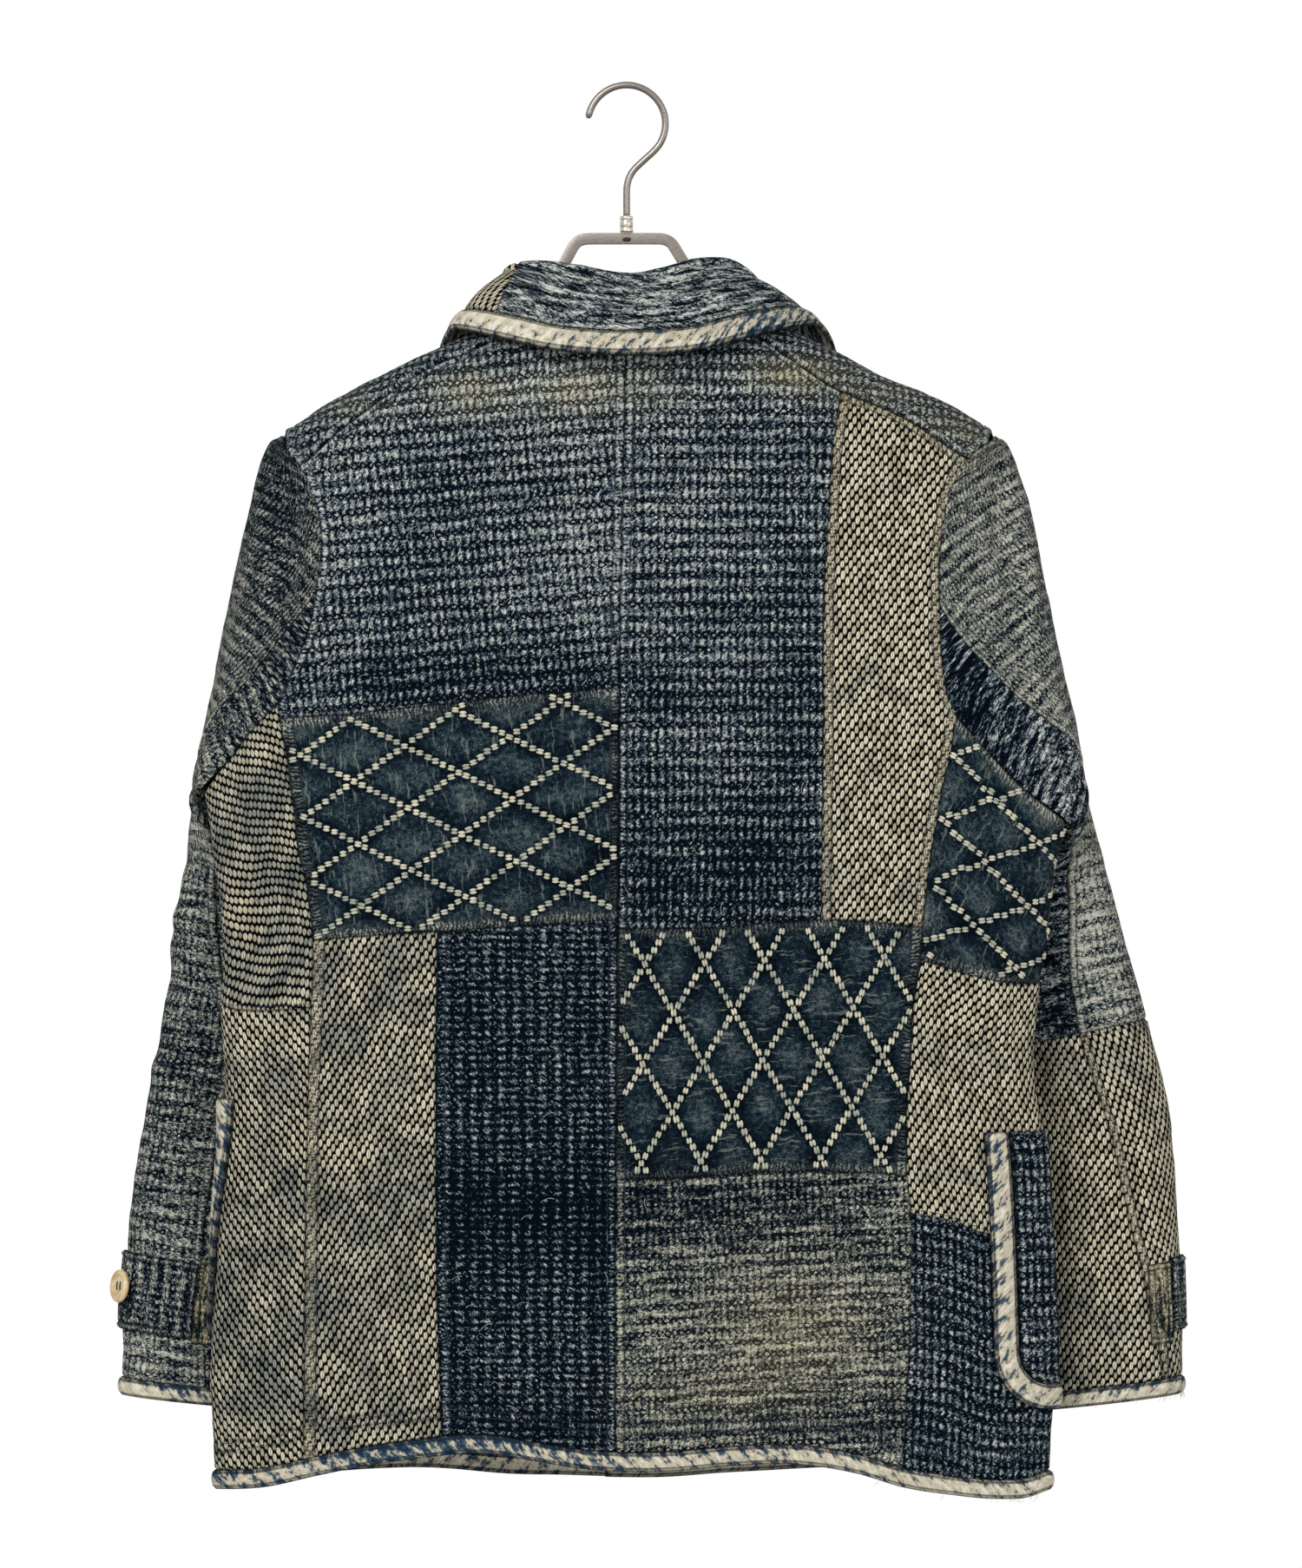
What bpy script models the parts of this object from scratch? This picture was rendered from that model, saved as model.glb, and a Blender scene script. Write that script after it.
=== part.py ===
"""Patched boro jacket hanging on a flat steel hanger.

Metres, +Z up.  The origin is the top of the hook's inside, where a rail holds it.
-X is the wearer's left, -Y is the jacket's back and +Y its front.
Tables and lengths are written in millimetres and scaled once, when a mesh is made.
"""

import math

import bmesh
import bpy
import numpy as np
from mathutils import Matrix, Vector

mm = 0.001

# Driving sizes of the cloth.
clothWall = 2.2
tapeWall = 4.0
tapeLift = 0.9
seamGap = 0.6
armholeGap = 2.2
sleeveGap = 2.8
sleeveWall = 1.6
shoulderGap = 0.9
layerGap = 0.7
quarterTurn = math.pi / 2

# The body as rings: half widths to each side, depth at the centre back and front, and the side edge's depth.
bodyColumns = ("z", "left", "right", "back", "front", "tip")
bodyRows = [
    (-930, -271, 280, -49, 40, -22),
    (-895, -273, 280, -50, 41, -23),
    (-850, -275, 282, -52, 43, -24),
    (-800, -272, 281, -54, 45, -24),
    (-740, -268, 278, -56, 47, -25),
    (-690, -265, 274, -57, 48, -25),
    (-645, -266, 268, -58, 49, -25),
    (-605, -266, 271, -59, 50, -25),
    (-565, -263, 277, -60, 50, -25),
    (-520, -271, 282, -61, 50, -24),
    (-480, -277.5, 290, -62, 49, -23),
    (-440, -283, 293, -62, 47, -22),
    (-380, -286, 294, -60, 44, -20),
    (-300, -286, 294, -56, 38, -18),
    (-230, -286, 294, -50, 32, -16),
    (-130, -286, 294, -40, 24, -14),
]
backRoundness = 3.0
frontRoundness = 1.35

# The shoulder line over the hanger, z for each x, and how far down the cloth rounds off from it.
ridgeRows = [
    (-300, -285), (-262, -256), (-240, -239), (-220, -224), (-202, -212), (-181, -200.5), (-158, -189),
    (-137, -177.5), (-112, -165.5), (-92, -157), (-50, -146), (0, -141), (52, -146), (98, -157),
    (120, -165.5), (145, -177.5), (167, -189), (192, -200.5), (216, -212), (236, -224), (256, -239),
    (276, -254), (310, -280),
]
ridgeDepth = -3
shoulderRound = 42

# Seams that run down the body, as x for each z.
downSeams = {
    "centreBack": [(-930, -7), (-730, -7), (-630, -6.3), (-550, -5.5), (-425, -4.7), (-348, -4.2),
                   (-277, -2.2), (-190, -0.8), (-130, 0)],
    "leftBackSide": [(-930, -213), (-836, -212), (-729, -211), (-674, -210), (-608, -207.5), (-564, -206.5),
                     (-535, -209.5), (-503, -216), (-455, -222), (-417, -228.5), (-400, -231)],
    "rightBackSide": [(-930, 181), (-856, 184.5), (-794, 187), (-743, 187), (-717, 184.5), (-660, 185.5),
                      (-614, 188.5), (-574, 193), (-548, 195.5), (-519, 198.5), (-490, 203), (-468, 207),
                      (-440, 213), (-416, 217), (-380, 222)],
    "creamIndigo": [(-930, -121), (-872, -121.5), (-817, -124), (-745, -125), (-619, -125), (-540, -124)],
    "blueCream": [(-580, 128), (-535, 128), (-425, 129.5), (-365, 129.5), (-313, 131), (-277, 133.5),
                  (-230, 137), (-203, 142), (-170, 147)],
    "leftArmhole": [(-470, -300), (-441, -260), (-410, -230.5), (-384, -218.5), (-361, -210), (-329, -203),
                    (-305, -200.5), (-280, -204), (-258, -212), (-247, -220), (-239, -229)],
    "rightArmhole": [(-470, 275), (-436, 231), (-410, 214), (-377, 207), (-341, 205.5), (-321, 205.5),
                     (-292, 208.5), (-268, 214), (-250, 223), (-240, 233), (-232, 245.5)],
    "leftFrontSide": [(-930, -226), (-670, -227.5), (-410, -230.5), (-380, -231)],
    "rightFrontSide": [(-930, 230), (-670, 223), (-412, 214.5), (-380, 213)],
}

# Seams that run across it, as z for each x.
acrossSeams = {
    "leftShoulder": [(-240, -264), (-212, -249), (-192, -231), (-158, -205.5), (-124, -184), (-98, -173),
                     (-86, -167), (-60, -167), (-30, -166), (10, -165)],
    "rightShoulder": [(-10, -165), (30, -166), (60, -167), (86, -167), (108, -181.5), (136, -200),
                      (181, -219.5), (222, -246), (250, -262)],
    "diamondTop": [(-240, -418), (-229, -417.5), (-178, -414), (-113, -407), (-65, -402), (-5, -397.5),
                   (20, -396)],
    "diamondBottom": [(-215, -565), (-206, -564), (-162, -560.5), (-123, -558), (-81, -555), (-5, -550),
                      (20, -549)],
    "uprightTop": [(-20, -555), (29, -555.5), (71, -554), (106, -551), (128, -550), (155, -550.5),
                   (175, -552.5), (195, -555), (220, -557)],
    "uprightBottom": [(-20, -721), (29, -720), (71, -717), (99, -715.5), (127, -715.5), (162, -716.5),
                      (187, -718.5), (220, -720)],
    "backHem": [(-290, -914), (-271, -913.5), (-240, -911.5), (-204, -903.5), (-167, -896),
                (-130, -891), (-107, -889), (-85, -889.5), (-57, -894), (-21, -899), (9, -900.5),
                (28, -900), (70, -896.5), (102, -895.5), (131, -898), (152, -902), (182, -911),
                (213, -916), (244, -919), (264, -918.5), (279, -914), (300, -912)],
    "frontHem": [(-300, -914), (-271, -913.5), (-230, -908), (-150, -903), (-60, -908), (20, -910),
                 (90, -905), (180, -903), (240, -908), (279, -914), (300, -914)],
    "frontNeck": [(-92, -157), (-88, -185), (-74, -216), (-50, -241), (-22, -254), (0, -258), (22, -254),
                  (52, -241), (78, -216), (93, -185), (98, -157)],
}

# Seams that cross a side, as z for each turn w round the body: 0 centre back, 1 side edge, 2 centre front.
sideSeams = {
    "leftUnderarm": [(0.50, -394), (0.595, -410), (0.66, -424), (0.73, -441), (0.80, -452),
                     (0.87, -460), (1.0, -466), (1.10, -463), (1.20, -453), (1.30, -437), (1.405, -410),
                     (1.50, -392)],
    "rightUnderarm": [(0.42, -392), (0.515, -412), (0.577, -431), (0.63, -446), (0.70, -462),
                      (0.78, -473), (0.86, -480), (1.0, -484), (1.14, -476), (1.28, -456), (1.40, -434),
                      (1.485, -412), (1.60, -392)],
    "leftSideSeam": [(0.4, -607), (0.57, -608), (0.70, -610), (0.90, -608), (1.0, -605), (1.2, -604),
                     (1.6, -606)],
    "rightDiamondFoot": [(0.40, -573), (0.50, -577), (0.60, -585), (0.72, -591), (0.85, -593), (1.0, -592),
                         (1.3, -590), (1.6, -590)],
    "rightCreamFoot": [(0.30, -741), (0.46, -742.5), (0.55, -747), (0.64, -756), (0.80, -760),
                       (1.0, -760), (1.6, -760)],
}

# Soft folds pressed into the body: x and z of both ends, half width, and height (below zero is a trough).
backFolds = [
    (-112, -760, -98, -905, 26, -6.0),
    (-45, -800, -30, -915, 30, 4.0),
    (118, -800, 112, -910, 30, -5.0),
    (210, -850, 240, -925, 26, 4.5),
    (-236, -540, -262, -590, 15, -5.5),
    (-190, -690, -250, -600, 22, 3.5),
    (-228, -620, -215, -720, 16, -3.5),
    (236, -600, 262, -660, 15, 5.0),
    (205, -610, 250, -690, 13, -3.5),
    (-150, -430, -90, -470, 36, 2.5),
    (60, -300, 20, -420, 46, 2.5),
]
frontFolds = [
    (-150, -300, -120, -520, 40, 5.0),
    (150, -300, 125, -520, 40, 5.0),
    (-95, -620, -80, -910, 26, -6.0),
    (105, -600, 85, -910, 28, -5.0),
    (-140, -800, -135, -915, 24, 3.0),
    (150, -800, 145, -915, 24, 3.0),
]

# Sleeves below the underarm: outer edge from the centre, depth of the centre, half sizes of the oval, how far
# it turns forward at its inner edge, and how much higher its outer edge lies than its middle.
sleeveColumns = ("z", "outer", "depth", "wide", "deep", "turn", "rise")
sleeveRows = {
    "left": [
        (-905, 336, 33, 56, 31, 12, 5), (-862, 336.5, 35, 56, 32, 13, 6), (-821, 336, 38, 55, 33, 15, 7),
        (-764, 331, 43, 55, 34, 18, 9), (-695, 322, 49, 57, 35, 22, 10), (-626, 309, 53, 59, 36, 26, 10),
        (-560, 300.5, 54, 61, 37, 29, 10), (-500, 293, 53, 63, 38, 30, 10), (-440, 284, 46, 64, 40, 30, 10),
    ],
    "right": [
        (-905, 368, 33, 57, 32, 14, 6), (-862, 369.5, 35, 57, 33, 15, 7),
        (-821, 370, 38, 57, 34, 17, 8), (-764, 368, 43, 58, 35, 20, 9),
        (-695, 361.5, 48, 60, 37, 24, 11), (-660, 354.5, 50, 61, 38, 26, 12),
        (-626, 345.5, 52, 62, 38, 28, 12), (-591, 336, 53, 63, 38, 29, 12),
        (-545, 323.5, 54, 64, 38, 30, 12), (-500, 311, 53, 65, 39, 31, 12),
        (-440, 299, 46, 66, 40, 31, 12),
    ],
}
capFoot = -530
underarmSplit = {"left": -410, "right": -412}
shoulderTip = {"left": -240, "right": -233}
headLift = 0.3
capShare = 0.40
cuffEdge = -861
cuffTape = 11
# The sleeve's cap, by turn round it: where each line leaves the armhole ring (0 shoulder, 180 underarm, by
# the back), the point it passes half way down, the turn of the oval it runs into, and how much it flares.
capColumns = ("turn", "ring", "out", "depth", "z", "oval", "flare")
capRows = {
    "left": [
        (-12.5, 0, 250.5, 12, -282, -25, 0), (16.5, 45, 257, -8, -318, -12, 0),
        (46, 90, 264, -19, -362, 2, 6), (67, 120, 272, -28, -398, 14, 18),
        (89, 150, 280.5, -32, -436, 28, 26), (101.5, 165, 286.5, -31, -457, 38, 24),
        (116, 180, 285, -20, -480, 54, 10), (137.5, 195, 266, 2, -485, 82, 0),
        (165, 215, 248, 24, -478, 115, 0), (207.5, 240, 232, 55, -450, 175, 0),
        (247.5, 270, 224, 72, -395, 225, 0), (300, 315, 236, 52, -318, 285, 0),
        (347.5, 360, 250.5, 12, -282, 335, 0),
    ],
    "right": [
        (-12.5, 0, 266, 12, -282, -25, 0), (16.5, 45, 273, -8, -318, -12, 0),
        (46, 90, 282, -19, -362, 2, 8), (67, 120, 291, -26, -402, 14, 16),
        (89, 150, 299.5, -30, -444, 28, 22), (101.5, 165, 304, -29, -468, 38, 20),
        (116, 180, 299, -18, -496, 54, 10), (137.5, 195, 280, 4, -500, 82, 0),
        (165, 215, 260, 25, -491, 115, 0), (207.5, 240, 242, 56, -460, 175, 0),
        (247.5, 270, 232, 72, -395, 225, 0), (300, 315, 250, 52, -318, 285, 0),
        (347.5, 360, 266, 12, -282, 335, 0),
    ],
}
# The back seam of each sleeve, as the turn it lies at for each share of the sleeve's length.
sleeveSeams = {
    "left": [(0, 40), (0.05, 58), (0.1, 75), (0.2, 86), (0.3, 91), (0.4, 98), (0.5, 112), (0.6, 126),
             (0.75, 131), (0.82, 132), (0.9, 137), (1, 140), (1.1, 141)],
    "right": [(0, 40), (0.05, 58), (0.1, 77), (0.2, 87), (0.3, 93), (0.4, 102), (0.5, 116), (0.58, 121),
              (0.71, 119), (0.8, 116), (0.845, 113), (0.92, 105), (1, 95), (1.1, 88)],
}
frontSleeveSeam = 262
forearmSeam = -629
# Where the under piece's columns leave the armhole: closer together round the body's side edge.
underTurns = (40, 62, 84, 98, 108, 116, 124, 134, 150, 180, 220, 262)
# The hem's tape, and how the fronts lap at the centre.
hemTapeHeight = 12
frontOverlap = 8
frontUnderlap = 14
frontPush = 6.0

# Patch pockets: lengths from the side edge to the back and front of the tape; heights of mouth and bottom.
pockets = {
    "left": {"back": -12, "front": 150, "top": -668, "bottom": -850, "slant": -0.10},
    "right": {"back": -46, "front": 125, "top": -690, "bottom": -872, "slant": 0.0},
}
pocketTape = 15.5
pocketCorner = 38
pocketGap = 1.8
pocketTapeWall = 2.8
bagGap = 2.6

# Cuff tabs and the strips that hold them, by turns round the sleeve and heights; and where a button sits.
cuffTabs = {
    "left": {"turns": (5, 131), "levels": (-829, -780), "button": 0.42},
    "right": {"turns": (-62, 80), "levels": (-830, -783), "button": 0.10},
}
cuffStrips = {
    "left": {"turns": (132, 143), "levels": (-832, -776)},
    "right": {"turns": (81, 107), "levels": (-837, -785)},
}
buttonRadius = 11
buttonThick = 4.4
buttonInward = 0.85
frontButtons = (-310, -420, -530, -640, -750)

# The hanger: a wire hook in a ferrule on a bent flat bar.
wireRadius = 2.4
hookRadius = 26
ferruleTop = -84.5
barTop = -96
barWidth = 7.6
barThick = 3
barEdge = 0.6
barRun = [
    (-205, -226.5), (-181, -214), (-158, -202.5), (-137, -191), (-112, -179.5), (-96, -172),
    (-84, -164), (-68, -149), (-54, -134), (-44, -120.5), (-39, -112), (-36, -106), (-33.5, -102.3),
    (-29, -99.9), (-20, -99.8), (0, -99.8), (18, -99.8), (25, -99.9), (29.5, -102.3), (32, -106),
    (35.5, -112), (41, -120.5), (52, -134), (66, -149), (82, -164), (96, -172), (112, -179.5),
    (137, -191), (158, -202.5), (181, -214), (205, -226.5),
]


def reader(rows, key=0, value=1):
    """A smooth curve through one column of a table, read at any key."""
    keys = np.array([row[key] for row in rows], float)
    values = np.array([row[value] for row in rows], float)
    order = np.argsort(keys)
    keys, values = keys[order], values[order]
    slopes = np.gradient(values, keys)

    def read(at):
        at = np.clip(np.asarray(at, float), keys[0], keys[-1])
        i = np.clip(np.searchsorted(keys, at) - 1, 0, len(keys) - 2)
        span = keys[i + 1] - keys[i]
        t = (at - keys[i]) / span
        rise = values[i + 1] - values[i]
        bend = t * (1 - t) * ((1 - t) * (slopes[i] * span - rise) - t * (slopes[i + 1] * span - rise))
        return values[i] + t * rise + bend

    return read


def wrapped(rows):
    """Rows round a full turn, with a few more at each end so that a curve through them closes smoothly."""
    def turned(row, by):
        return (row[0] + by, row[1] + by, *row[2:5], row[5] + by, row[6])
    return [turned(row, -360) for row in rows[-4:-1]] + list(rows) + [turned(row, 360) for row in rows[1:4]]


def tableReader(columns, rows):
    return {name: reader(rows, 0, i) for i, name in enumerate(columns) if i}


body = tableReader(bodyColumns, bodyRows)
ridge = reader(ridgeRows)
down = {name: reader(rows) for name, rows in downSeams.items()}
across = {name: reader(rows) for name, rows in acrossSeams.items()}
sides = {name: reader(rows) for name, rows in sideSeams.items()}
sleeveTables = {name: tableReader(sleeveColumns, rows) for name, rows in sleeveRows.items()}
caps = {name: tableReader(capColumns, wrapped(rows)) for name, rows in capRows.items()}
backSeams = {name: reader(rows) for name, rows in sleeveSeams.items()}


def stack(x, y, z):
    return np.stack(np.broadcast_arrays(x, y, z), axis=-1)


def smoothStep(t):
    t = np.clip(t, 0, 1)
    return t * t * (3 - 2 * t)


def foldHeight(x, z, folds):
    """How far the folds lift the cloth at each point."""
    height = np.zeros(np.broadcast(x, z).shape)
    for x1, z1, x2, z2, width, tall in folds:
        along = np.array([x2 - x1, z2 - z1], float)
        t = np.clip(((x - x1) * along[0] + (z - z1) * along[1]) / (along @ along), 0, 1)
        away = np.hypot(x - x1 - t * along[0], z - z1 - t * along[1])
        height = height + tall * np.exp(-((away / width) ** 2))
    return height


def halfWidth(x, z):
    """The distance from the body's middle to its side edge, on the side that x lies on."""
    middle = down["centreBack"](z)
    return middle, np.where(x < middle, middle - body["left"](z), body["right"](z) - middle)


def torsoDepth(x, z, front, push=0.0):
    """y of the cloth at x and z, on the front or the back."""
    middle, half = halfWidth(x, z)
    share = np.clip(np.abs(x - middle) / half, 0, 1)
    backBow = np.sqrt(np.clip(1 - share**backRoundness, 0, 1))
    frontBow = np.sqrt(np.clip(1 - share**frontRoundness, 0, 1))
    tip = body["tip"](z)
    back = tip + (body["back"](z) - tip) * backBow - foldHeight(x, z, backFolds) * backBow
    fore = tip + (body["front"](z) - tip) * frontBow + foldHeight(x, z, frontFolds) * frontBow - push
    drop = np.clip((ridge(x) - z) / shoulderRound, 0, 1)
    round_ = np.sqrt(1 - (1 - drop) ** 2)
    return ridgeDepth + (np.where(front, fore, back) - ridgeDepth) * round_


def pathFromDrop(x, z):
    """Length along the cloth from the shoulder line down to z."""
    drop = ridge(x) - z
    turned = np.arccos(np.clip(1 - drop / shoulderRound, -1, 1)) * shoulderRound
    return np.where(drop < shoulderRound, turned, shoulderRound * quarterTurn + drop - shoulderRound)


def dropFromPath(x, path):
    full = shoulderRound * quarterTurn
    turned = shoulderRound * (1 - np.cos(np.clip(path, 0, full) / shoulderRound))
    return ridge(x) - np.where(path < full, turned, shoulderRound + path - full)


def sheetPoint(x, path, push=0.0):
    """The body at x, a signed length from the shoulder line: above zero is the front, below it the back."""
    z = dropFromPath(x, np.abs(path))
    return stack(x, torsoDepth(x, z, path > 0, push), z)


def wrapPoint(w, z, push=0.0):
    """The body at turn w from the centre back (below zero to the left), at height z."""
    middle = down["centreBack"](z)
    half = np.where(w < 0, middle - body["left"](z), body["right"](z) - middle)
    x = middle + half * np.sin(w * quarterTurn)
    return stack(x, torsoDepth(x, z, np.abs(w) > 1, push), z)


def turnOf(x, z, front=False):
    """The turn w at which the body's back or front is at x."""
    middle, half = halfWidth(x, z)
    w = np.arcsin(np.clip((x - middle) / half, -1, 1)) / quarterTurn
    return np.where(front, np.where(w < 0, -2 - w, 2 - w), w)


def coons(left, right, bottom, top):
    """A patch between four edges, each a function of 0..1 that gives flat coordinates."""

    def patch(u, v):
        u1, v1 = u[..., None], v[..., None]
        zero, one = np.zeros_like(u), np.ones_like(u)
        corners = (
            (1 - u1) * (1 - v1) * bottom(zero) + u1 * (1 - v1) * bottom(one)
            + (1 - u1) * v1 * top(zero) + u1 * v1 * top(one)
        )
        return (1 - v1) * bottom(u) + v1 * top(u) + (1 - u1) * left(v) + u1 * right(v) - corners

    return patch


def meeting(downSeam, acrossSeam):
    """The point where a seam that runs down meets one that runs across."""
    z = -500.0
    for _ in range(60):
        z = 0.5 * z + 0.5 * float(acrossSeam(downSeam(z)))
    return float(downSeam(z)), z


def backPanel(left, right, bottom, top):
    """A surface on the back between two down seams and two across seams."""
    corners = {(s, a): meeting(side, level) for s, side in (("l", left), ("r", right))
               for a, level in (("b", bottom), ("t", top))}

    def edgeDown(seam, lowZ, highZ):
        def edge(v):
            z = lowZ + (highZ - lowZ) * v
            x = seam(z)
            return np.stack([x, -pathFromDrop(x, z)], axis=-1)
        return edge

    def edgeAcross(seam, lowX, highX):
        def edge(u):
            x = lowX + (highX - lowX) * u
            return np.stack([x, -pathFromDrop(x, seam(x))], axis=-1)
        return edge

    patch = coons(
        edgeDown(left, corners["l", "b"][1], corners["l", "t"][1]),
        edgeDown(right, corners["r", "b"][1], corners["r", "t"][1]),
        edgeAcross(bottom, corners["l", "b"][0], corners["r", "b"][0]),
        edgeAcross(top, corners["l", "t"][0], corners["r", "t"][0]),
    )

    def surface(u, v):
        flat = patch(u, v)
        return sheetPoint(flat[..., 0], flat[..., 1])

    return surface


def sidePanel(side, bottom, top):
    """A surface round a side, from its back seam to its front one. Bottom and top give z for each turn."""
    sign = -1 if side == "left" else 1
    backSeam, frontSeam = down[side + "BackSide"], down[side + "FrontSide"]

    def turnAt(seam, z, front):
        return sign * turnOf(seam(z), z, front)

    def meet(seam, level, front):
        z = -500.0
        for _ in range(60):
            z = 0.5 * z + 0.5 * float(level(turnAt(seam, z, front)))
        return z

    def edgeDown(seam, front):
        low, high = meet(seam, bottom, front), meet(seam, top, front)

        def edge(v):
            z = low + (high - low) * v
            return np.stack([turnAt(seam, z, front), z], axis=-1)
        return edge, low, high

    backEdge, backLow, backHigh = edgeDown(backSeam, False)
    frontEdge, frontLow, frontHigh = edgeDown(frontSeam, True)

    def edgeAcross(level, backZ, frontZ):
        first, last = turnAt(backSeam, backZ, False), turnAt(frontSeam, frontZ, True)

        def edge(u):
            w = first + (last - first) * u
            return np.stack([w, level(w)], axis=-1)
        return edge

    lower, upper = edgeAcross(bottom, backLow, frontLow), edgeAcross(top, backHigh, frontHigh)
    patch = coons(backEdge, frontEdge, lower, upper)

    def surface(u, v):
        flat = patch(u, v)
        return wrapPoint(sign * flat[..., 0], flat[..., 1])

    return surface


def hemLevel(side):
    """z of the hem for each turn round one side of the body."""
    sign = -1 if side == "left" else 1

    def level(w):
        w = np.asarray(w, float)
        middle = down["centreBack"](-910)
        half = middle - body["left"](-910) if side == "left" else body["right"](-910) - middle
        x = middle + sign * half * np.sin(w * quarterTurn)
        return np.where(w > 1, across["frontHem"](x), across["backHem"](x))

    return level


def pushUnder(x):
    """How far the right front is pressed in where the left one laps over it."""
    return frontPush * smoothStep((62 - x) / 38)


def alongPoints(points, v):
    """Flat coordinates at shares of the length of a run of points."""
    points = np.array(points, float)
    lengths = np.r_[0, np.cumsum(np.hypot(*np.diff(points, axis=0).T))]
    lengths /= lengths[-1]
    return np.stack([np.interp(v, lengths, points[:, i]) for i in (0, 1)], axis=-1)


def frontPanel(side):
    """A front, from the hem up over the shoulder to the seam on the back."""
    left = side == "left"
    edgeX = frontOverlap if left else -frontUnderlap
    armhole, frontSide = down[side + "Armhole"], down[side + "FrontSide"]
    shoulder = across[side + "Shoulder"]
    splitZ, tipZ = underarmSplit[side], shoulderTip[side]
    sideHem = meeting(frontSide, across["frontHem"])
    seamEnd = meeting(armhole, shoulder)
    neckX = -88 if left else 88

    def path(x, z, front=True):
        return float(pathFromDrop(x, z)) if front else shoulderGap - float(pathFromDrop(x, z))

    outer = [(frontSide(z), path(frontSide(z), z)) for z in np.linspace(sideHem[1], splitZ, 24)]
    outer += [(armhole(z), path(armhole(z), z)) for z in np.linspace(splitZ, tipZ, 18)[1:]]
    outer += [(armhole(z), path(armhole(z), z, False)) for z in np.linspace(tipZ, seamEnd[1], 6)[1:]]
    neckRows = acrossSeams["frontNeck"]
    neckRun = neckRows[:5][::-1] if left else neckRows[6:]
    neckStart = float(across["frontNeck"](edgeX))
    hemEnd = float(across["frontHem"](edgeX))
    inner = [(edgeX, path(edgeX, z)) for z in np.linspace(hemEnd, neckStart, 20)]
    inner += [(x, path(x, z)) for x, z in neckRun if (x < edgeX if left else x > edgeX)]
    inner += [(neckX, path(neckX, float(shoulder(neckX)), False))]

    def bottom(u):
        x = sideHem[0] + (edgeX - sideHem[0]) * u
        return np.stack([x, pathFromDrop(x, across["frontHem"](x))], axis=-1)

    def top(u):
        x = seamEnd[0] + (neckX - seamEnd[0]) * u
        return np.stack([x, shoulderGap - pathFromDrop(x, shoulder(x))], axis=-1)

    patch = coons(lambda v: alongPoints(outer, v), lambda v: alongPoints(inner, v), bottom, top)

    def surface(u, v):
        flat = patch(u, 1 - (1 - v) ** 1.6)
        x = flat[..., 0]
        return sheetPoint(x, flat[..., 1], 0.0 if left else pushUnder(x))

    return surface


def armholeRing(side):
    """The armhole as a closed run from the shoulder, down the back, under the arm and up the front."""
    sign = -1 if side == "left" else 1
    topZ, splitZ = shoulderTip[side], underarmSplit[side]
    armhole = down[side + "Armhole"]
    underarm = sides[side + "Underarm"]
    topX = armhole(topZ)
    overTop = sheetPoint(np.full(12, topX), np.linspace(0, -pathFromDrop(topX, topZ), 12))
    z = np.linspace(topZ, splitZ, 60)
    x = armhole(z)
    backRun = stack(x, torsoDepth(x, z, False), z)[1:]
    frontRun = stack(x, torsoDepth(x, z, True), z)[::-1][:-1]
    first = abs(float(turnOf(float(armhole(splitZ)), splitZ)))
    last = abs(float(turnOf(float(armhole(splitZ)), splitZ, True)))
    w = np.linspace(first, last, 60)
    under = wrapPoint(sign * w, underarm(w))
    start = int(np.argmax(under[:, 2] < splitZ)) if (under[:, 2] < splitZ).any() else 0
    upFront = sheetPoint(np.full(12, topX), np.linspace(pathFromDrop(topX, topZ), 0, 12))
    ring = np.concatenate([overTop, backRun, under[max(start, 1):-1], frontRun, upFront])
    lengths = np.r_[0, np.cumsum(np.linalg.norm(np.diff(ring, axis=0), axis=1))]
    lowest = int(np.argmin(ring[:, 2]))
    share = np.where(
        lengths <= lengths[lowest],
        0.5 * lengths / lengths[lowest],
        0.5 + 0.5 * (lengths - lengths[lowest]) / (lengths[-1] - lengths[lowest]),
    )

    def read(phi):
        at = np.mod(np.asarray(phi, float), 360) / 360
        return np.stack([np.interp(at, share, ring[:, i]) for i in range(3)], axis=-1)

    return read


rings = {side: armholeRing(side) for side in ("left", "right")}


def sleeveOval(side, phi, z):
    """The sleeve below the underarm at turn phi (0 outer, 90 back, 180 inner, 270 front) and height z."""
    sign = -1 if side == "left" else 1
    table = sleeveTables[side]
    wide, deep, turn = table["wide"](z), table["deep"](z), np.radians(table["turn"](z))
    reach = np.sqrt((wide * np.cos(turn)) ** 2 + (deep * np.sin(turn)) ** 2)
    middle = table["outer"](z) - reach
    a, b = wide * np.cos(np.radians(phi)), deep * np.sin(np.radians(phi))
    out = a * np.cos(turn) - b * np.sin(turn)
    y = table["depth"](z) - a * np.sin(turn) - b * np.cos(turn)
    return stack(sign * (middle + out), y, z + table["rise"](z) * out / reach)


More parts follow.
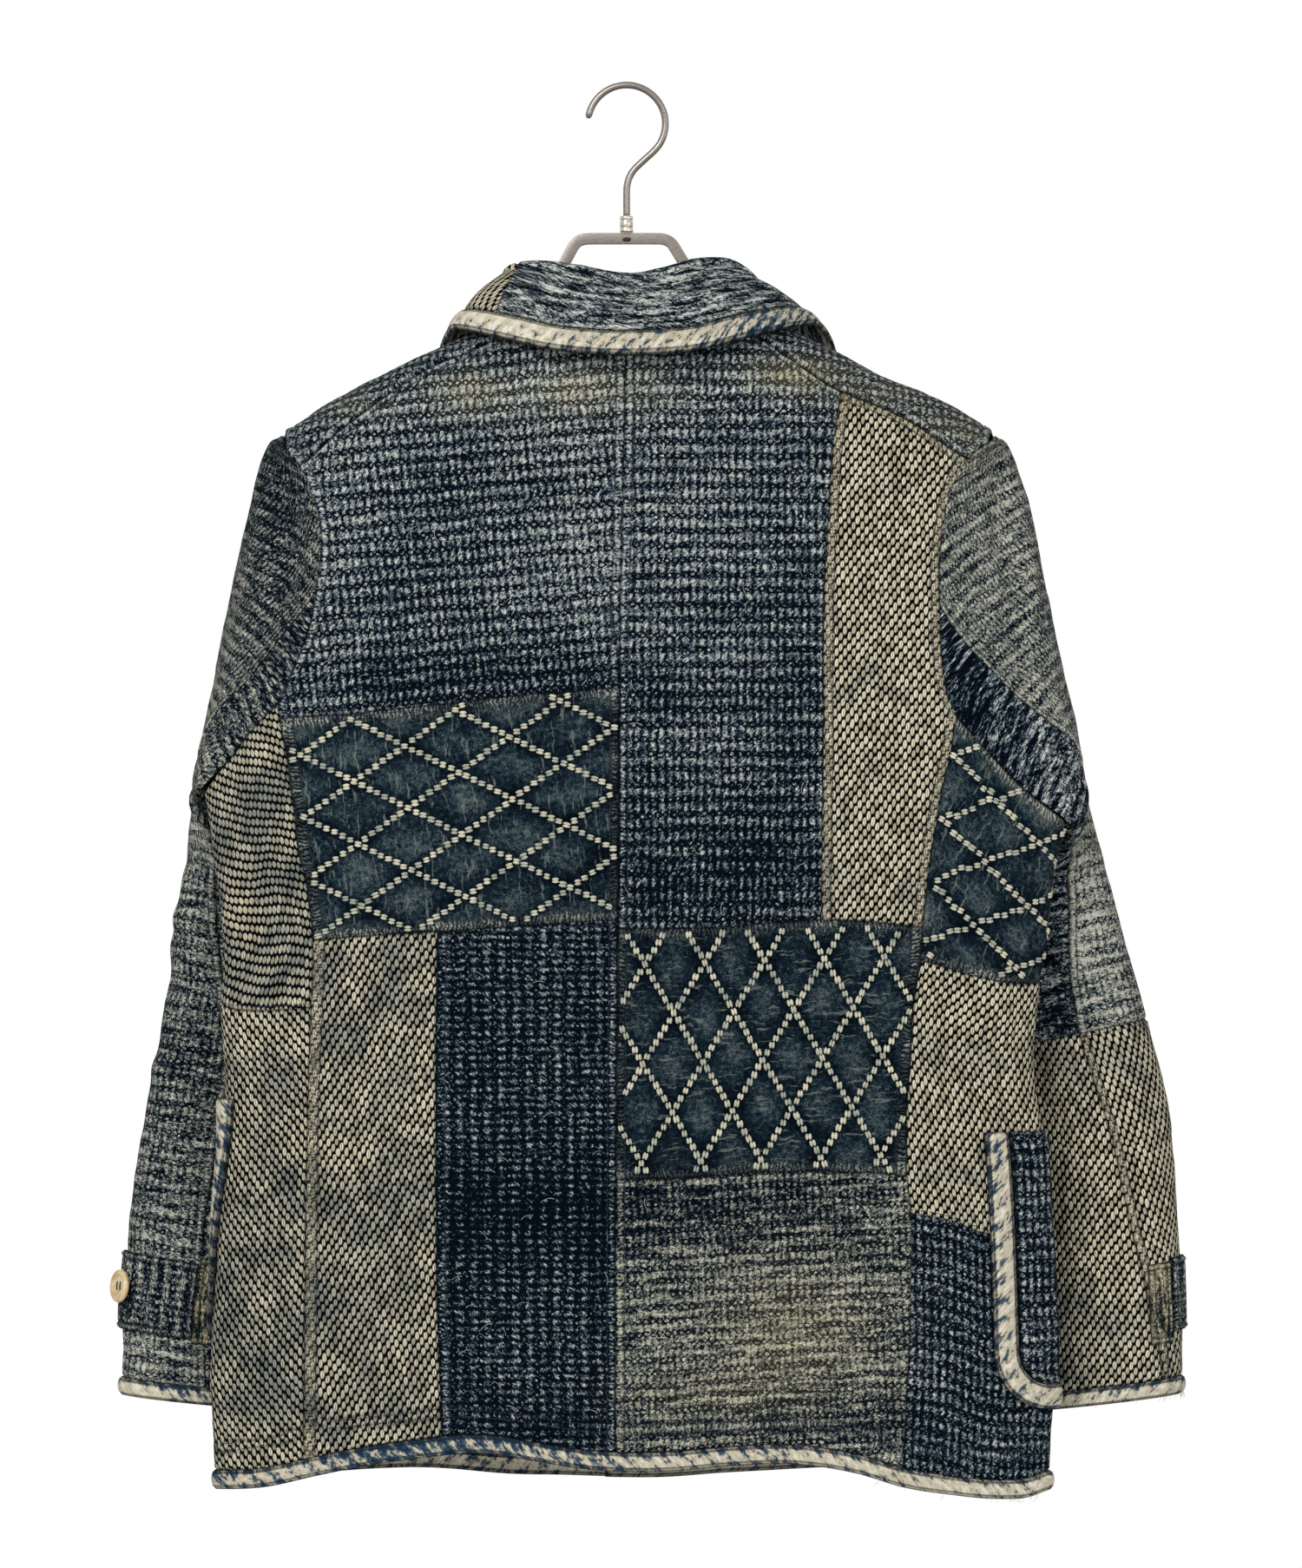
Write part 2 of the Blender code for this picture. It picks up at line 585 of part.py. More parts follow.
def sleevePoint(side, turn, t):
    """The sleeve from the armhole, t 0, to its cuff edge, t 1."""
    sign = -1 if side == "left" else 1
    turn, t = np.broadcast_arrays(np.asarray(turn, float), np.asarray(t, float))
    cap = caps[side]
    turn = np.mod(turn, 360)
    start = rings[side](cap["ring"](turn))
    middle = stack(sign * cap["out"](turn), cap["depth"](turn), cap["z"](turn))
    phi = cap["oval"](turn)
    foot = sleeveOval(side, phi, np.full(phi.shape, float(capFoot)))
    below = sleeveOval(side, phi, np.full(phi.shape, capFoot - 10.0))
    middleWay = 0.75 * (foot - middle) + 0.15 * (middle - start)
    startWay = 1.5 * (middle - start) - headLift * middleWay
    middleWay = middleWay + stack(sign * cap["flare"](turn), 0, 0)
    footWay = (below - foot) / 10 * np.linalg.norm(foot - middle, axis=-1)[..., None]

    def run(s, p0, m0, p1, m1):
        s = np.clip(s, 0, 1)[..., None]
        return (
            (2 * s**3 - 3 * s**2 + 1) * p0 + (s**3 - 2 * s**2 + s) * m0
            + (3 * s**2 - 2 * s**3) * p1 + (s**3 - s**2) * m1
        )

    s = t / capShare * 2
    high = run(s, start, startWay, middle, middleWay)
    low = run(s - 1, middle, middleWay, foot, footWay)
    z = capFoot + (cuffEdge - capFoot) * np.clip((t - capShare) / (1 - capShare), 0, 2)
    lower = sleeveOval(side, phi, z)
    return np.where((s < 1)[..., None], high, np.where((s < 2)[..., None], low, lower))


def sleeveShare(z):
    """The share t of the sleeve at which its middle is at height z, below the underarm."""
    return capShare + (1 - capShare) * (capFoot - z) / (capFoot - cuffEdge)


def rowShare(tFrom, tTo, v):
    """Shares of the sleeve's length for its rows, closer together in the cap."""
    first, last = (0.0 if t == 0 else (t / (1 + capShare * (1 - t))) for t in (tFrom, tTo))
    packed = first + (last - first) * v
    return packed * (1 + capShare) / (1 + capShare * packed)


def sleevePatch(side, piece, tFrom, tTo):
    """The outer or the under piece of a sleeve, between two shares of its length."""
    def surface(u, v):
        t = rowShare(tFrom, tTo, v)
        seam = backSeams[side](t)
        if piece == "outer":
            return sleevePoint(side, frontSleeveSeam - 360 + (seam + 360 - frontSleeveSeam) * u, t)
        start, span = underTurns[0], underTurns[-1] - underTurns[0]
        turn = np.interp(u, np.linspace(0, 1, len(underTurns)), underTurns)
        pull = np.minimum(0.8 * span / (seam - start + 1), 6)
        return sleevePoint(side, turn + (seam - start) * ((underTurns[-1] - turn) / span) ** pull, t)
    return surface


# Collar: its fold and its outer edge, at turns round the neck (0 centre back, 180 centre front).
collarColumns = ("turn", "foldX", "foldY", "foldZ", "edgeX", "edgeY", "edgeZ")
collarRows = [
    (-172, -12, 66, -249, -20, 78, -314), (-156, -40, 62, -229, -58, 76, -302),
    (-136, -60, 52, -203, -92, 68, -268), (-114, -74, 32, -169, -109, 54, -220),
    (-94, -80, 10, -142, -117, 30, -171), (-76, -79, -10, -128, -111, 0, -151),
    (-56, -72, -22, -121, -103, -26, -147), (-38, -48, -27, -121, -77, -46, -152),
    (-20, -24, -29, -124.5, -42, -57, -160), (0, 0, -30, -128.5, 0, -61, -163),
    (20, 24, -29, -125.5, 42, -57, -160), (38, 46, -27, -119, 75, -46, -151.5),
    (56, 65, -22, -118, 103, -26, -146), (76, 83, -10, -128.5, 119, 0, -148),
    (94, 88, 10, -144, 130, 30, -168), (114, 82, 32, -170, 125, 54, -214),
    (136, 66, 52, -204, 103, 68, -264), (156, 43, 62, -229, 62, 76, -300),
    (172, 14, 66, -249, 22, 78, -314),
]
collarWall = 2.4
collarPatchSeam = (-68, -44)
collarEnd = 172
collarTapeWall = 2.8
collarTape = 17
foldRound = 4.6
collarRise = 4.2
collar = tableReader(collarColumns, collarRows)


def neckRing():
    """The neckline from the left front, over the back, to the right front."""
    x = np.linspace(0, -86, 40)
    backLeft = stack(x, torsoDepth(x, across["leftShoulder"](x), False), across["leftShoulder"](x))
    x = np.linspace(0, 86, 40)
    backRight = stack(x, torsoDepth(x, across["rightShoulder"](x), False), across["rightShoulder"](x))
    rows = np.array(acrossSeams["frontNeck"], float)
    z = across["frontNeck"](np.linspace(0, -91.5, 60))
    x = np.linspace(0, -91.5, 60)
    frontLeft = stack(x, torsoDepth(x, z, True), z)
    x = np.linspace(0, rows[-1, 0] - 0.5, 60)
    z = across["frontNeck"](x)
    frontRight = stack(x, torsoDepth(x, z, True), z)
    ring = np.concatenate([frontLeft, backLeft[::-1], backRight[1:], frontRight[::-1]])
    lengths = np.r_[0, np.cumsum(np.linalg.norm(np.diff(ring, axis=0), axis=1))]
    middle = lengths[len(frontLeft) + len(backLeft) - 1]
    turn = np.where(lengths < middle, -180 + 180 * lengths / middle,
                    180 * (lengths - middle) / (lengths[-1] - middle))

    def read(at):
        return np.stack([np.interp(at, turn, ring[:, i]) for i in range(3)], axis=-1)

    return read


neck = neckRing()


def collarPoint(turn, v):
    """The collar at a turn round the neck, from its seam, v 0, over the fold to its outer edge, v 1."""
    turn, v = np.broadcast_arrays(np.asarray(turn, float), np.asarray(v, float))
    seam = neck(turn) + np.array([0, 0, collarRise])
    fold = stack(collar["foldX"](turn), collar["foldY"](turn), collar["foldZ"](turn))
    edge = stack(collar["edgeX"](turn), collar["edgeY"](turn), collar["edgeZ"](turn))
    run = [collar[name](turn + 3) - collar[name](turn - 3) for name in ("foldX", "foldY")]
    outward = stack(run[1], -run[0], 0 * turn)
    outward /= np.linalg.norm(outward, axis=-1)[..., None]
    inner, outer = fold - outward * foldRound, fold + outward * foldRound
    up = np.array([0, 0, 1.0])
    stand = np.clip(v / 0.42, 0, 1)[..., None]
    fall = np.clip((v - 0.58) / 0.42, 0, 1)[..., None]
    over = np.clip((v - 0.42) / 0.16, 0, 1)[..., None] * math.pi
    standRun = seam + (inner - seam) * stand + outward * (3.0 * np.sin(stand * math.pi))
    arch = fold - outward * foldRound * np.cos(over) + up * foldRound * np.sin(over)
    fallRun = outer + (edge - outer) * fall + (outward * 3.0 + up * 1.0) * np.sin(fall * math.pi)
    return np.where((v < 0.42)[..., None], standRun, np.where((v < 0.58)[..., None], arch, fallRun))


def collarTapePoint(turn, v):
    """The tape round the collar's edge, from the edge, v 0, outwards."""
    edge = collarPoint(turn, np.ones(np.shape(turn)))
    before = collarPoint(turn, np.full(np.shape(turn), 0.93))
    way = edge - before
    way = way / np.linalg.norm(way, axis=-1)[..., None]
    return edge + way * (0.8 + (collarTape - 0.8) * v[..., None])


def slopes(surface, u, v, step=2e-3):
    """How the surface moves with u and with v."""
    u0, u1 = np.clip(u - step, 0, 1), np.clip(u + step, 0, 1)
    v0, v1 = np.clip(v - step, 0, 1), np.clip(v + step, 0, 1)
    alongU = (surface(u1, v) - surface(u0, v)) / (u1 - u0)[..., None]
    alongV = (surface(u, v1) - surface(u, v0)) / (v1 - v0)[..., None]
    return alongU, alongV


def torsoCore(point):
    return np.stack([point[..., 0] * 0.55, np.full(point[..., 0].shape, -4.0), point[..., 2] - 30], axis=-1)


def sleeveCore(side):
    def core(point):
        z = point[..., 2]
        t = np.clip(sleeveShare(np.minimum(z, capFoot)), 0, 1.1)
        low = np.stack([sleevePoint(side, 0 * z + phi, t) for phi in (0, 90, 180, 270)]).mean(axis=0)
        high = stack(np.sign(low[..., 0]) * 235, 5 + 0 * z, z - 15)
        share = smoothStep((z - capFoot) / 120)[..., None]
        return low * (1 - share) + high * share
    return core


def collarCore(point):
    return np.stack([point[..., 0] * 0.6, point[..., 1] * 0.6, point[..., 2] - 60], axis=-1)


def place(name, build, colour, roughness=0.9, metallic=0.0):
    """A new object named name, from a bmesh in millimetres, with a material of its own."""
    mesh = bpy.data.meshes.new(name)
    bmesh.ops.recalc_face_normals(build, faces=build.faces[:])
    if build.calc_volume(signed=True) < 0:
        bmesh.ops.reverse_faces(build, faces=build.faces[:])
    build.to_mesh(mesh)
    build.free()
    mesh.transform(((mm, 0, 0, 0), (0, mm, 0, 0), (0, 0, mm, 0), (0, 0, 0, 1)))
    item = bpy.data.objects.new(name, mesh)
    jacket.objects.link(item)
    paint(item, colour, roughness, metallic)
    return item


def paint(item, colour, roughness, metallic):
    finish = bpy.data.materials.new(item.name)
    finish.use_nodes = True
    shader = finish.node_tree.nodes["Principled BSDF"]
    shader.inputs["Base Color"].default_value = (*colour, 1)
    shader.inputs["Roughness"].default_value = roughness
    shader.inputs["Metallic"].default_value = metallic
    item.data.materials.append(finish)


def cloth(name, surface, columns, rows, colour, core=torsoCore, wall=clothWall, lift=0.0, gap=seamGap,
          startGap=0.0, facing=0.0):
    """A wall of cloth on a surface: a grid slab of one unit, bent so that its top is the outer face."""
    build = bmesh.new()
    bmesh.ops.create_grid(build, x_segments=columns, y_segments=rows, size=0.5)
    bmesh.ops.translate(build, verts=build.verts, vec=(0.5, 0.5, 0))
    extruded = bmesh.ops.extrude_face_region(build, geom=build.faces[:], use_keep_orig=True)["geom"]
    raised = [item for item in extruded if isinstance(item, bmesh.types.BMVert)]
    bmesh.ops.translate(build, verts=raised, vec=(0, 0, 1))
    unit = np.array([vert.co for vert in build.verts], float)
    u, v, inner = np.clip(unit[:, 0], 0, 1), np.clip(unit[:, 1], 0, 1), unit[:, 2]
    alongU, alongV = slopes(surface, u, v)
    lengthU, lengthV = np.linalg.norm(alongU, axis=1), np.linalg.norm(alongV, axis=1)
    u = u + np.where(u < 1e-6, 1, np.where(u > 1 - 1e-6, -1, 0)) * gap / 2 / np.maximum(lengthU, 1)
    counted = (v >= facing)[:, None]
    v = v + np.where(v < 1e-6, 1, np.where(v > 1 - 1e-6, -1, 0)) * gap / 2 / np.maximum(lengthV, 1)
    v = v + np.where(v < 0.02, startGap, 0) / np.maximum(lengthV, 1)
    points = surface(u, v)
    normals = np.cross(alongU, alongV)
    normals /= np.linalg.norm(normals, axis=1)[:, None] + 1e-9
    if (normals * (points - core(points)) * counted).sum() < 0:
        normals = -normals
    points = points + normals * (lift - wall * inner)[:, None]
    for vert, point in zip(build.verts, points):
        vert.co = point
    return place(name, build, colour)


for item in list(bpy.data.objects):
    bpy.data.objects.remove(item)
jacket = bpy.data.collections.new("boro_jacket_on_hanger")
bpy.context.scene.collection.children.link(jacket)

boroBlue = (0.16, 0.22, 0.30)
boroDark = (0.05, 0.09, 0.15)
boroPale = (0.30, 0.33, 0.31)
creamWeave = (0.52, 0.48, 0.36)
indigoPlain = (0.05, 0.11, 0.18)
tapeCream = (0.55, 0.52, 0.42)
steel = (0.55, 0.52, 0.49)
ivory = (0.80, 0.70, 0.50)
rivetDark = (0.1, 0.09, 0.08)

d, a = down, across


def backEdge(side, joinZ):
    """The outer edge of the back: the side seam up to the armhole, then the armhole."""
    return lambda z: np.where(z < joinZ, d[side + "BackSide"](z), d[side + "Armhole"](z))


leftEdge, rightEdge = backEdge("left", underarmSplit["left"]), backEdge("right", underarmSplit["right"])
middle, leftSide, rightSide = d["centreBack"], d["leftBackSide"], d["rightBackSide"]

panels = [
    ("back_left_upper", leftEdge, middle, a["diamondTop"], a["leftShoulder"], 8, 11, boroBlue),
    ("back_left_diamond", leftSide, middle, a["diamondBottom"], a["diamondTop"], 7, 5, indigoPlain),
    ("back_left_cream", leftSide, d["creamIndigo"], a["backHem"], a["diamondBottom"], 3, 7, creamWeave),
    ("back_left_indigo", d["creamIndigo"], middle, a["backHem"], a["diamondBottom"], 5, 7, boroDark),
    ("back_right_upper", middle, d["blueCream"], a["uprightTop"], a["rightShoulder"], 5, 10, boroBlue),
    ("back_right_cream", d["blueCream"], rightEdge, a["uprightTop"], a["rightShoulder"], 4, 12, creamWeave),
    ("back_right_diamond", middle, rightSide, a["uprightBottom"], a["uprightTop"], 7, 5, indigoPlain),
    ("back_right_lower", middle, rightSide, a["backHem"], a["uprightBottom"], 7, 4, boroPale),
]
for name, left, right, bottom, top, columns, rows, colour in panels:
    atArmhole = leftEdge in (left, right) or rightEdge in (left, right)
    gap = 2 * seamGap if atArmhole else seamGap
    cloth(name, backPanel(left, right, bottom, top), columns, rows, colour, gap=gap)

sidePieces = [
    ("side_left_upper", "left", sides["leftSideSeam"], sides["leftUnderarm"], 10, 4, creamWeave),
    ("side_left_lower", "left", hemLevel("left"), sides["leftSideSeam"], 9, 5, creamWeave),
    ("side_right_upper", "right", sides["rightDiamondFoot"], sides["rightUnderarm"], 10, 4, indigoPlain),
    ("side_right_mid", "right", sides["rightCreamFoot"], sides["rightDiamondFoot"], 9, 3, creamWeave),
    ("side_right_lower", "right", hemLevel("right"), sides["rightCreamFoot"], 9, 4, boroDark),
]
for name, side, bottom, top, columns, rows, colour in sidePieces:
    cloth(name, sidePanel(side, bottom, top), columns, rows, colour)

cloth("front_left", frontPanel("left"), 7, 15, boroBlue, gap=1.0)
cloth("front_right", frontPanel("right"), 7, 15, boroBlue, gap=1.0)

forearmShare = float(sleeveShare(forearmSeam))
sleevePieces = [
    ("sleeve_left_outer", "left", "outer", 0, 1, 14, 12, boroBlue),
    ("sleeve_left_under", "left", "under", 0, 1, 11, 12, boroBlue),
    ("sleeve_right_outer", "right", "outer", 0, forearmShare, 14, 9, boroBlue),
    ("sleeve_right_forearm", "right", "outer", forearmShare, 1, 14, 4, creamWeave),
    ("sleeve_right_under", "right", "under", 0, forearmShare, 11, 9, boroDark),
    ("sleeve_right_inner_forearm", "right", "under", forearmShare, 1, 11, 4, creamWeave),
]
for name, side, piece, first, last, columns, rows, colour in sleevePieces:
    atTop = first == 0
    cloth(name, sleevePatch(side, piece, first, last), columns, rows, colour, sleeveCore(side), sleeveWall,
          gap=sleeveGap if atTop else seamGap, startGap=armholeGap if atTop else 0)


def collarPatch(first, last):
    # a stretch of the collar; each end is a turn at the neck seam and a turn at the outer edge
    def surface(u, v):
        up = np.interp(v, [0, 0.25, 0.75, 1], [0, 0.42, 0.58, 1])
        start, end = (ends[0] + (ends[1] - ends[0]) * up for ends in (first, last))
        return collarPoint(start + (end - start) * u, up)
    return surface


def collarTapeRun(u, v):
    return collarTapePoint(collarEnd * (2 * u - 1), v)


collarFirst, collarLast = (-collarEnd, -collarEnd), (collarEnd, collarEnd)
cloth("collar", collarPatch(collarPatchSeam, collarLast), 18, 8, boroBlue, collarCore, collarWall, facing=0.6)
cloth("collar_cream", collarPatch(collarFirst, collarPatchSeam), 10, 8, creamWeave, collarCore, collarWall, facing=0.6)
cloth("collar_binding", collarTapeRun, 30, 1, tapeCream, collarCore, collarTapeWall, 0.4)


def hemTape(u, v):
    """Tape round the hem, from the left front's edge, over the back, to the right front's edge."""
    middle = down["centreBack"](-914)
    first = -2 - np.arcsin((frontOverlap - middle) / (middle - body["left"](-914))) / quarterTurn
    last = 2 + np.arcsin((middle + frontUnderlap) / (body["right"](-914) - middle)) / quarterTurn
    w = first + (last - first) * u
    level = np.where(w < 0, hemLevels["left"](np.abs(w)), hemLevels["right"](np.abs(w)))
    x = middle + (body["right"](-914) - middle) * np.sin(w * quarterTurn)
    push = np.where(w > 1.7, pushUnder(x), 0.0)
    return wrapPoint(w, level - hemTapeHeight * (1 - v), push)


def cuffTapeRun(side):
    """Tape round the end of a sleeve."""
    perMillimetre = (1 - capShare) / (capFoot - cuffEdge)

    def surface(u, v):
        return sleevePoint(side, 360 * u, 1 + cuffTape * (1 - v) * perMillimetre)
    return surface


def aroundSide(side, z):
    """The turn round the body for each length from its side edge, towards the front above zero."""
    w = np.linspace(0.2, 1.9, 400)
    points = wrapPoint((-1 if side == "left" else 1) * w, np.full(w.shape, float(z)))
    lengths = np.r_[0, np.cumsum(np.linalg.norm(np.diff(points, axis=0), axis=1))]
    lengths -= np.interp(1, w, lengths)
    return lambda s: np.interp(s, lengths, w)


def onSide(side, s, z):
    pocket = pockets[side]
    w = pocketTurns[side](s + pocket["slant"] * (z - pocket["top"]))
    return wrapPoint((-1 if side == "left" else 1) * w, z)


def pocketBag(side):
    """A patch pocket inside its tape, from its lower edge, v 0, to its mouth."""
    p = pockets[side]
    radius = pocketCorner - pocketTape
    low = p["bottom"] + pocketTape

    def surface(u, v):
        z = low + (p["top"] - low) * v**1.5
        rise = np.clip(z - low, 0, radius)
        inset = pocketTape + 2 + radius - np.sqrt(np.maximum(radius**2 - (radius - rise) ** 2, 0))
        shift = p["slant"] * (z - p["top"])
        first = pocketTurns[side](p["back"] + inset + shift)
        last = pocketTurns[side](p["front"] - inset + shift)
        return wrapPoint((-1 if side == "left" else 1) * (first + (last - first) * u), z)

    return surface


def pocketOutline(side, inset):
    """The pocket's edge as points (s, z), from its mouth at the back, round the bottom, to the front."""
    p = pockets[side]
    back, front, bottom = p["back"] + inset, p["front"] - inset, p["bottom"] + inset
    radius = pocketCorner - inset
    turns = np.radians(np.linspace(0, 90, 16))
    backCorner = [(back + radius * (1 - np.cos(q)), bottom + radius * (1 - np.sin(q))) for q in turns]
    frontCorner = [(front - radius * (1 - np.cos(q)), bottom + radius * (1 - np.sin(q)))
                   for q in turns[::-1]]
    along = [(s, bottom) for s in np.linspace(back + radius, front - radius, 60)[1:-1]]
    return np.array([(back, p["top"]), *backCorner, *along, *frontCorner, (front, p["top"])])


def pocketTapeRun(side):
    outer, inner = pocketOutline(side, 0), pocketOutline(side, pocketTape)
    nearEdge = 1 + 5 * np.exp(-((outer[1:, 0] / 20) ** 2)) * (outer[1:, 1] < pockets[side]["bottom"] + 1)
    lengths = np.r_[0, np.cumsum(np.hypot(*np.diff(outer, axis=0).T) * nearEdge)]
    lengths /= lengths[-1]

    def surface(u, v):
        inside, outside = ([np.interp(u, lengths, edge[:, i]) for i in (0, 1)] for edge in (inner, outer))
        return onSide(side, *(near * (1 - v) + far * v for near, far in zip(inside, outside)))

    return surface


def cuffStrip(side, turns, levels):
    """A strip on a sleeve between two turns and two heights."""
    def surface(u, v):
        z = levels[0] + (levels[1] - levels[0]) * v
        return sleevePoint(side, turns[0] + (turns[1] - turns[0]) * u, sleeveShare(z))
    return surface


def button(name, surface, u, v, lift):
    """A round button with a rolled rim, lying on a surface."""
    at = np.array([float(u)]), np.array([float(v)])
    point = surface(*at)[0]
    alongU, alongV = slopes(surface, *at)
    normal = np.cross(alongU[0], alongV[0])
    normal /= np.linalg.norm(normal)
    if normal @ (point - np.array([point[0] * buttonInward, -4, point[2]])) < 0:
        normal = -normal
    build = bmesh.new()
    size = {"radius1": buttonRadius, "radius2": buttonRadius, "depth": buttonThick}
    bmesh.ops.create_cone(build, cap_ends=True, segments=14, **size)
    rims = [edge for edge in build.edges if abs(edge.verts[0].co.z - edge.verts[1].co.z) < 1e-6]
    bmesh.ops.bevel(build, geom=rims, offset=buttonThick * 0.3, segments=1, affect="EDGES", profile=0.5)
    turned = Vector(normal).to_track_quat("Z", "Y").to_matrix().to_4x4()
    middle = Vector(point + normal * (lift + buttonThick / 2))
    bmesh.ops.transform(build, matrix=Matrix.Translation(middle) @ turned, verts=build.verts)
    place(name, build, ivory, 0.35)


def wire(name, points, radius, colour, roughness, steps):
    """A round wire along a smooth curve through points, with closed ends, made into a mesh."""
    path = bpy.data.curves.new(name, "CURVE")
    path.dimensions = "3D"
    path.bevel_depth = radius * mm
    path.bevel_resolution = 2
    path.use_fill_caps = True
    path.resolution_u = steps
    run = path.splines.new("NURBS")
    run.points.add(len(points) - 1)
    run.order_u = 4
    run.use_endpoint_u = True
    for knot, (x, y, z) in zip(run.points, points):
        knot.co = (x * mm, y * mm, z * mm, 1)
    return meshed(name, path, colour, roughness)


def flatBar(name, outline, thick, colour, roughness):
    """A flat bar cut to an outline in the plane of the hanger, its edges rounded off."""
    plate = bpy.data.curves.new(name, "CURVE")
    plate.dimensions = "2D"
    plate.fill_mode = "BOTH"
    plate.extrude = (thick / 2 - barEdge) * mm
    plate.bevel_depth = barEdge * mm
    plate.bevel_resolution = 1
    run = plate.splines.new("POLY")
    run.points.add(len(outline) - 1)
    run.use_cyclic_u = True
    for knot, (x, z) in zip(run.points, outline):
        knot.co = (x * mm, z * mm, 0, 1)
    item = meshed(name, plate, colour, roughness)
    item.data.transform(Matrix.Rotation(quarterTurn, 4, "X"))
    return item


def meshed(name, curve, colour, roughness):
    holder = bpy.data.objects.new(name + "_path", curve)
    bpy.context.scene.collection.objects.link(holder)
    mesh = bpy.data.meshes.new_from_object(holder.evaluated_get(bpy.context.evaluated_depsgraph_get()))
    bpy.data.objects.remove(holder)
    build = bmesh.new()
    build.from_mesh(mesh)
    bpy.data.meshes.remove(mesh)
    bmesh.ops.remove_doubles(build, verts=build.verts, dist=1e-6)
    bmesh.ops.transform(build, matrix=Matrix.Scale(1 / mm, 4), verts=build.verts)
    item = place(name, build, colour, roughness, 1.0)
    item.data.polygons.foreach_set("use_smooth", [True] * len(item.data.polygons))
    return item


def drum(name, radius, thick, centre, turn, colour, roughness, metallic, wide=1.0):
    """A short cylinder with softened rims."""
    build = bmesh.new()
    bmesh.ops.create_cone(build, cap_ends=True, segments=16, radius1=radius, radius2=radius, depth=thick)
    rims = [edge for edge in build.edges if abs(edge.verts[0].co.z - edge.verts[1].co.z) < 1e-6]
    bmesh.ops.bevel(build, geom=rims, offset=thick * 0.08, segments=1, affect="EDGES", profile=0.5)
    bmesh.ops.scale(build, vec=(wide, 1, 1), verts=build.verts)
    placed = Matrix.Translation(centre) @ Matrix.Rotation(turn, 4, "X")
    bmesh.ops.transform(build, matrix=placed, verts=build.verts)
    item = place(name, build, colour, roughness, metallic)
    item.data.polygons.foreach_set("use_smooth", [True] * len(item.data.polygons))


def bandOutline(run, width):
    """Both edges of a band of a set width along a run of points."""
    run = np.array(run, float)
    way = np.gradient(run, axis=0)
    way /= np.linalg.norm(way, axis=1)[:, None]
    aside = np.stack([-way[:, 1], way[:, 0]], axis=-1) * width / 2
    return [tuple(q) for q in np.concatenate([run + aside, (run - aside)[::-1]])]


hemLevels = {side: hemLevel(side) for side in ("left", "right")}
pocketTurns = {side: aroundSide(side, (p["top"] + p["bottom"]) / 2) for side, p in pockets.items()}

cloth("hem_binding", hemTape, 46, 1, tapeCream, torsoCore, tapeWall, tapeLift, 1.4)
for side in ("left", "right"):
    cloth("cuff_binding_" + side, cuffTapeRun(side), 20, 1, tapeCream, sleeveCore(side), tapeWall, tapeLift)
    bagColour = boroBlue if side == "left" else boroDark
    lift = pocketGap + clothWall
    cloth("pocket_" + side, pocketBag(side), 11, 4, bagColour, torsoCore, clothWall, lift, bagGap)
    tapeName, tapeTop = "pocket_binding_" + side, pocketGap + pocketTapeWall
    cloth(tapeName, pocketTapeRun(side), 30, 2, tapeCream, torsoCore, pocketTapeWall, tapeTop)
    tab, strip = cuffTabs[side], cuffStrips[side]
    core = sleeveCore(side)
    tabLift = clothWall + layerGap
    tabRun, stripRun = (cuffStrip(side, piece["turns"], piece["levels"]) for piece in (tab, strip))
    cloth("cuff_tab_" + side, tabRun, 8, 2, boroBlue, core, clothWall, tabLift)
    cloth("tab_strip_" + side, stripRun, 3, 2, boroBlue, core, clothWall, tabLift)
    button("cuff_button_" + side, tabRun, tab["button"], 0.55, tabLift + layerGap)

for number, height in enumerate(frontButtons, 1):
    button("front_button_%d" % number, lambda u, v: sheetPoint(-3 + 4 * u, 100 + 800 * v), 0.0,
           (float(pathFromDrop(-3.0, float(height))) - 100) / 800, layerGap)

hookMiddle = -hookRadius + wireRadius
turns = np.radians(np.linspace(172, -38, 12))
hookRun = [(hookRadius * math.cos(q), 0, hookMiddle + hookRadius * math.sin(q)) for q in turns]
hookRun += [(10.5, 0, -48.5), (3.2, 0, -55.5), (0, 0, -64), (0, 0, -74), (0, 0, ferruleTop + layerGap)]
wire("hanger_hook", hookRun, wireRadius, steel, 0.3, 2)
ferruleLength = ferruleTop - barTop - layerGap
drum("hanger_ferrule", 4.6, ferruleLength, (0, 0, ferruleTop - ferruleLength / 2), 0, steel, 0.3, 1.0)
flatBar("hanger_bar", bandOutline(barRun, barWidth - 2 * barEdge), barThick, steel, 0.3)
rivetPlace = (0, -barThick / 2 - layerGap - 0.35, barTop - 4.4)
drum("hanger_rivet", 1.45, 0.7, rivetPlace, quarterTurn, rivetDark, 0.5, 1.0, 2.0)
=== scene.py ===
import math

import bmesh
import bpy
import numpy as np
from mathutils import Matrix, Vector


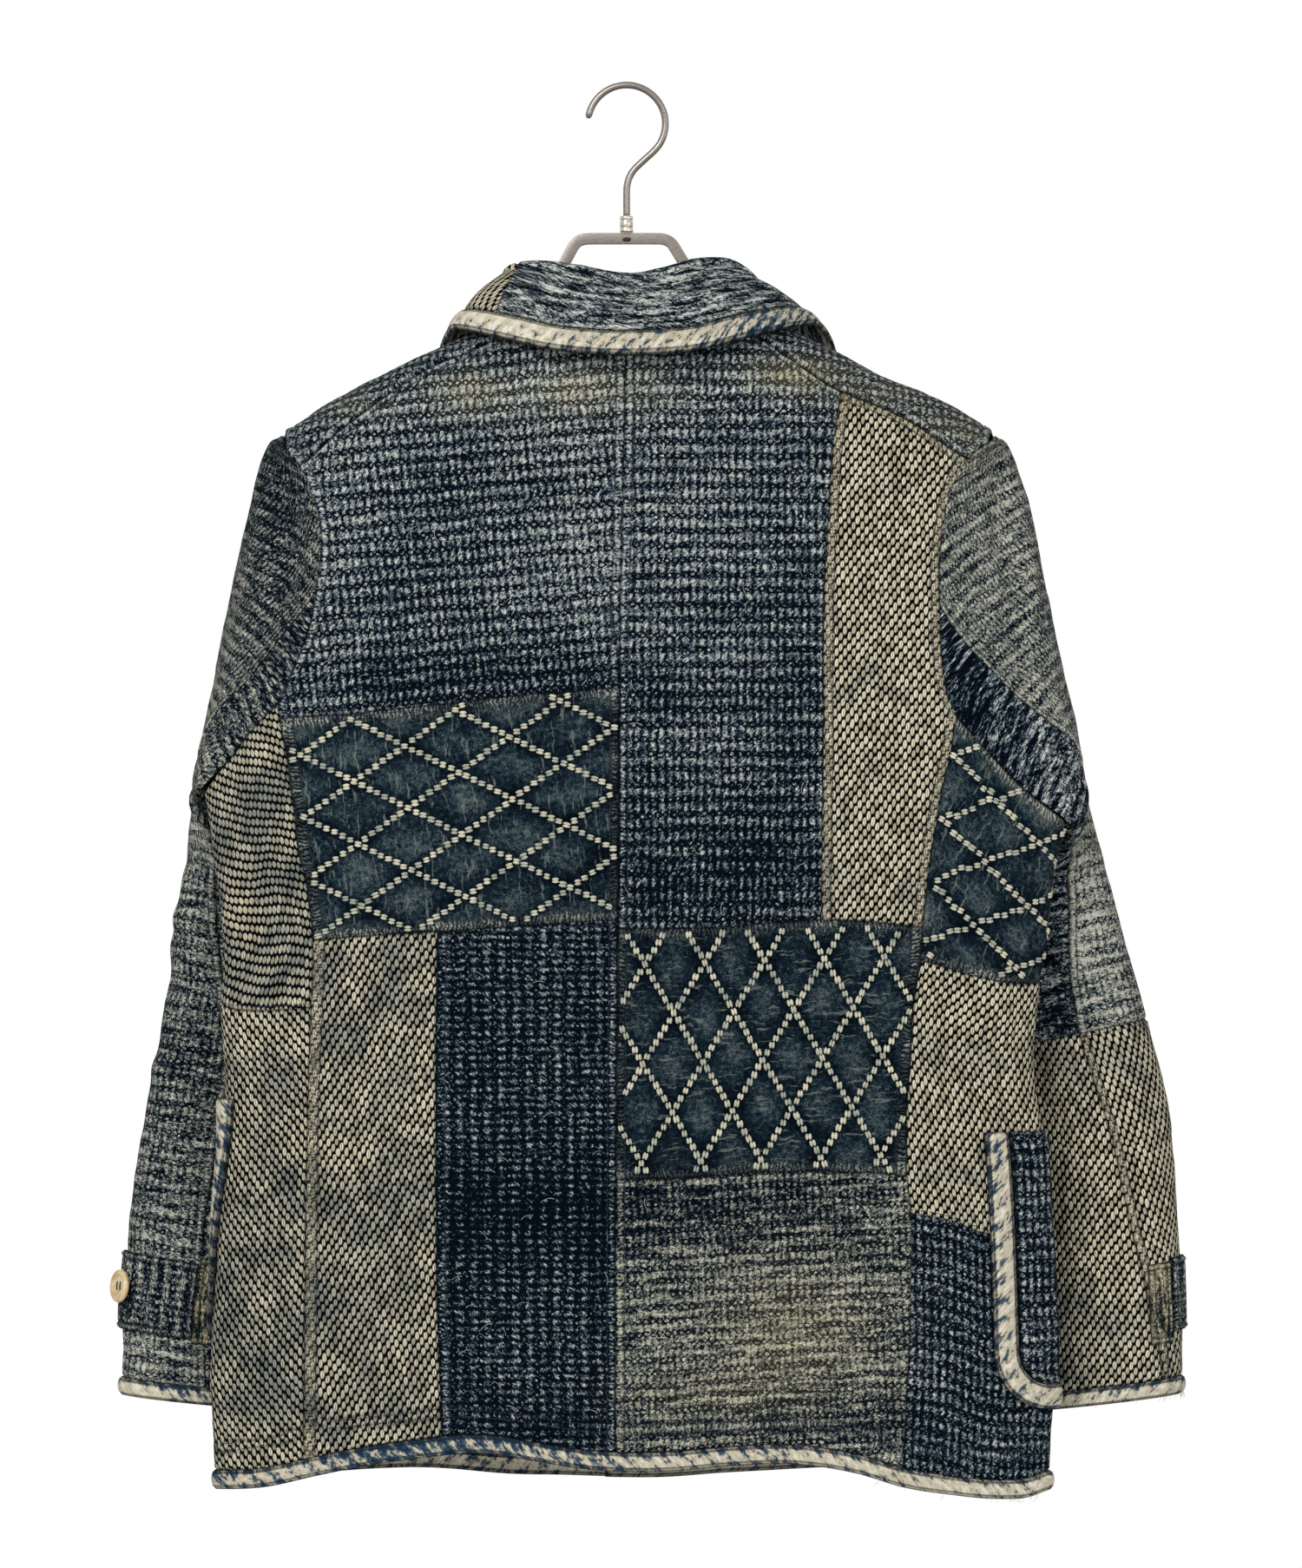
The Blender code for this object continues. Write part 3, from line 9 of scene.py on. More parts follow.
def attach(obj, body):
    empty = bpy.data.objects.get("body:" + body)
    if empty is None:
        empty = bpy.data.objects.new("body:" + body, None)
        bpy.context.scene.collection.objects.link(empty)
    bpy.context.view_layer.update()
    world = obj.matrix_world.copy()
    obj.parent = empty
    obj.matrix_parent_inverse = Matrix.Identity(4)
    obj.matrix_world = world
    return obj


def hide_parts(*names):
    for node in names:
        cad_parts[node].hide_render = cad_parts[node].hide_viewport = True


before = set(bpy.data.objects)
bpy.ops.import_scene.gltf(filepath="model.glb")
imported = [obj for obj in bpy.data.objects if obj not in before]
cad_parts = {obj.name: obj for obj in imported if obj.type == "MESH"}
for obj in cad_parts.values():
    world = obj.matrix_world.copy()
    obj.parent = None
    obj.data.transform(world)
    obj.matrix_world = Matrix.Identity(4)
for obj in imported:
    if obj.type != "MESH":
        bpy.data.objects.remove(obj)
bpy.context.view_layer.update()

# A patched boro jacket hung on a flat steel hanger. Tables are in millimetres, with the inside top of the
# hook at 0; -x is the wearer's left and -y the jacket's back. Each cloth piece is a thin closed shell.

print("stage: studio")
studio = {
    "cameraPlace": (16.1, -6000.0, -460.9), "lens": 208.0, "sensor": 36.0, "farthest": 60,
    "keyPlace": (-1500, -3400, 1500), "keySize": 2.2, "keyWatts": 100.0,
    "fillPlace": (2300, -3200, 300), "fillSize": 2.6, "fillWatts": 34.0,
    "backPlace": (400, 3000, 900), "backSize": 2.6, "backWatts": 50.0,
    "skyLight": 0.32, "paper": 0.86, "paperRoughness": 0.9, "jacketMiddle": (0, 0, -460),
    "floorHeight": -1420, "floorFront": -5000, "floorBack": 2000, "floorHalf": 4200,
}
mm = 0.001


def aim(item, place, target=studio["jacketMiddle"]):
    item.location = Vector(place) * mm
    item.rotation_euler = (Vector(target) * mm - item.location).to_track_quat("-Z", "Y").to_euler()
    bpy.context.scene.collection.objects.link(item)


camera = bpy.data.objects.new("camera", bpy.data.cameras.new("camera"))
camera.data.lens, camera.data.sensor_width = studio["lens"], studio["sensor"]
camera.data.clip_end = studio["farthest"]
aim(camera, studio["cameraPlace"], (studio["cameraPlace"][0], 0, studio["cameraPlace"][2]))
bpy.context.scene.camera = camera
for name in ("key", "fill", "back"):
    lamp = bpy.data.lights.new(name + "Lamp", "AREA")
    lamp.energy, lamp.size = studio[name + "Watts"], studio[name + "Size"]
    aim(bpy.data.objects.new(name + "Lamp", lamp), studio[name + "Place"])
bpy.context.scene.view_settings.view_transform = "Standard"


def whiteForCamera(tree, shader, sink):
    # the ground reads as plain white to the eye and in metal, and only lights the rest softly
    path, mix, white = (tree.nodes.new(kind) for kind in
                        ("ShaderNodeLightPath", "ShaderNodeMixShader", "ShaderNodeBackground"))
    white.inputs["Color"].default_value = (1, 1, 1, 1)
    white.inputs["Strength"].default_value = 1.0
    either = None
    for ray in ("Is Camera Ray", "Is Glossy Ray", "Is Transmission Ray"):
        here = Wire(tree, path.outputs[ray])
        either = here.most(either) if either else here
    tree.links.new(either.socket, mix.inputs[0])
    tree.links.new(shader, mix.inputs[1])
    tree.links.new(white.outputs[0], mix.inputs[2])
    tree.links.new(mix.outputs[0], sink)


print("stage: shader helpers")


def srgb(red, green, blue):
    # a colour as it reads on a shade card, 0 to 255, in linear light
    parts = [part / 255 for part in (red, green, blue)]
    return tuple(p / 12.92 if p <= 0.04045 else ((p + 0.055) / 1.055) ** 2.4 for p in parts) + (1.0,)


class Wire:
    # one value in a node tree, so that a sum can be written as a sum
    def __init__(self, tree, socket):
        self.tree, self.socket = tree, socket

    def op(self, kind, *others):
        node = self.tree.nodes.new("ShaderNodeMath")
        node.operation = kind
        for slot, item in zip(node.inputs, (self, *others)):
            feed(self.tree, item, slot)
        return Wire(self.tree, node.outputs[0])

    def __add__(self, other):
        return self.op("ADD", other)

    def __sub__(self, other):
        return self.op("SUBTRACT", other)

    def __mul__(self, other):
        return self.op("MULTIPLY", other)

    def __truediv__(self, other):
        return self.op("DIVIDE", other)

    def fract(self):
        return self.op("FRACT")

    def floor(self):
        return self.op("FLOOR")

    def abs(self):
        return self.op("ABSOLUTE")

    def most(self, other):
        return self.op("MAXIMUM", other)

    def least(self, other):
        return self.op("MINIMUM", other)

    def smooth(self, low, high):
        # 0 below low, 1 above high, and a soft step between them; low above high turns it round
        node = self.tree.nodes.new("ShaderNodeMapRange")
        node.interpolation_type = "SMOOTHSTEP"
        turned = low > high
        ends = (high, low) if turned else (low, high)
        for name, item in zip(("Value", "From Min", "From Max", "To Min", "To Max"),
                              (self, *ends, float(turned), float(not turned))):
            feed(self.tree, item, node.inputs[name])
        return Wire(self.tree, node.outputs[0])


def feed(tree, item, slot):
    # a wire is linked, a plain value is set
    if isinstance(item, Wire):
        tree.links.new(item.socket, slot)
    else:
        slot.default_value = item


def vector(tree, x, y, z=0.0):
    node = tree.nodes.new("ShaderNodeCombineXYZ")
    for slot, item in zip(node.inputs, (x, y, z)):
        feed(tree, item, slot)
    return Wire(tree, node.outputs[0])


def split(tree, place):
    node = tree.nodes.new("ShaderNodeSeparateXYZ")
    feed(tree, place, node.inputs[0])
    return [Wire(tree, out) for out in node.outputs]


def noise(tree, x, y, seed=0.0, detail=2.0, roughness=0.55):
    # cloudy noise, about 0.5, one cloud to a unit of x and y
    node = tree.nodes.new("ShaderNodeTexNoise")
    feed(tree, vector(tree, x, y, seed), node.inputs["Vector"])
    for name, item in (("Scale", 1.0), ("Detail", detail), ("Roughness", roughness)):
        node.inputs[name].default_value = item
    return Wire(tree, node.outputs[0])


def chance(tree, x, y, seed=0.0):
    # a random value for each cell
    node = tree.nodes.new("ShaderNodeTexWhiteNoise")
    feed(tree, vector(tree, x, y, seed), node.inputs["Vector"])
    return Wire(tree, node.outputs["Value"])


def blend(tree, share, first, second, way="MIX"):
    # first where the share is 0, second where it is 1
    node = tree.nodes.new("ShaderNodeMix")
    node.data_type, node.blend_type = "RGBA", way
    for name, item in (("Factor_Float", share), ("A_Color", first), ("B_Color", second)):
        slot = next(s for s in node.inputs if s.identifier == name)
        feed(tree, item, slot)
    return Wire(tree, next(s for s in node.outputs if s.identifier == "Result_Color"))


def newGroup(name, inputs):
    # a weave's node group: its inputs with their usual values, and a colour and a height out of it
    tree = bpy.data.node_groups.new(name, "ShaderNodeTree")
    for label, start in inputs.items():
        kind = "Float" if isinstance(start, float) else "Color" if len(start) == 4 else "Vector"
        socket = tree.interface.new_socket(label, in_out="INPUT", socket_type="NodeSocket" + kind)
        socket.default_value = start
    for label, kind in (("Colour", "Color"), ("Height", "Float")):
        tree.interface.new_socket(label, in_out="OUTPUT", socket_type="NodeSocket" + kind)
    source, sink = tree.nodes.new("NodeGroupInput"), tree.nodes.new("NodeGroupOutput")
    got = {out.name: Wire(tree, out) for out in source.outputs if out.name}
    return tree, got, sink


def finished(tree, sink, colour, height):
    tree.links.new(colour.socket, sink.inputs["Colour"])
    tree.links.new(height.socket, sink.inputs["Height"])
    return tree


def seamRibs(tree, x, y, ribsUp, ribsAcross):
    # the small puckers that topstitching pulls into a seam, as a height from 0 to 1
    sway = noise(tree, x * 0.12, y * 0.12, 7.0, 1.0) * 8.0 + noise(tree, x / 2.4, y / 2.4, 3.0, 1.0) * 2.2
    up = ((y + sway) * 2.3).op("SINE") * 0.5 + 0.5
    across = ((x + sway) * 2.3).op("SINE") * 0.5 + 0.5
    return up * ribsUp + across * ribsAcross


world = bpy.data.worlds.new("studio")
bpy.context.scene.world = world
world.use_nodes = True
sky = world.node_tree.nodes["Background"]
sky.inputs["Color"].default_value = (1, 1, 1, 1)
sky.inputs["Strength"].default_value = studio["skyLight"]
whiteForCamera(world.node_tree, sky.outputs[0], world.node_tree.nodes["World Output"].inputs["Surface"])
half, near, far, level = (studio[k] * mm for k in ("floorHalf", "floorFront", "floorBack", "floorHeight"))
floorMesh = bpy.data.meshes.new("floor")
floorMesh.from_pydata([(-half, near, level), (half, near, level), (half, far, level), (-half, far, level)],
                      [], [(0, 1, 2, 3)])
floor = bpy.data.objects.new("floor", floorMesh)
bpy.context.scene.collection.objects.link(floor)
paper = bpy.data.materials.new("paper")
paper.use_nodes = True
paperShader = paper.node_tree.nodes["Principled BSDF"]
paperShader.inputs["Base Color"].default_value = (*[studio["paper"]] * 3, 1)
paperShader.inputs["Roughness"].default_value = studio["paperRoughness"]
floorMesh.materials.append(paper)


print("stage: cloths")


def riceGroup():
    # indigo cloth darned in rows: chains of small dark rings with a pale bead in each, and pale slubs between
    tree, got, sink = newGroup("riceCloth", {
        "Place": (0.0, 0.0, 0.0), "Worn": 0.5, "Ribs Up": 0.0, "Ribs Across": 0.0, "Ring Pitch": 5.2,
        "Row Pitch": 9.8, "Seed": 0.0, "Streaks": 0.5, "Crepe": 0.0, "Dark": srgb(1, 8, 17),
        "Mid": srgb(27, 48, 67), "Pale": srgb(116, 133, 139), "Light": srgb(206, 211, 203),
    })
    x, y, _ = split(tree, got["Place"])
    seed, worn = got["Seed"], got["Worn"]
    wander = noise(tree, x / 34.0, y / 26.0, seed, 2.0) - 0.5
    wobble = noise(tree, x / 5.0, y / 5.0, seed + 3.0, 2.0) - 0.5
    fine = noise(tree, x / 1.5, y / 1.3, seed + 12.0, 1.0) - 0.5
    lump = noise(tree, x / 3.1, y / 2.9, seed + 16.0, 1.0) - 0.5
    warpY = y + wander * 5.0 + wobble * 3.2
    warpX = x + (noise(tree, x / 28.0, y / 40.0, seed + 5.0, 2.0) - 0.5) * 3.5 + wobble * -2.6
    rowAt = warpY / got["Row Pitch"]
    row = rowAt.floor()
    dy = (rowAt.fract() - 0.5) * got["Row Pitch"]
    colAt = warpX / got["Ring Pitch"]
    ringAt = colAt + chance(tree, row, 0.0, seed) * 0.7
    ringNo = ringAt.floor()
    dx = (ringAt.fract() - 0.5) * got["Ring Pitch"]
    size = chance(tree, ringNo, row, seed + 1.0)
    runs = noise(tree, ringNo / 4.0, row / 1.6, seed + 2.0, 2.0)
    ringOn = (chance(tree, ringNo, row, seed + 4.0) * 0.6 + runs * 2.0).smooth(1.0, 1.2)
    r = (dx * dx * 0.62 + dy * dy * 1.1).op("SQRT") - size * 0.3 + fine * 0.9
    ring = (r - 1.45).abs().smooth(0.62, 0.22) * (ringOn * 0.85 + 0.15)
    bead = r.smooth(1.1, 0.5) * ringOn
    # between the rings, blobs of the pale weft in columns, cut by slanting slashes, and fine crevices painted
    # dark as shade
    slant = noise(tree, (x - y * 0.62) / 2.0, (y + x * 0.35) / 4.6, seed + 11.0, 1.0) - 0.5
    fibre = noise(tree, (x - y * 0.8) / 1.05, (y + x * 0.4) / 4.2, seed + 17.0, 1.0) - 0.5
    sway = noise(tree, x / 3.0, y / 3.0, seed + 13.0, 1.0) * 2.4
    bx = (colAt.fract() - 0.5) * got["Ring Pitch"]
    by = dy.abs() - got["Row Pitch"] * 0.5
    blob = ((bx * bx / 2.3 + by * by / 13.0) * -1.0 + 1.0).most(-1.4)
    billow = noise(tree, x / 19.0, (y + wobble * 3.0) / 4.0, seed + 18.0, 2.0) - 0.5
    # painted shade: the crepe's thin crease lines, darker as well as lower
    fold = (noise(tree, x / 6.5, y / 2.6, seed + 19.0, 2.0) - 0.5).abs().smooth(0.05, 0.008)
    slash = ((colAt * 2.0 - by * 0.26 + sway) * 6.2832).op("COSINE").smooth(0.3, 0.95)
    creviceShade = (noise(tree, x / 2.3, y / 1.5, seed + 14.0, 2.0) - 0.5).abs().smooth(0.05, 0.008)
    dash = (dy.abs() - 2.0).abs().smooth(0.7, 0.2)
    dash = dash * noise(tree, x / 4.5, row, seed + 15.0, 1.0).smooth(0.44, 0.56)
    streak = noise(tree, x / 52.0, y / 4.6, seed + 21.0, 3.0, 0.6)
    broad = noise(tree, x / 120.0, y / 30.0, seed + 25.0, 2.0)
    cloud = noise(tree, x / 30.0, y / 30.0, seed + 31.0, 3.0)
    fade = worn + (streak - 0.5) * got["Streaks"] * 1.5 + (broad - 0.5) * 0.35 + (cloud - 0.5) * 0.45
    crepe, woven = got["Crepe"], got["Crepe"] * -0.75 + 1.0
    tone = fade * 0.9 + 0.27 + slant * woven * 1.5 + lump * 1.2 + fine * 0.6 + fibre * woven * 1.1
    # painted shade: the fine crevices darken the tone
    tone = tone + blob * woven * 0.24 - slash * 0.22 - creviceShade * (crepe * -0.25 + 0.58) - dash * woven * 0.26
    # on crepe cloth, the crease lines are painted darker as shade
    tone = tone - ring * woven * 0.62 + bead * woven * 0.3 + crepe * (billow * 3.6 - fold * 0.6)
    tone = (tone - 0.5) * 1.22 + 0.53
    puckers = seamRibs(tree, x, y, got["Ribs Up"], got["Ribs Across"])
    seamed = (got["Ribs Up"] + got["Ribs Across"]).least(1.0)
    tone = tone * (seamed * -0.4 + 1.0) + seamed * (puckers * 0.55 + fade * 0.35 - 0.12 + lump * 0.5)
    colour = blend(tree, tone.smooth(0.0, 0.36), got["Dark"], got["Mid"])
    colour = blend(tree, tone.smooth(0.28, 0.70), colour, got["Pale"])
    colour = blend(tree, tone.smooth(0.62, 1.10), colour, got["Light"])
    height = (tone.most(0.0).least(1.2) + by.abs() * -0.06) * (seamed * -0.5 + 1.0) + puckers * 0.7
    height = height + crepe * (billow * 1.2 - fold * 0.5)
    return finished(tree, sink, colour, height)


def dobbyGroup():
    # cream floats in a brick lattice over black indigo, each float painted darker toward its edges as shade
    tree, got, sink = newGroup("dobbyCloth", {
        "Place": (0.0, 0.0, 0.0), "Worn": 0.5, "Ribs Up": 0.0, "Ribs Across": 0.0, "Column Pitch": 2.82,
        "Float Pitch": 7.2, "Seed": 0.0, "Stain": 0.0, "Lean": 0.12, "Gap": srgb(1, 3, 5),
        "Grey": srgb(96, 110, 112), "Cream": srgb(184, 176, 149), "Bright": srgb(240, 231, 201),
        "Yellow": srgb(196, 176, 126),
    })
    x, y, _ = split(tree, got["Place"])
    seed, worn = got["Seed"], got["Worn"]
    drift = noise(tree, x / 30.0, y / 40.0, seed, 2.0) - 0.5
    wobble = noise(tree, x / 7.0, y / 9.0, seed + 2.0, 2.0) - 0.5
    warpX = x + drift * 2.2 + wobble * 1.3
    warpY = y + (noise(tree, x / 26.0, y / 30.0, seed + 4.0, 2.0) - 0.5) * 5.0 + wobble * 1.6
    colAt = warpX / got["Column Pitch"]
    best = shade = None
    for shift in (0.0, 1.0):  # the two sets of columns, half a float apart
        cell = (colAt + shift) * 0.5
        column = cell.floor()
        dx = (cell.fract() - 0.5) * got["Column Pitch"] * 2.0
        floatAt = warpY / got["Float Pitch"] + shift * 0.5 + (chance(tree, column, shift, seed) - 0.5) * 0.1
        line = floatAt.floor()
        dy = (floatAt.fract() - 0.5) * got["Float Pitch"]
        draw = chance(tree, column, line, seed + shift + 8.0)
        dx = dx - dy * got["Lean"]
        reach = draw * 0.4 + 2.64
        broad = draw * 0.25 + 1.38
        d = ((dx / broad).op("POWER", 2.0) + (dy / reach).abs().op("POWER", 2.6))
        high = (d * -1.0 + 1.0).most(0.0)
        slit = dx.abs().smooth(0.36, 0.1) * dy.abs().smooth(2.1, 1.3)
        tone = (draw * 0.42 + 0.58) * (slit * -0.85 + 1.0)
        shade = high.op("GREATER_THAN", best) * (tone - shade) + shade if best else tone
        best = high.most(best) if best else high
    cloud = noise(tree, x / 26.0, y / 34.0, seed + 15.0, 3.0, 0.6)
    thread = noise(tree, x / 1.1, y / 3.4, seed + 16.0, 2.0)
    fade = (worn + (cloud - 0.5) * 0.9).smooth(-0.05, 1.05)
    on = best.smooth(0.02, 0.3)
    cream = blend(tree, (shade + (thread - 0.5) * 0.7).smooth(0.45, 1.0), got["Cream"], got["Bright"])
    cream = blend(tree, fade.smooth(0.75, 0.1) * 0.85, cream, got["Grey"])
    cream = blend(tree, (got["Stain"] + (cloud - 0.5) * 0.5).smooth(0.1, 0.9) * 0.75, cream, got["Yellow"])
    cream = blend(tree, shade.smooth(0.52, 0.14) * 0.62, cream, got["Gap"])
    # painted shade: each float darkens toward its edges, where it rounds down into the gap
    relief = best.smooth(0.0, 0.75)
    cream = blend(tree, relief * 0.6 + 0.4, blend(tree, 0.62, cream, got["Gap"]), cream)
    puckers = seamRibs(tree, x, y, got["Ribs Up"], got["Ribs Across"])
    seamed = (got["Ribs Up"] + got["Ribs Across"]).least(1.0)
    colour = blend(tree, on, got["Gap"], cream)
    ridge = blend(tree, puckers.smooth(0.2, 0.8) * 0.8 + 0.1, got["Gap"], cream)
    colour = blend(tree, seamed * 0.5, colour, ridge)
    height = relief * (seamed * -0.4 + 1.0) + puckers * 0.4
    return finished(tree, sink, colour, height)


def denimGroup():
    # plain indigo under the sashiko: fine slanting twill, cloudy fading, creases that lost their dye
    tree, got, sink = newGroup("indigoDenim", {
        "Place": (0.0, 0.0, 0.0), "Worn": 0.5, "Ribs Up": 0.0, "Ribs Across": 0.0, "Seed": 0.0,
        "Crease Way": 0.0, "Dark": srgb(2, 10, 19), "Mid": srgb(38, 60, 75), "Pale": srgb(112, 124, 120),
        "Light": srgb(206, 207, 192),
    })
    x, y, _ = split(tree, got["Place"])
    seed, worn, way = got["Seed"], got["Worn"], got["Crease Way"]
    cloud = noise(tree, x / 26.0, y / 22.0, seed, 3.0, 0.6)
    mottle = noise(tree, x / 3.2, y / 3.2, seed + 4.0, 3.0, 0.65)
    twill = ((x * 0.8 + y * 1.0) * 5.2).op("SINE") * 0.5 + 0.5
    grain = noise(tree, (x + y * 0.9) / 0.7, (y - x * 0.5) / 1.8, seed + 6.0, 2.0)
    bend = (noise(tree, x / 11.0, y / 11.0, seed + 8.0, 2.0) - 0.5) * 7.0
    across = x * (way * -1.0 + 1.0) + y * way + bend
    along = y * (way * -1.0 + 1.0) + x * way
    lines = noise(tree, across / 2.7, along / 20.0, seed + 9.0, 2.0, 0.6)
    lost = lines.smooth(0.57, 0.67)
    crackle = (noise(tree, x / 1.3, y / 1.3, seed + 12.0, 2.0) - 0.5).abs().smooth(0.07, 0.01)
    fade = worn + (cloud - 0.5) * 1.1 + (mottle - 0.5) * 1.2 - crackle * 0.42 + 0.05
    colour = blend(tree, fade.smooth(0.05, 0.8), got["Dark"], got["Mid"])
    paler = (fade + grain * 0.5 + lost * 0.62 - 0.27).smooth(0.42, 1.0)
    colour = blend(tree, paler * 0.9, colour, got["Pale"])
    lightest = (fade + lost * 0.2 + (grain - 0.5) * 0.7).smooth(0.92, 1.45)
    colour = blend(tree, lightest * 0.95, colour, got["Light"])
    colour = blend(tree, twill * 0.2, colour, got["Dark"])
    puckers = seamRibs(tree, x, y, got["Ribs Up"], got["Ribs Across"])
    seamed = (got["Ribs Up"] + got["Ribs Across"]).least(1.0)
    ribbed = (puckers + (mottle - 0.5) * 1.2).smooth(0.3, 0.8)
    ridge = blend(tree, ribbed * (fade * 1.3 - 0.1).most(0.0).least(1.0), got["Dark"], got["Pale"])
    ridge = blend(tree, ribbed * fade.smooth(0.6, 1.1), ridge, got["Light"])
    colour = blend(tree, seamed * 0.8, colour, ridge)
    height = lost * 0.8 + mottle * 0.8 + twill * 0.1 + grain * 0.35 + puckers * 0.8 - crackle * 0.3
    return finished(tree, sink, colour, height)


def tapeGroup():
    # bias tape folded over the edge: slanting puckers that lost their dye, blue left between them
    tree, got, sink = newGroup("biasTape", {
        "Place": (0.0, 0.0, 0.0), "Worn": 0.5, "Seed": 0.0, "Width": 12.0, "Blue": srgb(64, 86, 106),
        "Deep": srgb(22, 40, 56), "Cream": srgb(196, 188, 165), "White": srgb(228, 222, 204),
    })
    x, y, _ = split(tree, got["Place"])
    seed, worn = got["Seed"], got["Worn"]
    sway = (noise(tree, x / 14.0, y / 9.0, seed, 2.0) - 0.5) * 7.0
    slope = x + y * 0.9 + sway
    rope = (slope * 6.2832 / 12.6).op("SINE") * 0.5 + 0.5
    inward = (y / got["Width"] + 1.0).smooth(0.15, 0.95)
    rim = (y * -1.0).least(y + got["Width"])
    stitched = (rim - 1.9).abs().smooth(0.75, 0.25)
    small = (slope * 6.2832 / 3.4 + sway).op("SINE") * 0.5 + 0.5
    cloud = noise(tree, x / 60.0, y / 20.0, seed + 3.0, 3.0, 0.6)
    mottle = noise(tree, (x + y * 0.7) / 3.0, (y - x * 0.4) / 5.0, seed + 5.0, 2.0, 0.6)
    grain = noise(tree, (x + y) / 0.6, (y - x) / 1.6, seed + 7.0, 1.0)
    marks = ((rope - 0.5) * 0.42 + (mottle - 0.5) * 2.3) * (inward * 0.4 + 0.6)
    fade = worn + (cloud - 0.5) * 1.3 + marks * 1.25 - rim.smooth(4.2, 1.4) * 0.2 + (small - 0.5) * 0.12
    fade = fade - inward * 0.14
    colour = blend(tree, fade.smooth(0.1, 0.5), got["Blue"], got["Cream"])
    colour = blend(tree, (fade + grain * 0.3 - 0.15).smooth(0.6, 1.15), colour, got["White"])
    colour = blend(tree, fade.smooth(0.15, -0.2) * 0.85, colour, got["Deep"])
    colour = blend(tree, stitched * 0.6, colour, got["Deep"])
    height = rope * 0.6 + small * 0.2 + fade.smooth(0.1, 0.5) * 0.8 + grain * 0.1 - stitched * 0.8
    return finished(tree, sink, colour, height)


groups = {"rice": riceGroup(), "dobby": dobbyGroup(), "denim": denimGroup(), "tape": tapeGroup()}
clothLooks = {
    "gloss": 0.04, "sheen": 0.01, "sheenRoughness": 0.5, "roughness": 0.95,
    # the navy of the seam grooves is painted shade, partly the dark seam line itself
    "stainTint": srgb(244, 224, 182), "stainYellow": srgb(214, 192, 146), "grooveShade": srgb(8, 16, 26),
}


def clothMaterial(name, kind, bump, **values):
    # one cloth: its weave by kind, with the wear, stains and painted shade in the seam grooves that its piece
    # carries
    finish = bpy.data.materials.new(name)
    finish.use_nodes = True
    tree = finish.node_tree
    shader = tree.nodes["Principled BSDF"]
    group = tree.nodes.new("ShaderNodeGroup")
    group.node_tree = groups[kind]
    place = tree.nodes.new("ShaderNodeUVMap")
    place.uv_map = "cloth"
    tree.links.new(place.outputs[0], group.inputs["Place"])
    got = {}
    # the worn attribute holds wear, with painted shade along the sashiko rows and by the armholes
    for label, socket in (("worn", "Worn"), ("ribsUp", "Ribs Up"), ("ribsAcross", "Ribs Across"),
                          ("stain", "Stain"), ("grooveShade", "Groove")):
        item = tree.nodes.new("ShaderNodeAttribute")
        item.attribute_name = label
        got[label] = Wire(tree, item.outputs["Fac"])
        if socket in group.inputs:
            tree.links.new(item.outputs["Fac"], group.inputs[socket])
    for label, item in values.items():
        group.inputs[label.replace("_", " ")].default_value = item
    colour = Wire(tree, group.outputs["Colour"])
    if kind != "dobby":  # the cream weave colours its own stains
        stained = blend(tree, 1.0, colour, clothLooks["stainTint"], "MULTIPLY")
        yellow = blend(tree, 0.14, stained, clothLooks["stainYellow"])
        colour = blend(tree, got["stain"].least(1.0).most(0.0) * 0.7, colour, yellow)
    # painted shade: the colour darkens to navy in the seam grooves, partly the dark seam line itself
    colour = blend(tree, got["grooveShade"] * 0.85, colour, clothLooks["grooveShade"])
    tree.links.new(colour.socket, shader.inputs["Base Color"])
    raised = tree.nodes.new("ShaderNodeBump")
    raised.inputs["Strength"].default_value = 1.0
    raised.inputs["Distance"].default_value = bump
    tree.links.new(group.outputs["Height"], raised.inputs["Height"])
    tree.links.new(raised.outputs[0], shader.inputs["Normal"])
    shader.inputs["Roughness"].default_value = clothLooks["roughness"]
    shader.inputs["Specular IOR Level"].default_value = clothLooks["gloss"]
    shader.inputs["Sheen Weight"].default_value = clothLooks["sheen"]
    shader.inputs["Sheen Roughness"].default_value = clothLooks["sheenRoughness"]
    return finish


fabrics = {
    "boro": clothMaterial("boroCloth", "rice", 0.0012),
    "boroSleeve": clothMaterial("boroSleeveCloth", "rice", 0.0012, Streaks=0.62, Row_Pitch=9.5, Seed=5.0,
                                Crepe=0.45, Pale=srgb(122, 131, 127), Light=srgb(204, 203, 188)),
    "boroCollar": clothMaterial("boroCollarCloth", "rice", 0.0014, Row_Pitch=8.4, Seed=3.0, Crepe=1.0),
    "boroDark": clothMaterial("darkBoroCloth", "rice", 0.0012, Row_Pitch=9.1, Ring_Pitch=5.25, Seed=9.0,
                              Streaks=0.22),
    "boroPale": clothMaterial("paleBoroCloth", "rice", 0.0012, Row_Pitch=8.5, Ring_Pitch=4.6, Seed=14.0,
                              Streaks=0.75, Crepe=0.35, Pale=srgb(122, 128, 120), Light=srgb(204, 202, 182)),
    "boroSoft": clothMaterial("softDarkBoroCloth", "rice", 0.0012, Row_Pitch=9.1, Ring_Pitch=5.25, Seed=9.0,
                              Streaks=0.3, Crepe=0.9),
    "strip": clothMaterial("fadedStrip", "rice", 0.0008, Streaks=0.25, Crepe=0.9, Seed=21.0,
                           Dark=srgb(18, 28, 34), Mid=srgb(84, 90, 80), Pale=srgb(146, 141, 115),
                           Light=srgb(196, 186, 152)),
    "cream": clothMaterial("creamDobby", "dobby", 0.0012),
    "denimLeft": clothMaterial("leftPatchDenim", "denim", 0.0006, Seed=2.0, Crease_Way=0.0),
    "denimRight": clothMaterial("rightPatchDenim", "denim", 0.0007, Seed=7.0, Crease_Way=1.0),
    "tape": clothMaterial("edgeTape", "tape", 0.0010, Width=12.3),
    "tapeWide": clothMaterial("wideTape", "tape", 0.0010, Width=16.5, Seed=6.0),
}


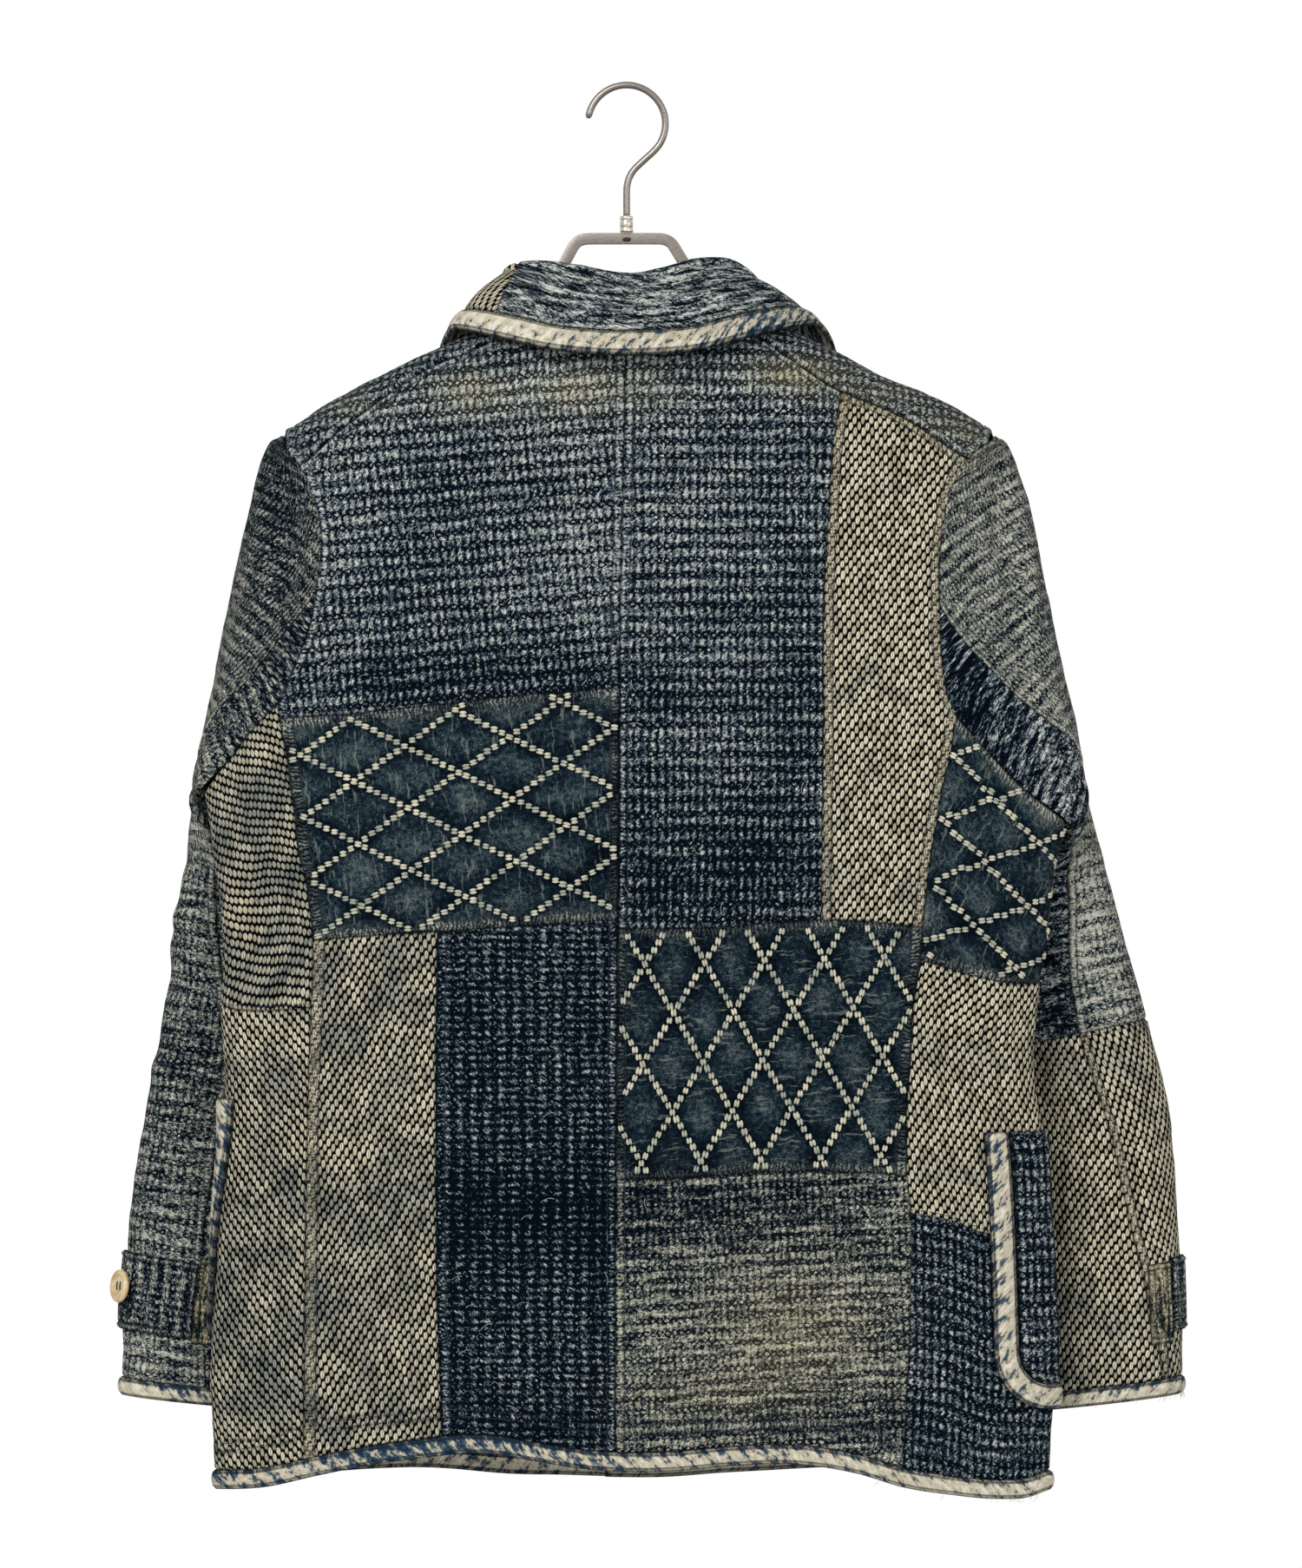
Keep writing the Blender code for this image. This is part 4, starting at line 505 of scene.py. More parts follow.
def plainMaterial(name, colour, other, scale, roughness, spread=0.1, metallic=0.0, bump=0.0,
                  stretch=(1, 1, 1), sheen=0.0, coat=0.0):
    # one finish for a hard or plain piece: cloudy colour, uneven gloss and a fine grain
    finish = bpy.data.materials.new(name)
    finish.use_nodes = True
    tree = finish.node_tree
    shader = tree.nodes["Principled BSDF"]
    coords, mapping = tree.nodes.new("ShaderNodeTexCoord"), tree.nodes.new("ShaderNodeMapping")
    mapping.inputs["Scale"].default_value = [s * scale for s in stretch]
    tree.links.new(coords.outputs["Object"], mapping.inputs["Vector"])
    x, y, z = split(tree, Wire(tree, mapping.outputs[0]))
    cloud = noise(tree, x, y + z, 1.0, 3.0, 0.6)
    grain = noise(tree, x * 6.0, y * 6.0 + z * 6.0, 4.0, 2.0)
    tree.links.new(blend(tree, cloud.smooth(0.3, 0.7), colour, other).socket, shader.inputs["Base Color"])
    tree.links.new((grain * spread + cloud * spread + roughness - spread).socket, shader.inputs["Roughness"])
    shader.inputs["Metallic"].default_value = metallic
    shader.inputs["Sheen Weight"].default_value = sheen
    shader.inputs["Coat Weight"].default_value = coat
    if bump:
        raised = tree.nodes.new("ShaderNodeBump")
        raised.inputs["Strength"].default_value = 0.6
        raised.inputs["Distance"].default_value = bump
        tree.links.new(grain.socket, raised.inputs["Height"])
        tree.links.new(raised.outputs[0], shader.inputs["Normal"])
    return finish


steel = plainMaterial("brushedSteel", srgb(116, 109, 102), srgb(140, 133, 126), 260, 0.30, metallic=1.0,
                      bump=0.00002, stretch=(1, 1, 8))
rivetSteel = plainMaterial("darkRivet", srgb(40, 37, 34), srgb(60, 54, 48), 900, 0.45, metallic=1.0)
ivory = plainMaterial("ivoryButton", srgb(226, 208, 164), srgb(196, 156, 92), 130, 0.32, coat=0.3)
navyThread = plainMaterial("navyThread", srgb(12, 24, 38), srgb(24, 38, 52), 700, 0.8, sheen=0.1)
creamThread = plainMaterial("creamThread", srgb(146, 154, 142), srgb(220, 214, 188), 90, 0.85, spread=0.08,
                            bump=0.0002, sheen=0.15)
looseThread = plainMaterial("looseThread", srgb(170, 176, 172), srgb(206, 206, 194), 500, 0.85, spread=0.08,
                            sheen=0.1)
ferruleSteel = plainMaterial("ferruleSteel", srgb(170, 160, 146), srgb(206, 198, 186), 400, 0.28,
                             metallic=1.0)


print("stage: surfaces")

# Driving sizes of the cloth.
clothWall = 2.2
tapeWall = 4.0
tapeLift = 0.9
sleeveWall = 1.6
shoulderGap = 0.9
layerGap = 0.7
quarterTurn = math.pi / 2
signOf = {"left": -1, "right": 1}

# The body as rings: half widths to each side, depth at the centre back and front, and the side edge's depth.
bodyColumns = ("z", "left", "right", "back", "front", "tip")
bodyRows = [
    (-930, -271, 280, -49, 40, -22),
    (-895, -273, 280, -50, 41, -23),
    (-850, -275, 282, -52, 43, -24),
    (-800, -272, 281, -54, 45, -24),
    (-740, -268, 278, -56, 47, -25),
    (-690, -265, 274, -57, 48, -25),
    (-645, -266, 268, -58, 49, -25),
    (-605, -266, 271, -59, 50, -25),
    (-565, -263, 277, -60, 50, -25),
    (-520, -271, 282, -61, 50, -24),
    (-480, -277.5, 290, -62, 49, -23),
    (-440, -283, 293, -62, 47, -22),
    (-380, -286, 294, -60, 44, -20),
    (-300, -286, 294, -56, 38, -18),
    (-230, -286, 294, -50, 32, -16),
    (-130, -286, 294, -40, 24, -14),
]
backRoundness = 3.0
frontRoundness = 1.35

# The shoulder line over the hanger, z for each x, and how far down the cloth rounds off from it.
ridgeRows = [
    (-300, -285), (-262, -256), (-240, -239), (-220, -224), (-202, -212), (-181, -200.5), (-158, -189),
    (-137, -177.5), (-112, -165.5), (-92, -157), (-50, -146), (0, -141), (52, -146), (98, -157),
    (120, -165.5), (145, -177.5), (167, -189), (192, -200.5), (216, -212), (236, -224), (256, -239),
    (276, -254), (310, -280),
]
ridgeDepth = -3
shoulderRound = 42

# Seams that run down the body, as x for each z.
downSeams = {
    "centreBack": [(-930, -7), (-730, -7), (-630, -6.3), (-550, -5.5), (-425, -4.7), (-348, -4.2),
                   (-277, -2.2), (-190, -0.8), (-130, 0)],
    "leftBackSide": [(-930, -213), (-836, -212), (-729, -211), (-674, -210), (-608, -207.5), (-564, -206.5),
                     (-535, -209.5), (-503, -216), (-455, -222), (-417, -228.5), (-400, -231)],
    "rightBackSide": [(-930, 181), (-856, 184.5), (-794, 187), (-743, 187), (-717, 184.5), (-660, 185.5),
                      (-614, 188.5), (-574, 193), (-548, 195.5), (-519, 198.5), (-490, 203), (-468, 207),
                      (-440, 213), (-416, 217), (-380, 222)],
    "creamIndigo": [(-930, -121), (-872, -121.5), (-817, -124), (-745, -125), (-619, -125), (-540, -124)],
    "blueCream": [(-580, 128), (-535, 128), (-425, 129.5), (-365, 129.5), (-313, 131), (-277, 133.5),
                  (-230, 137), (-203, 142), (-170, 147)],
    "leftArmhole": [(-470, -300), (-441, -260), (-410, -230.5), (-384, -218.5), (-361, -210), (-329, -203),
                    (-305, -200.5), (-280, -204), (-258, -212), (-247, -220), (-239, -229)],
    "rightArmhole": [(-470, 275), (-436, 231), (-410, 214), (-377, 207), (-341, 205.5), (-321, 205.5),
                     (-292, 208.5), (-268, 214), (-250, 223), (-240, 233), (-232, 245.5)],
    "leftFrontSide": [(-930, -226), (-670, -227.5), (-410, -230.5), (-380, -231)],
    "rightFrontSide": [(-930, 230), (-670, 223), (-412, 214.5), (-380, 213)],
}

# Seams that run across it, as z for each x.
acrossSeams = {
    "leftShoulder": [(-240, -264), (-212, -249), (-192, -231), (-158, -205.5), (-124, -184), (-98, -173),
                     (-86, -167), (-60, -167), (-30, -166), (10, -165)],
    "rightShoulder": [(-10, -165), (30, -166), (60, -167), (86, -167), (108, -181.5), (136, -200),
                      (181, -219.5), (222, -246), (250, -262)],
    "diamondTop": [(-240, -418), (-229, -417.5), (-178, -414), (-113, -407), (-65, -402), (-5, -397.5),
                   (20, -396)],
    "diamondBottom": [(-215, -565), (-206, -564), (-162, -560.5), (-123, -558), (-81, -555), (-5, -550),
                      (20, -549)],
    "uprightTop": [(-20, -555), (29, -555.5), (71, -554), (106, -551), (128, -550), (155, -550.5),
                   (175, -552.5), (195, -555), (220, -557)],
    "uprightBottom": [(-20, -721), (29, -720), (71, -717), (99, -715.5), (127, -715.5), (162, -716.5),
                      (187, -718.5), (220, -720)],
    "backHem": [(-290, -914), (-271, -913.5), (-240, -911.5), (-204, -903.5), (-167, -896),
                (-130, -891), (-107, -889), (-85, -889.5), (-57, -894), (-21, -899), (9, -900.5),
                (28, -900), (70, -896.5), (102, -895.5), (131, -898), (152, -902), (182, -911),
                (213, -916), (244, -919), (264, -918.5), (279, -914), (300, -912)],
    "frontHem": [(-300, -914), (-271, -913.5), (-230, -908), (-150, -903), (-60, -908), (20, -910),
                 (90, -905), (180, -903), (240, -908), (279, -914), (300, -914)],
    "frontNeck": [(-92, -157), (-88, -185), (-74, -216), (-50, -241), (-22, -254), (0, -258), (22, -254),
                  (52, -241), (78, -216), (93, -185), (98, -157)],
}

# Seams that cross a side, as z for each turn w round the body: 0 centre back, 1 side edge, 2 centre front.
sideSeams = {
    "leftUnderarm": [(0.50, -394), (0.595, -410), (0.66, -424), (0.73, -441), (0.80, -452),
                     (0.87, -460), (1.0, -466), (1.10, -463), (1.20, -453), (1.30, -437), (1.405, -410),
                     (1.50, -392)],
    "rightUnderarm": [(0.42, -392), (0.515, -412), (0.577, -431), (0.63, -446), (0.70, -462),
                      (0.78, -473), (0.86, -480), (1.0, -484), (1.14, -476), (1.28, -456), (1.40, -434),
                      (1.485, -412), (1.60, -392)],
    "leftSideSeam": [(0.4, -607), (0.57, -608), (0.70, -610), (0.90, -608), (1.0, -605), (1.2, -604),
                     (1.6, -606)],
    "rightDiamondFoot": [(0.40, -573), (0.50, -577), (0.60, -585), (0.72, -591), (0.85, -593), (1.0, -592),
                         (1.3, -590), (1.6, -590)],
    "rightCreamFoot": [(0.30, -741), (0.46, -742.5), (0.55, -747), (0.64, -756), (0.80, -760),
                       (1.0, -760), (1.6, -760)],
}

# Soft folds pressed into the body: x and z of both ends, half width, and height (below zero is a trough).
backFolds = [
    (-112, -760, -98, -905, 26, -6.0),
    (-45, -800, -30, -915, 30, 4.0),
    (118, -800, 112, -910, 30, -5.0),
    (210, -850, 240, -925, 26, 4.5),
    (-236, -540, -262, -590, 15, -5.5),
    (-190, -690, -250, -600, 22, 3.5),
    (-228, -620, -215, -720, 16, -3.5),
    (236, -600, 262, -660, 15, 5.0),
    (205, -610, 250, -690, 13, -3.5),
    (-150, -430, -90, -470, 36, 2.5),
    (60, -300, 20, -420, 46, 2.5),
]
frontFolds = [
    (-150, -300, -120, -520, 40, 5.0),
    (150, -300, 125, -520, 40, 5.0),
    (-95, -620, -80, -910, 26, -6.0),
    (105, -600, 85, -910, 28, -5.0),
    (-140, -800, -135, -915, 24, 3.0),
    (150, -800, 145, -915, 24, 3.0),
]

# Sleeves below the underarm: the outer edge from the jacket's middle, the depth of the oval's centre, its
# half sizes, how far it turns forward at its inner edge, and how much higher its outer edge lies.
sleeveColumns = ("z", "outer", "depth", "wide", "deep", "turn", "rise")
sleeveRows = {
    "left": [
        (-905, 336, 33, 56, 31, 12, 5), (-862, 336.5, 35, 56, 32, 13, 6), (-821, 336, 38, 55, 33, 15, 7),
        (-764, 331, 43, 55, 34, 18, 9), (-695, 322, 49, 57, 35, 22, 10), (-626, 309, 53, 59, 36, 26, 10),
        (-560, 300.5, 54, 61, 37, 29, 10), (-500, 293, 53, 63, 38, 30, 10), (-440, 284, 46, 64, 40, 30, 10),
    ],
    "right": [
        (-905, 368, 33, 57, 32, 14, 6), (-862, 369.5, 35, 57, 33, 15, 7),
        (-821, 370, 38, 57, 34, 17, 8), (-764, 368, 43, 58, 35, 20, 9),
        (-695, 361.5, 48, 60, 37, 24, 11), (-660, 354.5, 50, 61, 38, 26, 12),
        (-626, 345.5, 52, 62, 38, 28, 12), (-591, 336, 53, 63, 38, 29, 12),
        (-545, 323.5, 54, 64, 38, 30, 12), (-500, 311, 53, 65, 39, 31, 12),
        (-440, 299, 46, 66, 40, 31, 12),
    ],
}
capFoot = -530
underarmSplit = {"left": -410, "right": -412}
shoulderTip = {"left": -240, "right": -233}
headLift = 0.3
capShare = 0.40
cuffEdge = -861
cuffTape = 11
# The sleeve's cap, by turn round it: where each line leaves the armhole ring (0 shoulder, 180 underarm, by
# the back), the point it passes half way down, the turn of the oval it runs into, and how much it flares.
capColumns = ("turn", "ring", "out", "depth", "z", "oval", "flare")
capRows = {
    "left": [
        (-12.5, 0, 250.5, 12, -282, -25, 0), (16.5, 45, 257, -8, -318, -12, 0),
        (46, 90, 264, -19, -362, 2, 6), (67, 120, 272, -28, -398, 14, 18),
        (89, 150, 280.5, -32, -436, 28, 26), (101.5, 165, 286.5, -31, -457, 38, 24),
        (116, 180, 285, -20, -480, 54, 10), (137.5, 195, 266, 2, -485, 82, 0),
        (165, 215, 248, 24, -478, 115, 0), (207.5, 240, 232, 55, -450, 175, 0),
        (247.5, 270, 224, 72, -395, 225, 0), (300, 315, 236, 52, -318, 285, 0),
        (347.5, 360, 250.5, 12, -282, 335, 0),
    ],
    "right": [
        (-12.5, 0, 266, 12, -282, -25, 0), (16.5, 45, 273, -8, -318, -12, 0),
        (46, 90, 282, -19, -362, 2, 8), (67, 120, 291, -26, -402, 14, 16),
        (89, 150, 299.5, -30, -444, 28, 22), (101.5, 165, 304, -29, -468, 38, 20),
        (116, 180, 299, -18, -496, 54, 10), (137.5, 195, 280, 4, -500, 82, 0),
        (165, 215, 260, 25, -491, 115, 0), (207.5, 240, 242, 56, -460, 175, 0),
        (247.5, 270, 232, 72, -395, 225, 0), (300, 315, 250, 52, -318, 285, 0),
        (347.5, 360, 266, 12, -282, 335, 0),
    ],
}
# The back seam of each sleeve, as the turn it lies at for each share of the sleeve's length.
sleeveSeams = {
    "left": [(0, 40), (0.05, 58), (0.1, 75), (0.2, 86), (0.3, 91), (0.4, 98), (0.5, 112), (0.6, 126),
             (0.75, 131), (0.82, 132), (0.9, 137), (1, 140), (1.1, 141)],
    "right": [(0, 40), (0.05, 58), (0.1, 77), (0.2, 87), (0.3, 93), (0.4, 102), (0.5, 116), (0.58, 121),
              (0.71, 119), (0.8, 116), (0.845, 113), (0.92, 105), (1, 95), (1.1, 88)],
}
frontSleeveSeam = 262
forearmSeam = -629
# Where the under piece's columns leave the armhole: closer together round the body's side edge.
underTurns = (40, 62, 84, 98, 108, 116, 124, 134, 150, 180, 220, 262)
# The hem's height, its tape, and how the fronts lap at the centre.
hemHeight = -910
hemTapeHeight = 12
frontOverlap = 8
frontUnderlap = 14
frontPush = 6.0

# Patch pockets: lengths from the side edge to the back and front of the tape, heights of the mouth and the
# bottom, and how they lean.
pockets = {
    "left": {"back": -12, "front": 150, "top": -668, "bottom": -850, "slant": -0.10},
    "right": {"back": -46, "front": 125, "top": -690, "bottom": -872, "slant": 0.0},
}
pocketTape = 15.5
pocketCorner = 38
pocketGap = 1.8
pocketTapeWall = 2.8

# Cuff tabs and the strips that hold them, by turns round the sleeve and heights.
cuffTabs = {
    "left": {"turns": (5, 131), "levels": (-829, -780)},
    "right": {"turns": (-62, 80), "levels": (-830, -783)},
}
cuffStrips = {
    "left": {"turns": (132, 143), "levels": (-832, -776)},
    "right": {"turns": (81, 107), "levels": (-837, -785)},
}


def reader(rows, key=0, value=1):
    # a smooth curve through two columns of a table
    keys = np.array([row[key] for row in rows], float)
    values = np.array([row[value] for row in rows], float)
    order = np.argsort(keys)
    keys, values = keys[order], values[order]
    slopes = np.gradient(values, keys)

    def read(at):
        at = np.clip(np.asarray(at, float), keys[0], keys[-1])
        i = np.clip(np.searchsorted(keys, at) - 1, 0, len(keys) - 2)
        span = keys[i + 1] - keys[i]
        t = (at - keys[i]) / span
        rise = values[i + 1] - values[i]
        bend = t * (1 - t) * ((1 - t) * (slopes[i] * span - rise) - t * (slopes[i + 1] * span - rise))
        return values[i] + t * rise + bend

    return read


def wrapped(rows):
    # a table of turns carried on past both ends, so that it closes
    def turned(row, by):
        return (row[0] + by, row[1] + by, *row[2:5], row[5] + by, row[6])
    return [turned(row, -360) for row in rows[-4:-1]] + list(rows) + [turned(row, 360) for row in rows[1:4]]


def tableReader(columns, rows):
    # a curve for each column against the first
    return {name: reader(rows, 0, i) for i, name in enumerate(columns) if i}


body = tableReader(bodyColumns, bodyRows)
ridge = reader(ridgeRows)
down = {name: reader(rows) for name, rows in downSeams.items()}
across = {name: reader(rows) for name, rows in acrossSeams.items()}
sides = {name: reader(rows) for name, rows in sideSeams.items()}
sleeveTables = {name: tableReader(sleeveColumns, rows) for name, rows in sleeveRows.items()}
caps = {name: tableReader(capColumns, wrapped(rows)) for name, rows in capRows.items()}
backSeams = {name: reader(rows) for name, rows in sleeveSeams.items()}


def stack(x, y, z):
    return np.stack(np.broadcast_arrays(x, y, z), axis=-1)


def unit(way):
    return way / np.linalg.norm(way, axis=-1)[..., None]


def runLengths(points, axis=0):
    # the length run so far along one axis of a grid of points
    steps = np.linalg.norm(np.diff(points, axis=axis), axis=-1)
    start = np.zeros_like(np.take(steps, [0], axis=axis))
    return np.cumsum(np.concatenate([start, steps], axis=axis), axis=axis)


def placesAt(at, lengths, points):
    # points along a run, at set lengths
    return np.stack([np.interp(at, lengths, column) for column in points.T], axis=-1)


def smoothStep(t):
    t = np.clip(t, 0, 1)
    return t * t * (3 - 2 * t)


def foldHeight(x, z, folds):
    # soft folds, each fading away from its line
    height = np.zeros(np.broadcast(x, z).shape)
    for x1, z1, x2, z2, width, tall in folds:
        along = np.array([x2 - x1, z2 - z1], float)
        t = np.clip(((x - x1) * along[0] + (z - z1) * along[1]) / (along @ along), 0, 1)
        away = np.hypot(x - x1 - t * along[0], z - z1 - t * along[1])
        height = height + tall * np.exp(-((away / width) ** 2))
    return height


def halfWidth(x, z):
    # the middle line, and the distance from it to the side edge that x lies toward
    middle = down["centreBack"](z)
    return middle, np.where(x < middle, middle - body["left"](z), body["right"](z) - middle)


def torsoDepth(x, z, front, push=0.0):
    # y of the body's cloth on its back or front, rounded off over the shoulder
    middle, half = halfWidth(x, z)
    share = np.clip(np.abs(x - middle) / half, 0, 1)
    backBow = np.sqrt(np.clip(1 - share**backRoundness, 0, 1))
    frontBow = np.sqrt(np.clip(1 - share**frontRoundness, 0, 1))
    tip = body["tip"](z)
    back = tip + (body["back"](z) - tip) * backBow - foldHeight(x, z, backFolds) * backBow
    fore = tip + (body["front"](z) - tip) * frontBow + foldHeight(x, z, frontFolds) * frontBow - push
    drop = np.clip((ridge(x) - z) / shoulderRound, 0, 1)
    rounding = np.sqrt(1 - (1 - drop) ** 2)
    return ridgeDepth + (np.where(front, fore, back) - ridgeDepth) * rounding


def pathFromDrop(x, z):
    # the length along the cloth from the shoulder line down to z
    drop = ridge(x) - z
    turned = np.arccos(np.clip(1 - drop / shoulderRound, -1, 1)) * shoulderRound
    return np.where(drop < shoulderRound, turned, shoulderRound * quarterTurn + drop - shoulderRound)


def dropFromPath(x, path):
    # the way back: z at a length along the cloth
    full = shoulderRound * quarterTurn
    turned = shoulderRound * (1 - np.cos(np.clip(path, 0, full) / shoulderRound))
    return ridge(x) - np.where(path < full, turned, shoulderRound + path - full)


def sheetPoint(x, path, push=0.0):
    # a place on the body sheet; the path is below zero on the back
    z = dropFromPath(x, np.abs(path))
    return stack(x, torsoDepth(x, z, path > 0, push), z)


def grainOf(flat):
    # the cloth's own grain at a place on the body sheet: rows level, columns upright
    x = flat[..., 0]
    return np.stack([x, ridge(x) - np.abs(flat[..., 1])], axis=-1)


def wrapPoint(w, z, push=0.0):
    # a place by its turn w, below zero on the left: 0 centre back, 1 side edge, 2 centre front
    middle = down["centreBack"](z)
    half = np.where(w < 0, middle - body["left"](z), body["right"](z) - middle)
    x = middle + half * np.sin(w * quarterTurn)
    return stack(x, torsoDepth(x, z, np.abs(w) > 1, push), z)


def turnOf(x, z, front=False):
    # the turn w at a place
    middle, half = halfWidth(x, z)
    w = np.arcsin(np.clip((x - middle) / half, -1, 1)) / quarterTurn
    return np.where(front, np.where(w < 0, -2 - w, 2 - w), w)


def coons(left, right, bottom, top):
    # a patch that runs smoothly between four edges

    def patch(u, v):
        u1, v1 = u[..., None], v[..., None]
        zero, one = np.zeros_like(u), np.ones_like(u)
        corners = (
            (1 - u1) * (1 - v1) * bottom(zero) + u1 * (1 - v1) * bottom(one)
            + (1 - u1) * v1 * top(zero) + u1 * v1 * top(one)
        )
        return (1 - v1) * bottom(u) + v1 * top(u) + (1 - u1) * left(v) + u1 * right(v) - corners

    return patch


def meeting(downSeam, acrossSeam):
    # where a seam down the body meets one across it
    z = -500.0
    for _ in range(60):
        z = 0.5 * z + 0.5 * float(acrossSeam(downSeam(z)))
    return float(downSeam(z)), z


def backPanel(left, right, bottom, top):
    # a panel of the back between four seams
    corners = {(s, a): meeting(side, level) for s, side in (("l", left), ("r", right))
               for a, level in (("b", bottom), ("t", top))}

    def edgeDown(seam, lowZ, highZ):
        def edge(v):
            z = lowZ + (highZ - lowZ) * v
            x = seam(z)
            return np.stack([x, -pathFromDrop(x, z)], axis=-1)
        return edge

    def edgeAcross(seam, lowX, highX):
        def edge(u):
            x = lowX + (highX - lowX) * u
            return np.stack([x, -pathFromDrop(x, seam(x))], axis=-1)
        return edge

    patch = coons(
        edgeDown(left, corners["l", "b"][1], corners["l", "t"][1]),
        edgeDown(right, corners["r", "b"][1], corners["r", "t"][1]),
        edgeAcross(bottom, corners["l", "b"][0], corners["r", "b"][0]),
        edgeAcross(top, corners["l", "t"][0], corners["r", "t"][0]),
    )

    def surface(u, v):
        flat = patch(u, v)
        return sheetPoint(flat[..., 0], flat[..., 1])

    surface.patch = lambda u, v: grainOf(patch(u, v))
    return surface


def sidePanel(side, bottom, top):
    # a panel round the body's side, between its back and front seams
    sign = signOf[side]
    backSeam, frontSeam = down[side + "BackSide"], down[side + "FrontSide"]

    def turnAt(seam, z, front):
        return sign * turnOf(seam(z), z, front)

    def meet(seam, level, front):
        z = -500.0
        for _ in range(60):
            z = 0.5 * z + 0.5 * float(level(turnAt(seam, z, front)))
        return z

    def edgeDown(seam, front):
        low, high = meet(seam, bottom, front), meet(seam, top, front)

        def edge(v):
            z = low + (high - low) * v
            return np.stack([turnAt(seam, z, front), z], axis=-1)
        return edge, low, high

    backEdge, backLow, backHigh = edgeDown(backSeam, False)
    frontEdge, frontLow, frontHigh = edgeDown(frontSeam, True)

    def edgeAcross(level, backZ, frontZ):
        first, last = turnAt(backSeam, backZ, False), turnAt(frontSeam, frontZ, True)

        def edge(u):
            w = first + (last - first) * u
            return np.stack([w, level(w)], axis=-1)
        return edge

    lower, upper = edgeAcross(bottom, backLow, frontLow), edgeAcross(top, backHigh, frontHigh)
    patch = coons(backEdge, frontEdge, lower, upper)

    def surface(u, v):
        flat = patch(u, v)
        return wrapPoint(sign * flat[..., 0], flat[..., 1])

    return surface


def hemLevel(side):
    # z of the hem for each turn
    def level(w):
        w = np.asarray(w, float)
        middle = down["centreBack"](hemHeight)
        x = middle + (body[side](hemHeight) - middle) * np.sin(w * quarterTurn)
        return np.where(w > 1, across["frontHem"](x), across["backHem"](x))

    return level


def pushUnder(x):
    # how far the lower front lies behind the upper one
    return frontPush * smoothStep((62 - x) / 38)


def alongPoints(points, v):
    # places at shares of the length of a run
    points = np.array(points, float)
    lengths = runLengths(points)
    return placesAt(v, lengths / lengths[-1], points)


def frontPanel(side):
    # one front, from its centre edge to the side seam and round the armhole to the shoulder
    left = side == "left"
    edgeX = frontOverlap if left else -frontUnderlap
    armhole, frontSide = down[side + "Armhole"], down[side + "FrontSide"]
    shoulder = across[side + "Shoulder"]
    splitZ, tipZ = underarmSplit[side], shoulderTip[side]
    sideHem = meeting(frontSide, across["frontHem"])
    seamEnd = meeting(armhole, shoulder)
    neckX = -88 if left else 88

    def path(x, z, front=True):
        return float(pathFromDrop(x, z)) if front else shoulderGap - float(pathFromDrop(x, z))

    outer = [(frontSide(z), path(frontSide(z), z)) for z in np.linspace(sideHem[1], splitZ, 24)]
    outer += [(armhole(z), path(armhole(z), z)) for z in np.linspace(splitZ, tipZ, 18)[1:]]
    outer += [(armhole(z), path(armhole(z), z, False)) for z in np.linspace(tipZ, seamEnd[1], 6)[1:]]
    neckRows = acrossSeams["frontNeck"]
    neckRun = neckRows[:5][::-1] if left else neckRows[6:]
    neckStart = float(across["frontNeck"](edgeX))
    hemEnd = float(across["frontHem"](edgeX))
    inner = [(edgeX, path(edgeX, z)) for z in np.linspace(hemEnd, neckStart, 20)]
    inner += [(x, path(x, z)) for x, z in neckRun if (x < edgeX if left else x > edgeX)]
    inner += [(neckX, path(neckX, float(shoulder(neckX)), False))]

    def bottom(u):
        x = sideHem[0] + (edgeX - sideHem[0]) * u
        return np.stack([x, pathFromDrop(x, across["frontHem"](x))], axis=-1)

    def top(u):
        x = seamEnd[0] + (neckX - seamEnd[0]) * u
        return np.stack([x, shoulderGap - pathFromDrop(x, shoulder(x))], axis=-1)

    def packed(v):
        return 1 - np.sign(1 - v) * np.abs(1 - v) ** 1.6

    patch = coons(lambda v: alongPoints(outer, v), lambda v: alongPoints(inner, v), bottom, top)

    def surface(u, v):
        flat = patch(u, packed(v))
        x = flat[..., 0]
        return sheetPoint(x, flat[..., 1], 0.0 if left else pushUnder(x))

    surface.patch = lambda u, v: grainOf(patch(u, packed(v)))
    return surface


def armholeRing(side):
    # the closed line of the armhole: over the shoulder, down the back, under the arm and up the front
    topZ, splitZ = shoulderTip[side], underarmSplit[side]
    armhole = down[side + "Armhole"]
    underarm = sides[side + "Underarm"]
    topX = armhole(topZ)
    overTop = sheetPoint(np.full(12, topX), np.linspace(0, -pathFromDrop(topX, topZ), 12))
    z = np.linspace(topZ, splitZ, 60)
    x = armhole(z)
    backRun = stack(x, torsoDepth(x, z, False), z)[1:]
    frontRun = stack(x, torsoDepth(x, z, True), z)[::-1][:-1]
    first = abs(float(turnOf(float(armhole(splitZ)), splitZ)))
    last = abs(float(turnOf(float(armhole(splitZ)), splitZ, True)))
    w = np.linspace(first, last, 60)
    under = wrapPoint(signOf[side] * w, underarm(w))
    start = int(np.argmax(under[:, 2] < splitZ)) if (under[:, 2] < splitZ).any() else 0
    upFront = sheetPoint(np.full(12, topX), np.linspace(pathFromDrop(topX, topZ), 0, 12))
    ring = np.concatenate([overTop, backRun, under[max(start, 1):-1], frontRun, upFront])
    lengths = runLengths(ring)
    lowest = int(np.argmin(ring[:, 2]))
    share = np.where(
        lengths <= lengths[lowest],
        0.5 * lengths / lengths[lowest],
        0.5 + 0.5 * (lengths - lengths[lowest]) / (lengths[-1] - lengths[lowest]),
    )

    return lambda phi: placesAt(np.mod(np.asarray(phi, float), 360) / 360, share, ring)


rings = {side: armholeRing(side) for side in ("left", "right")}


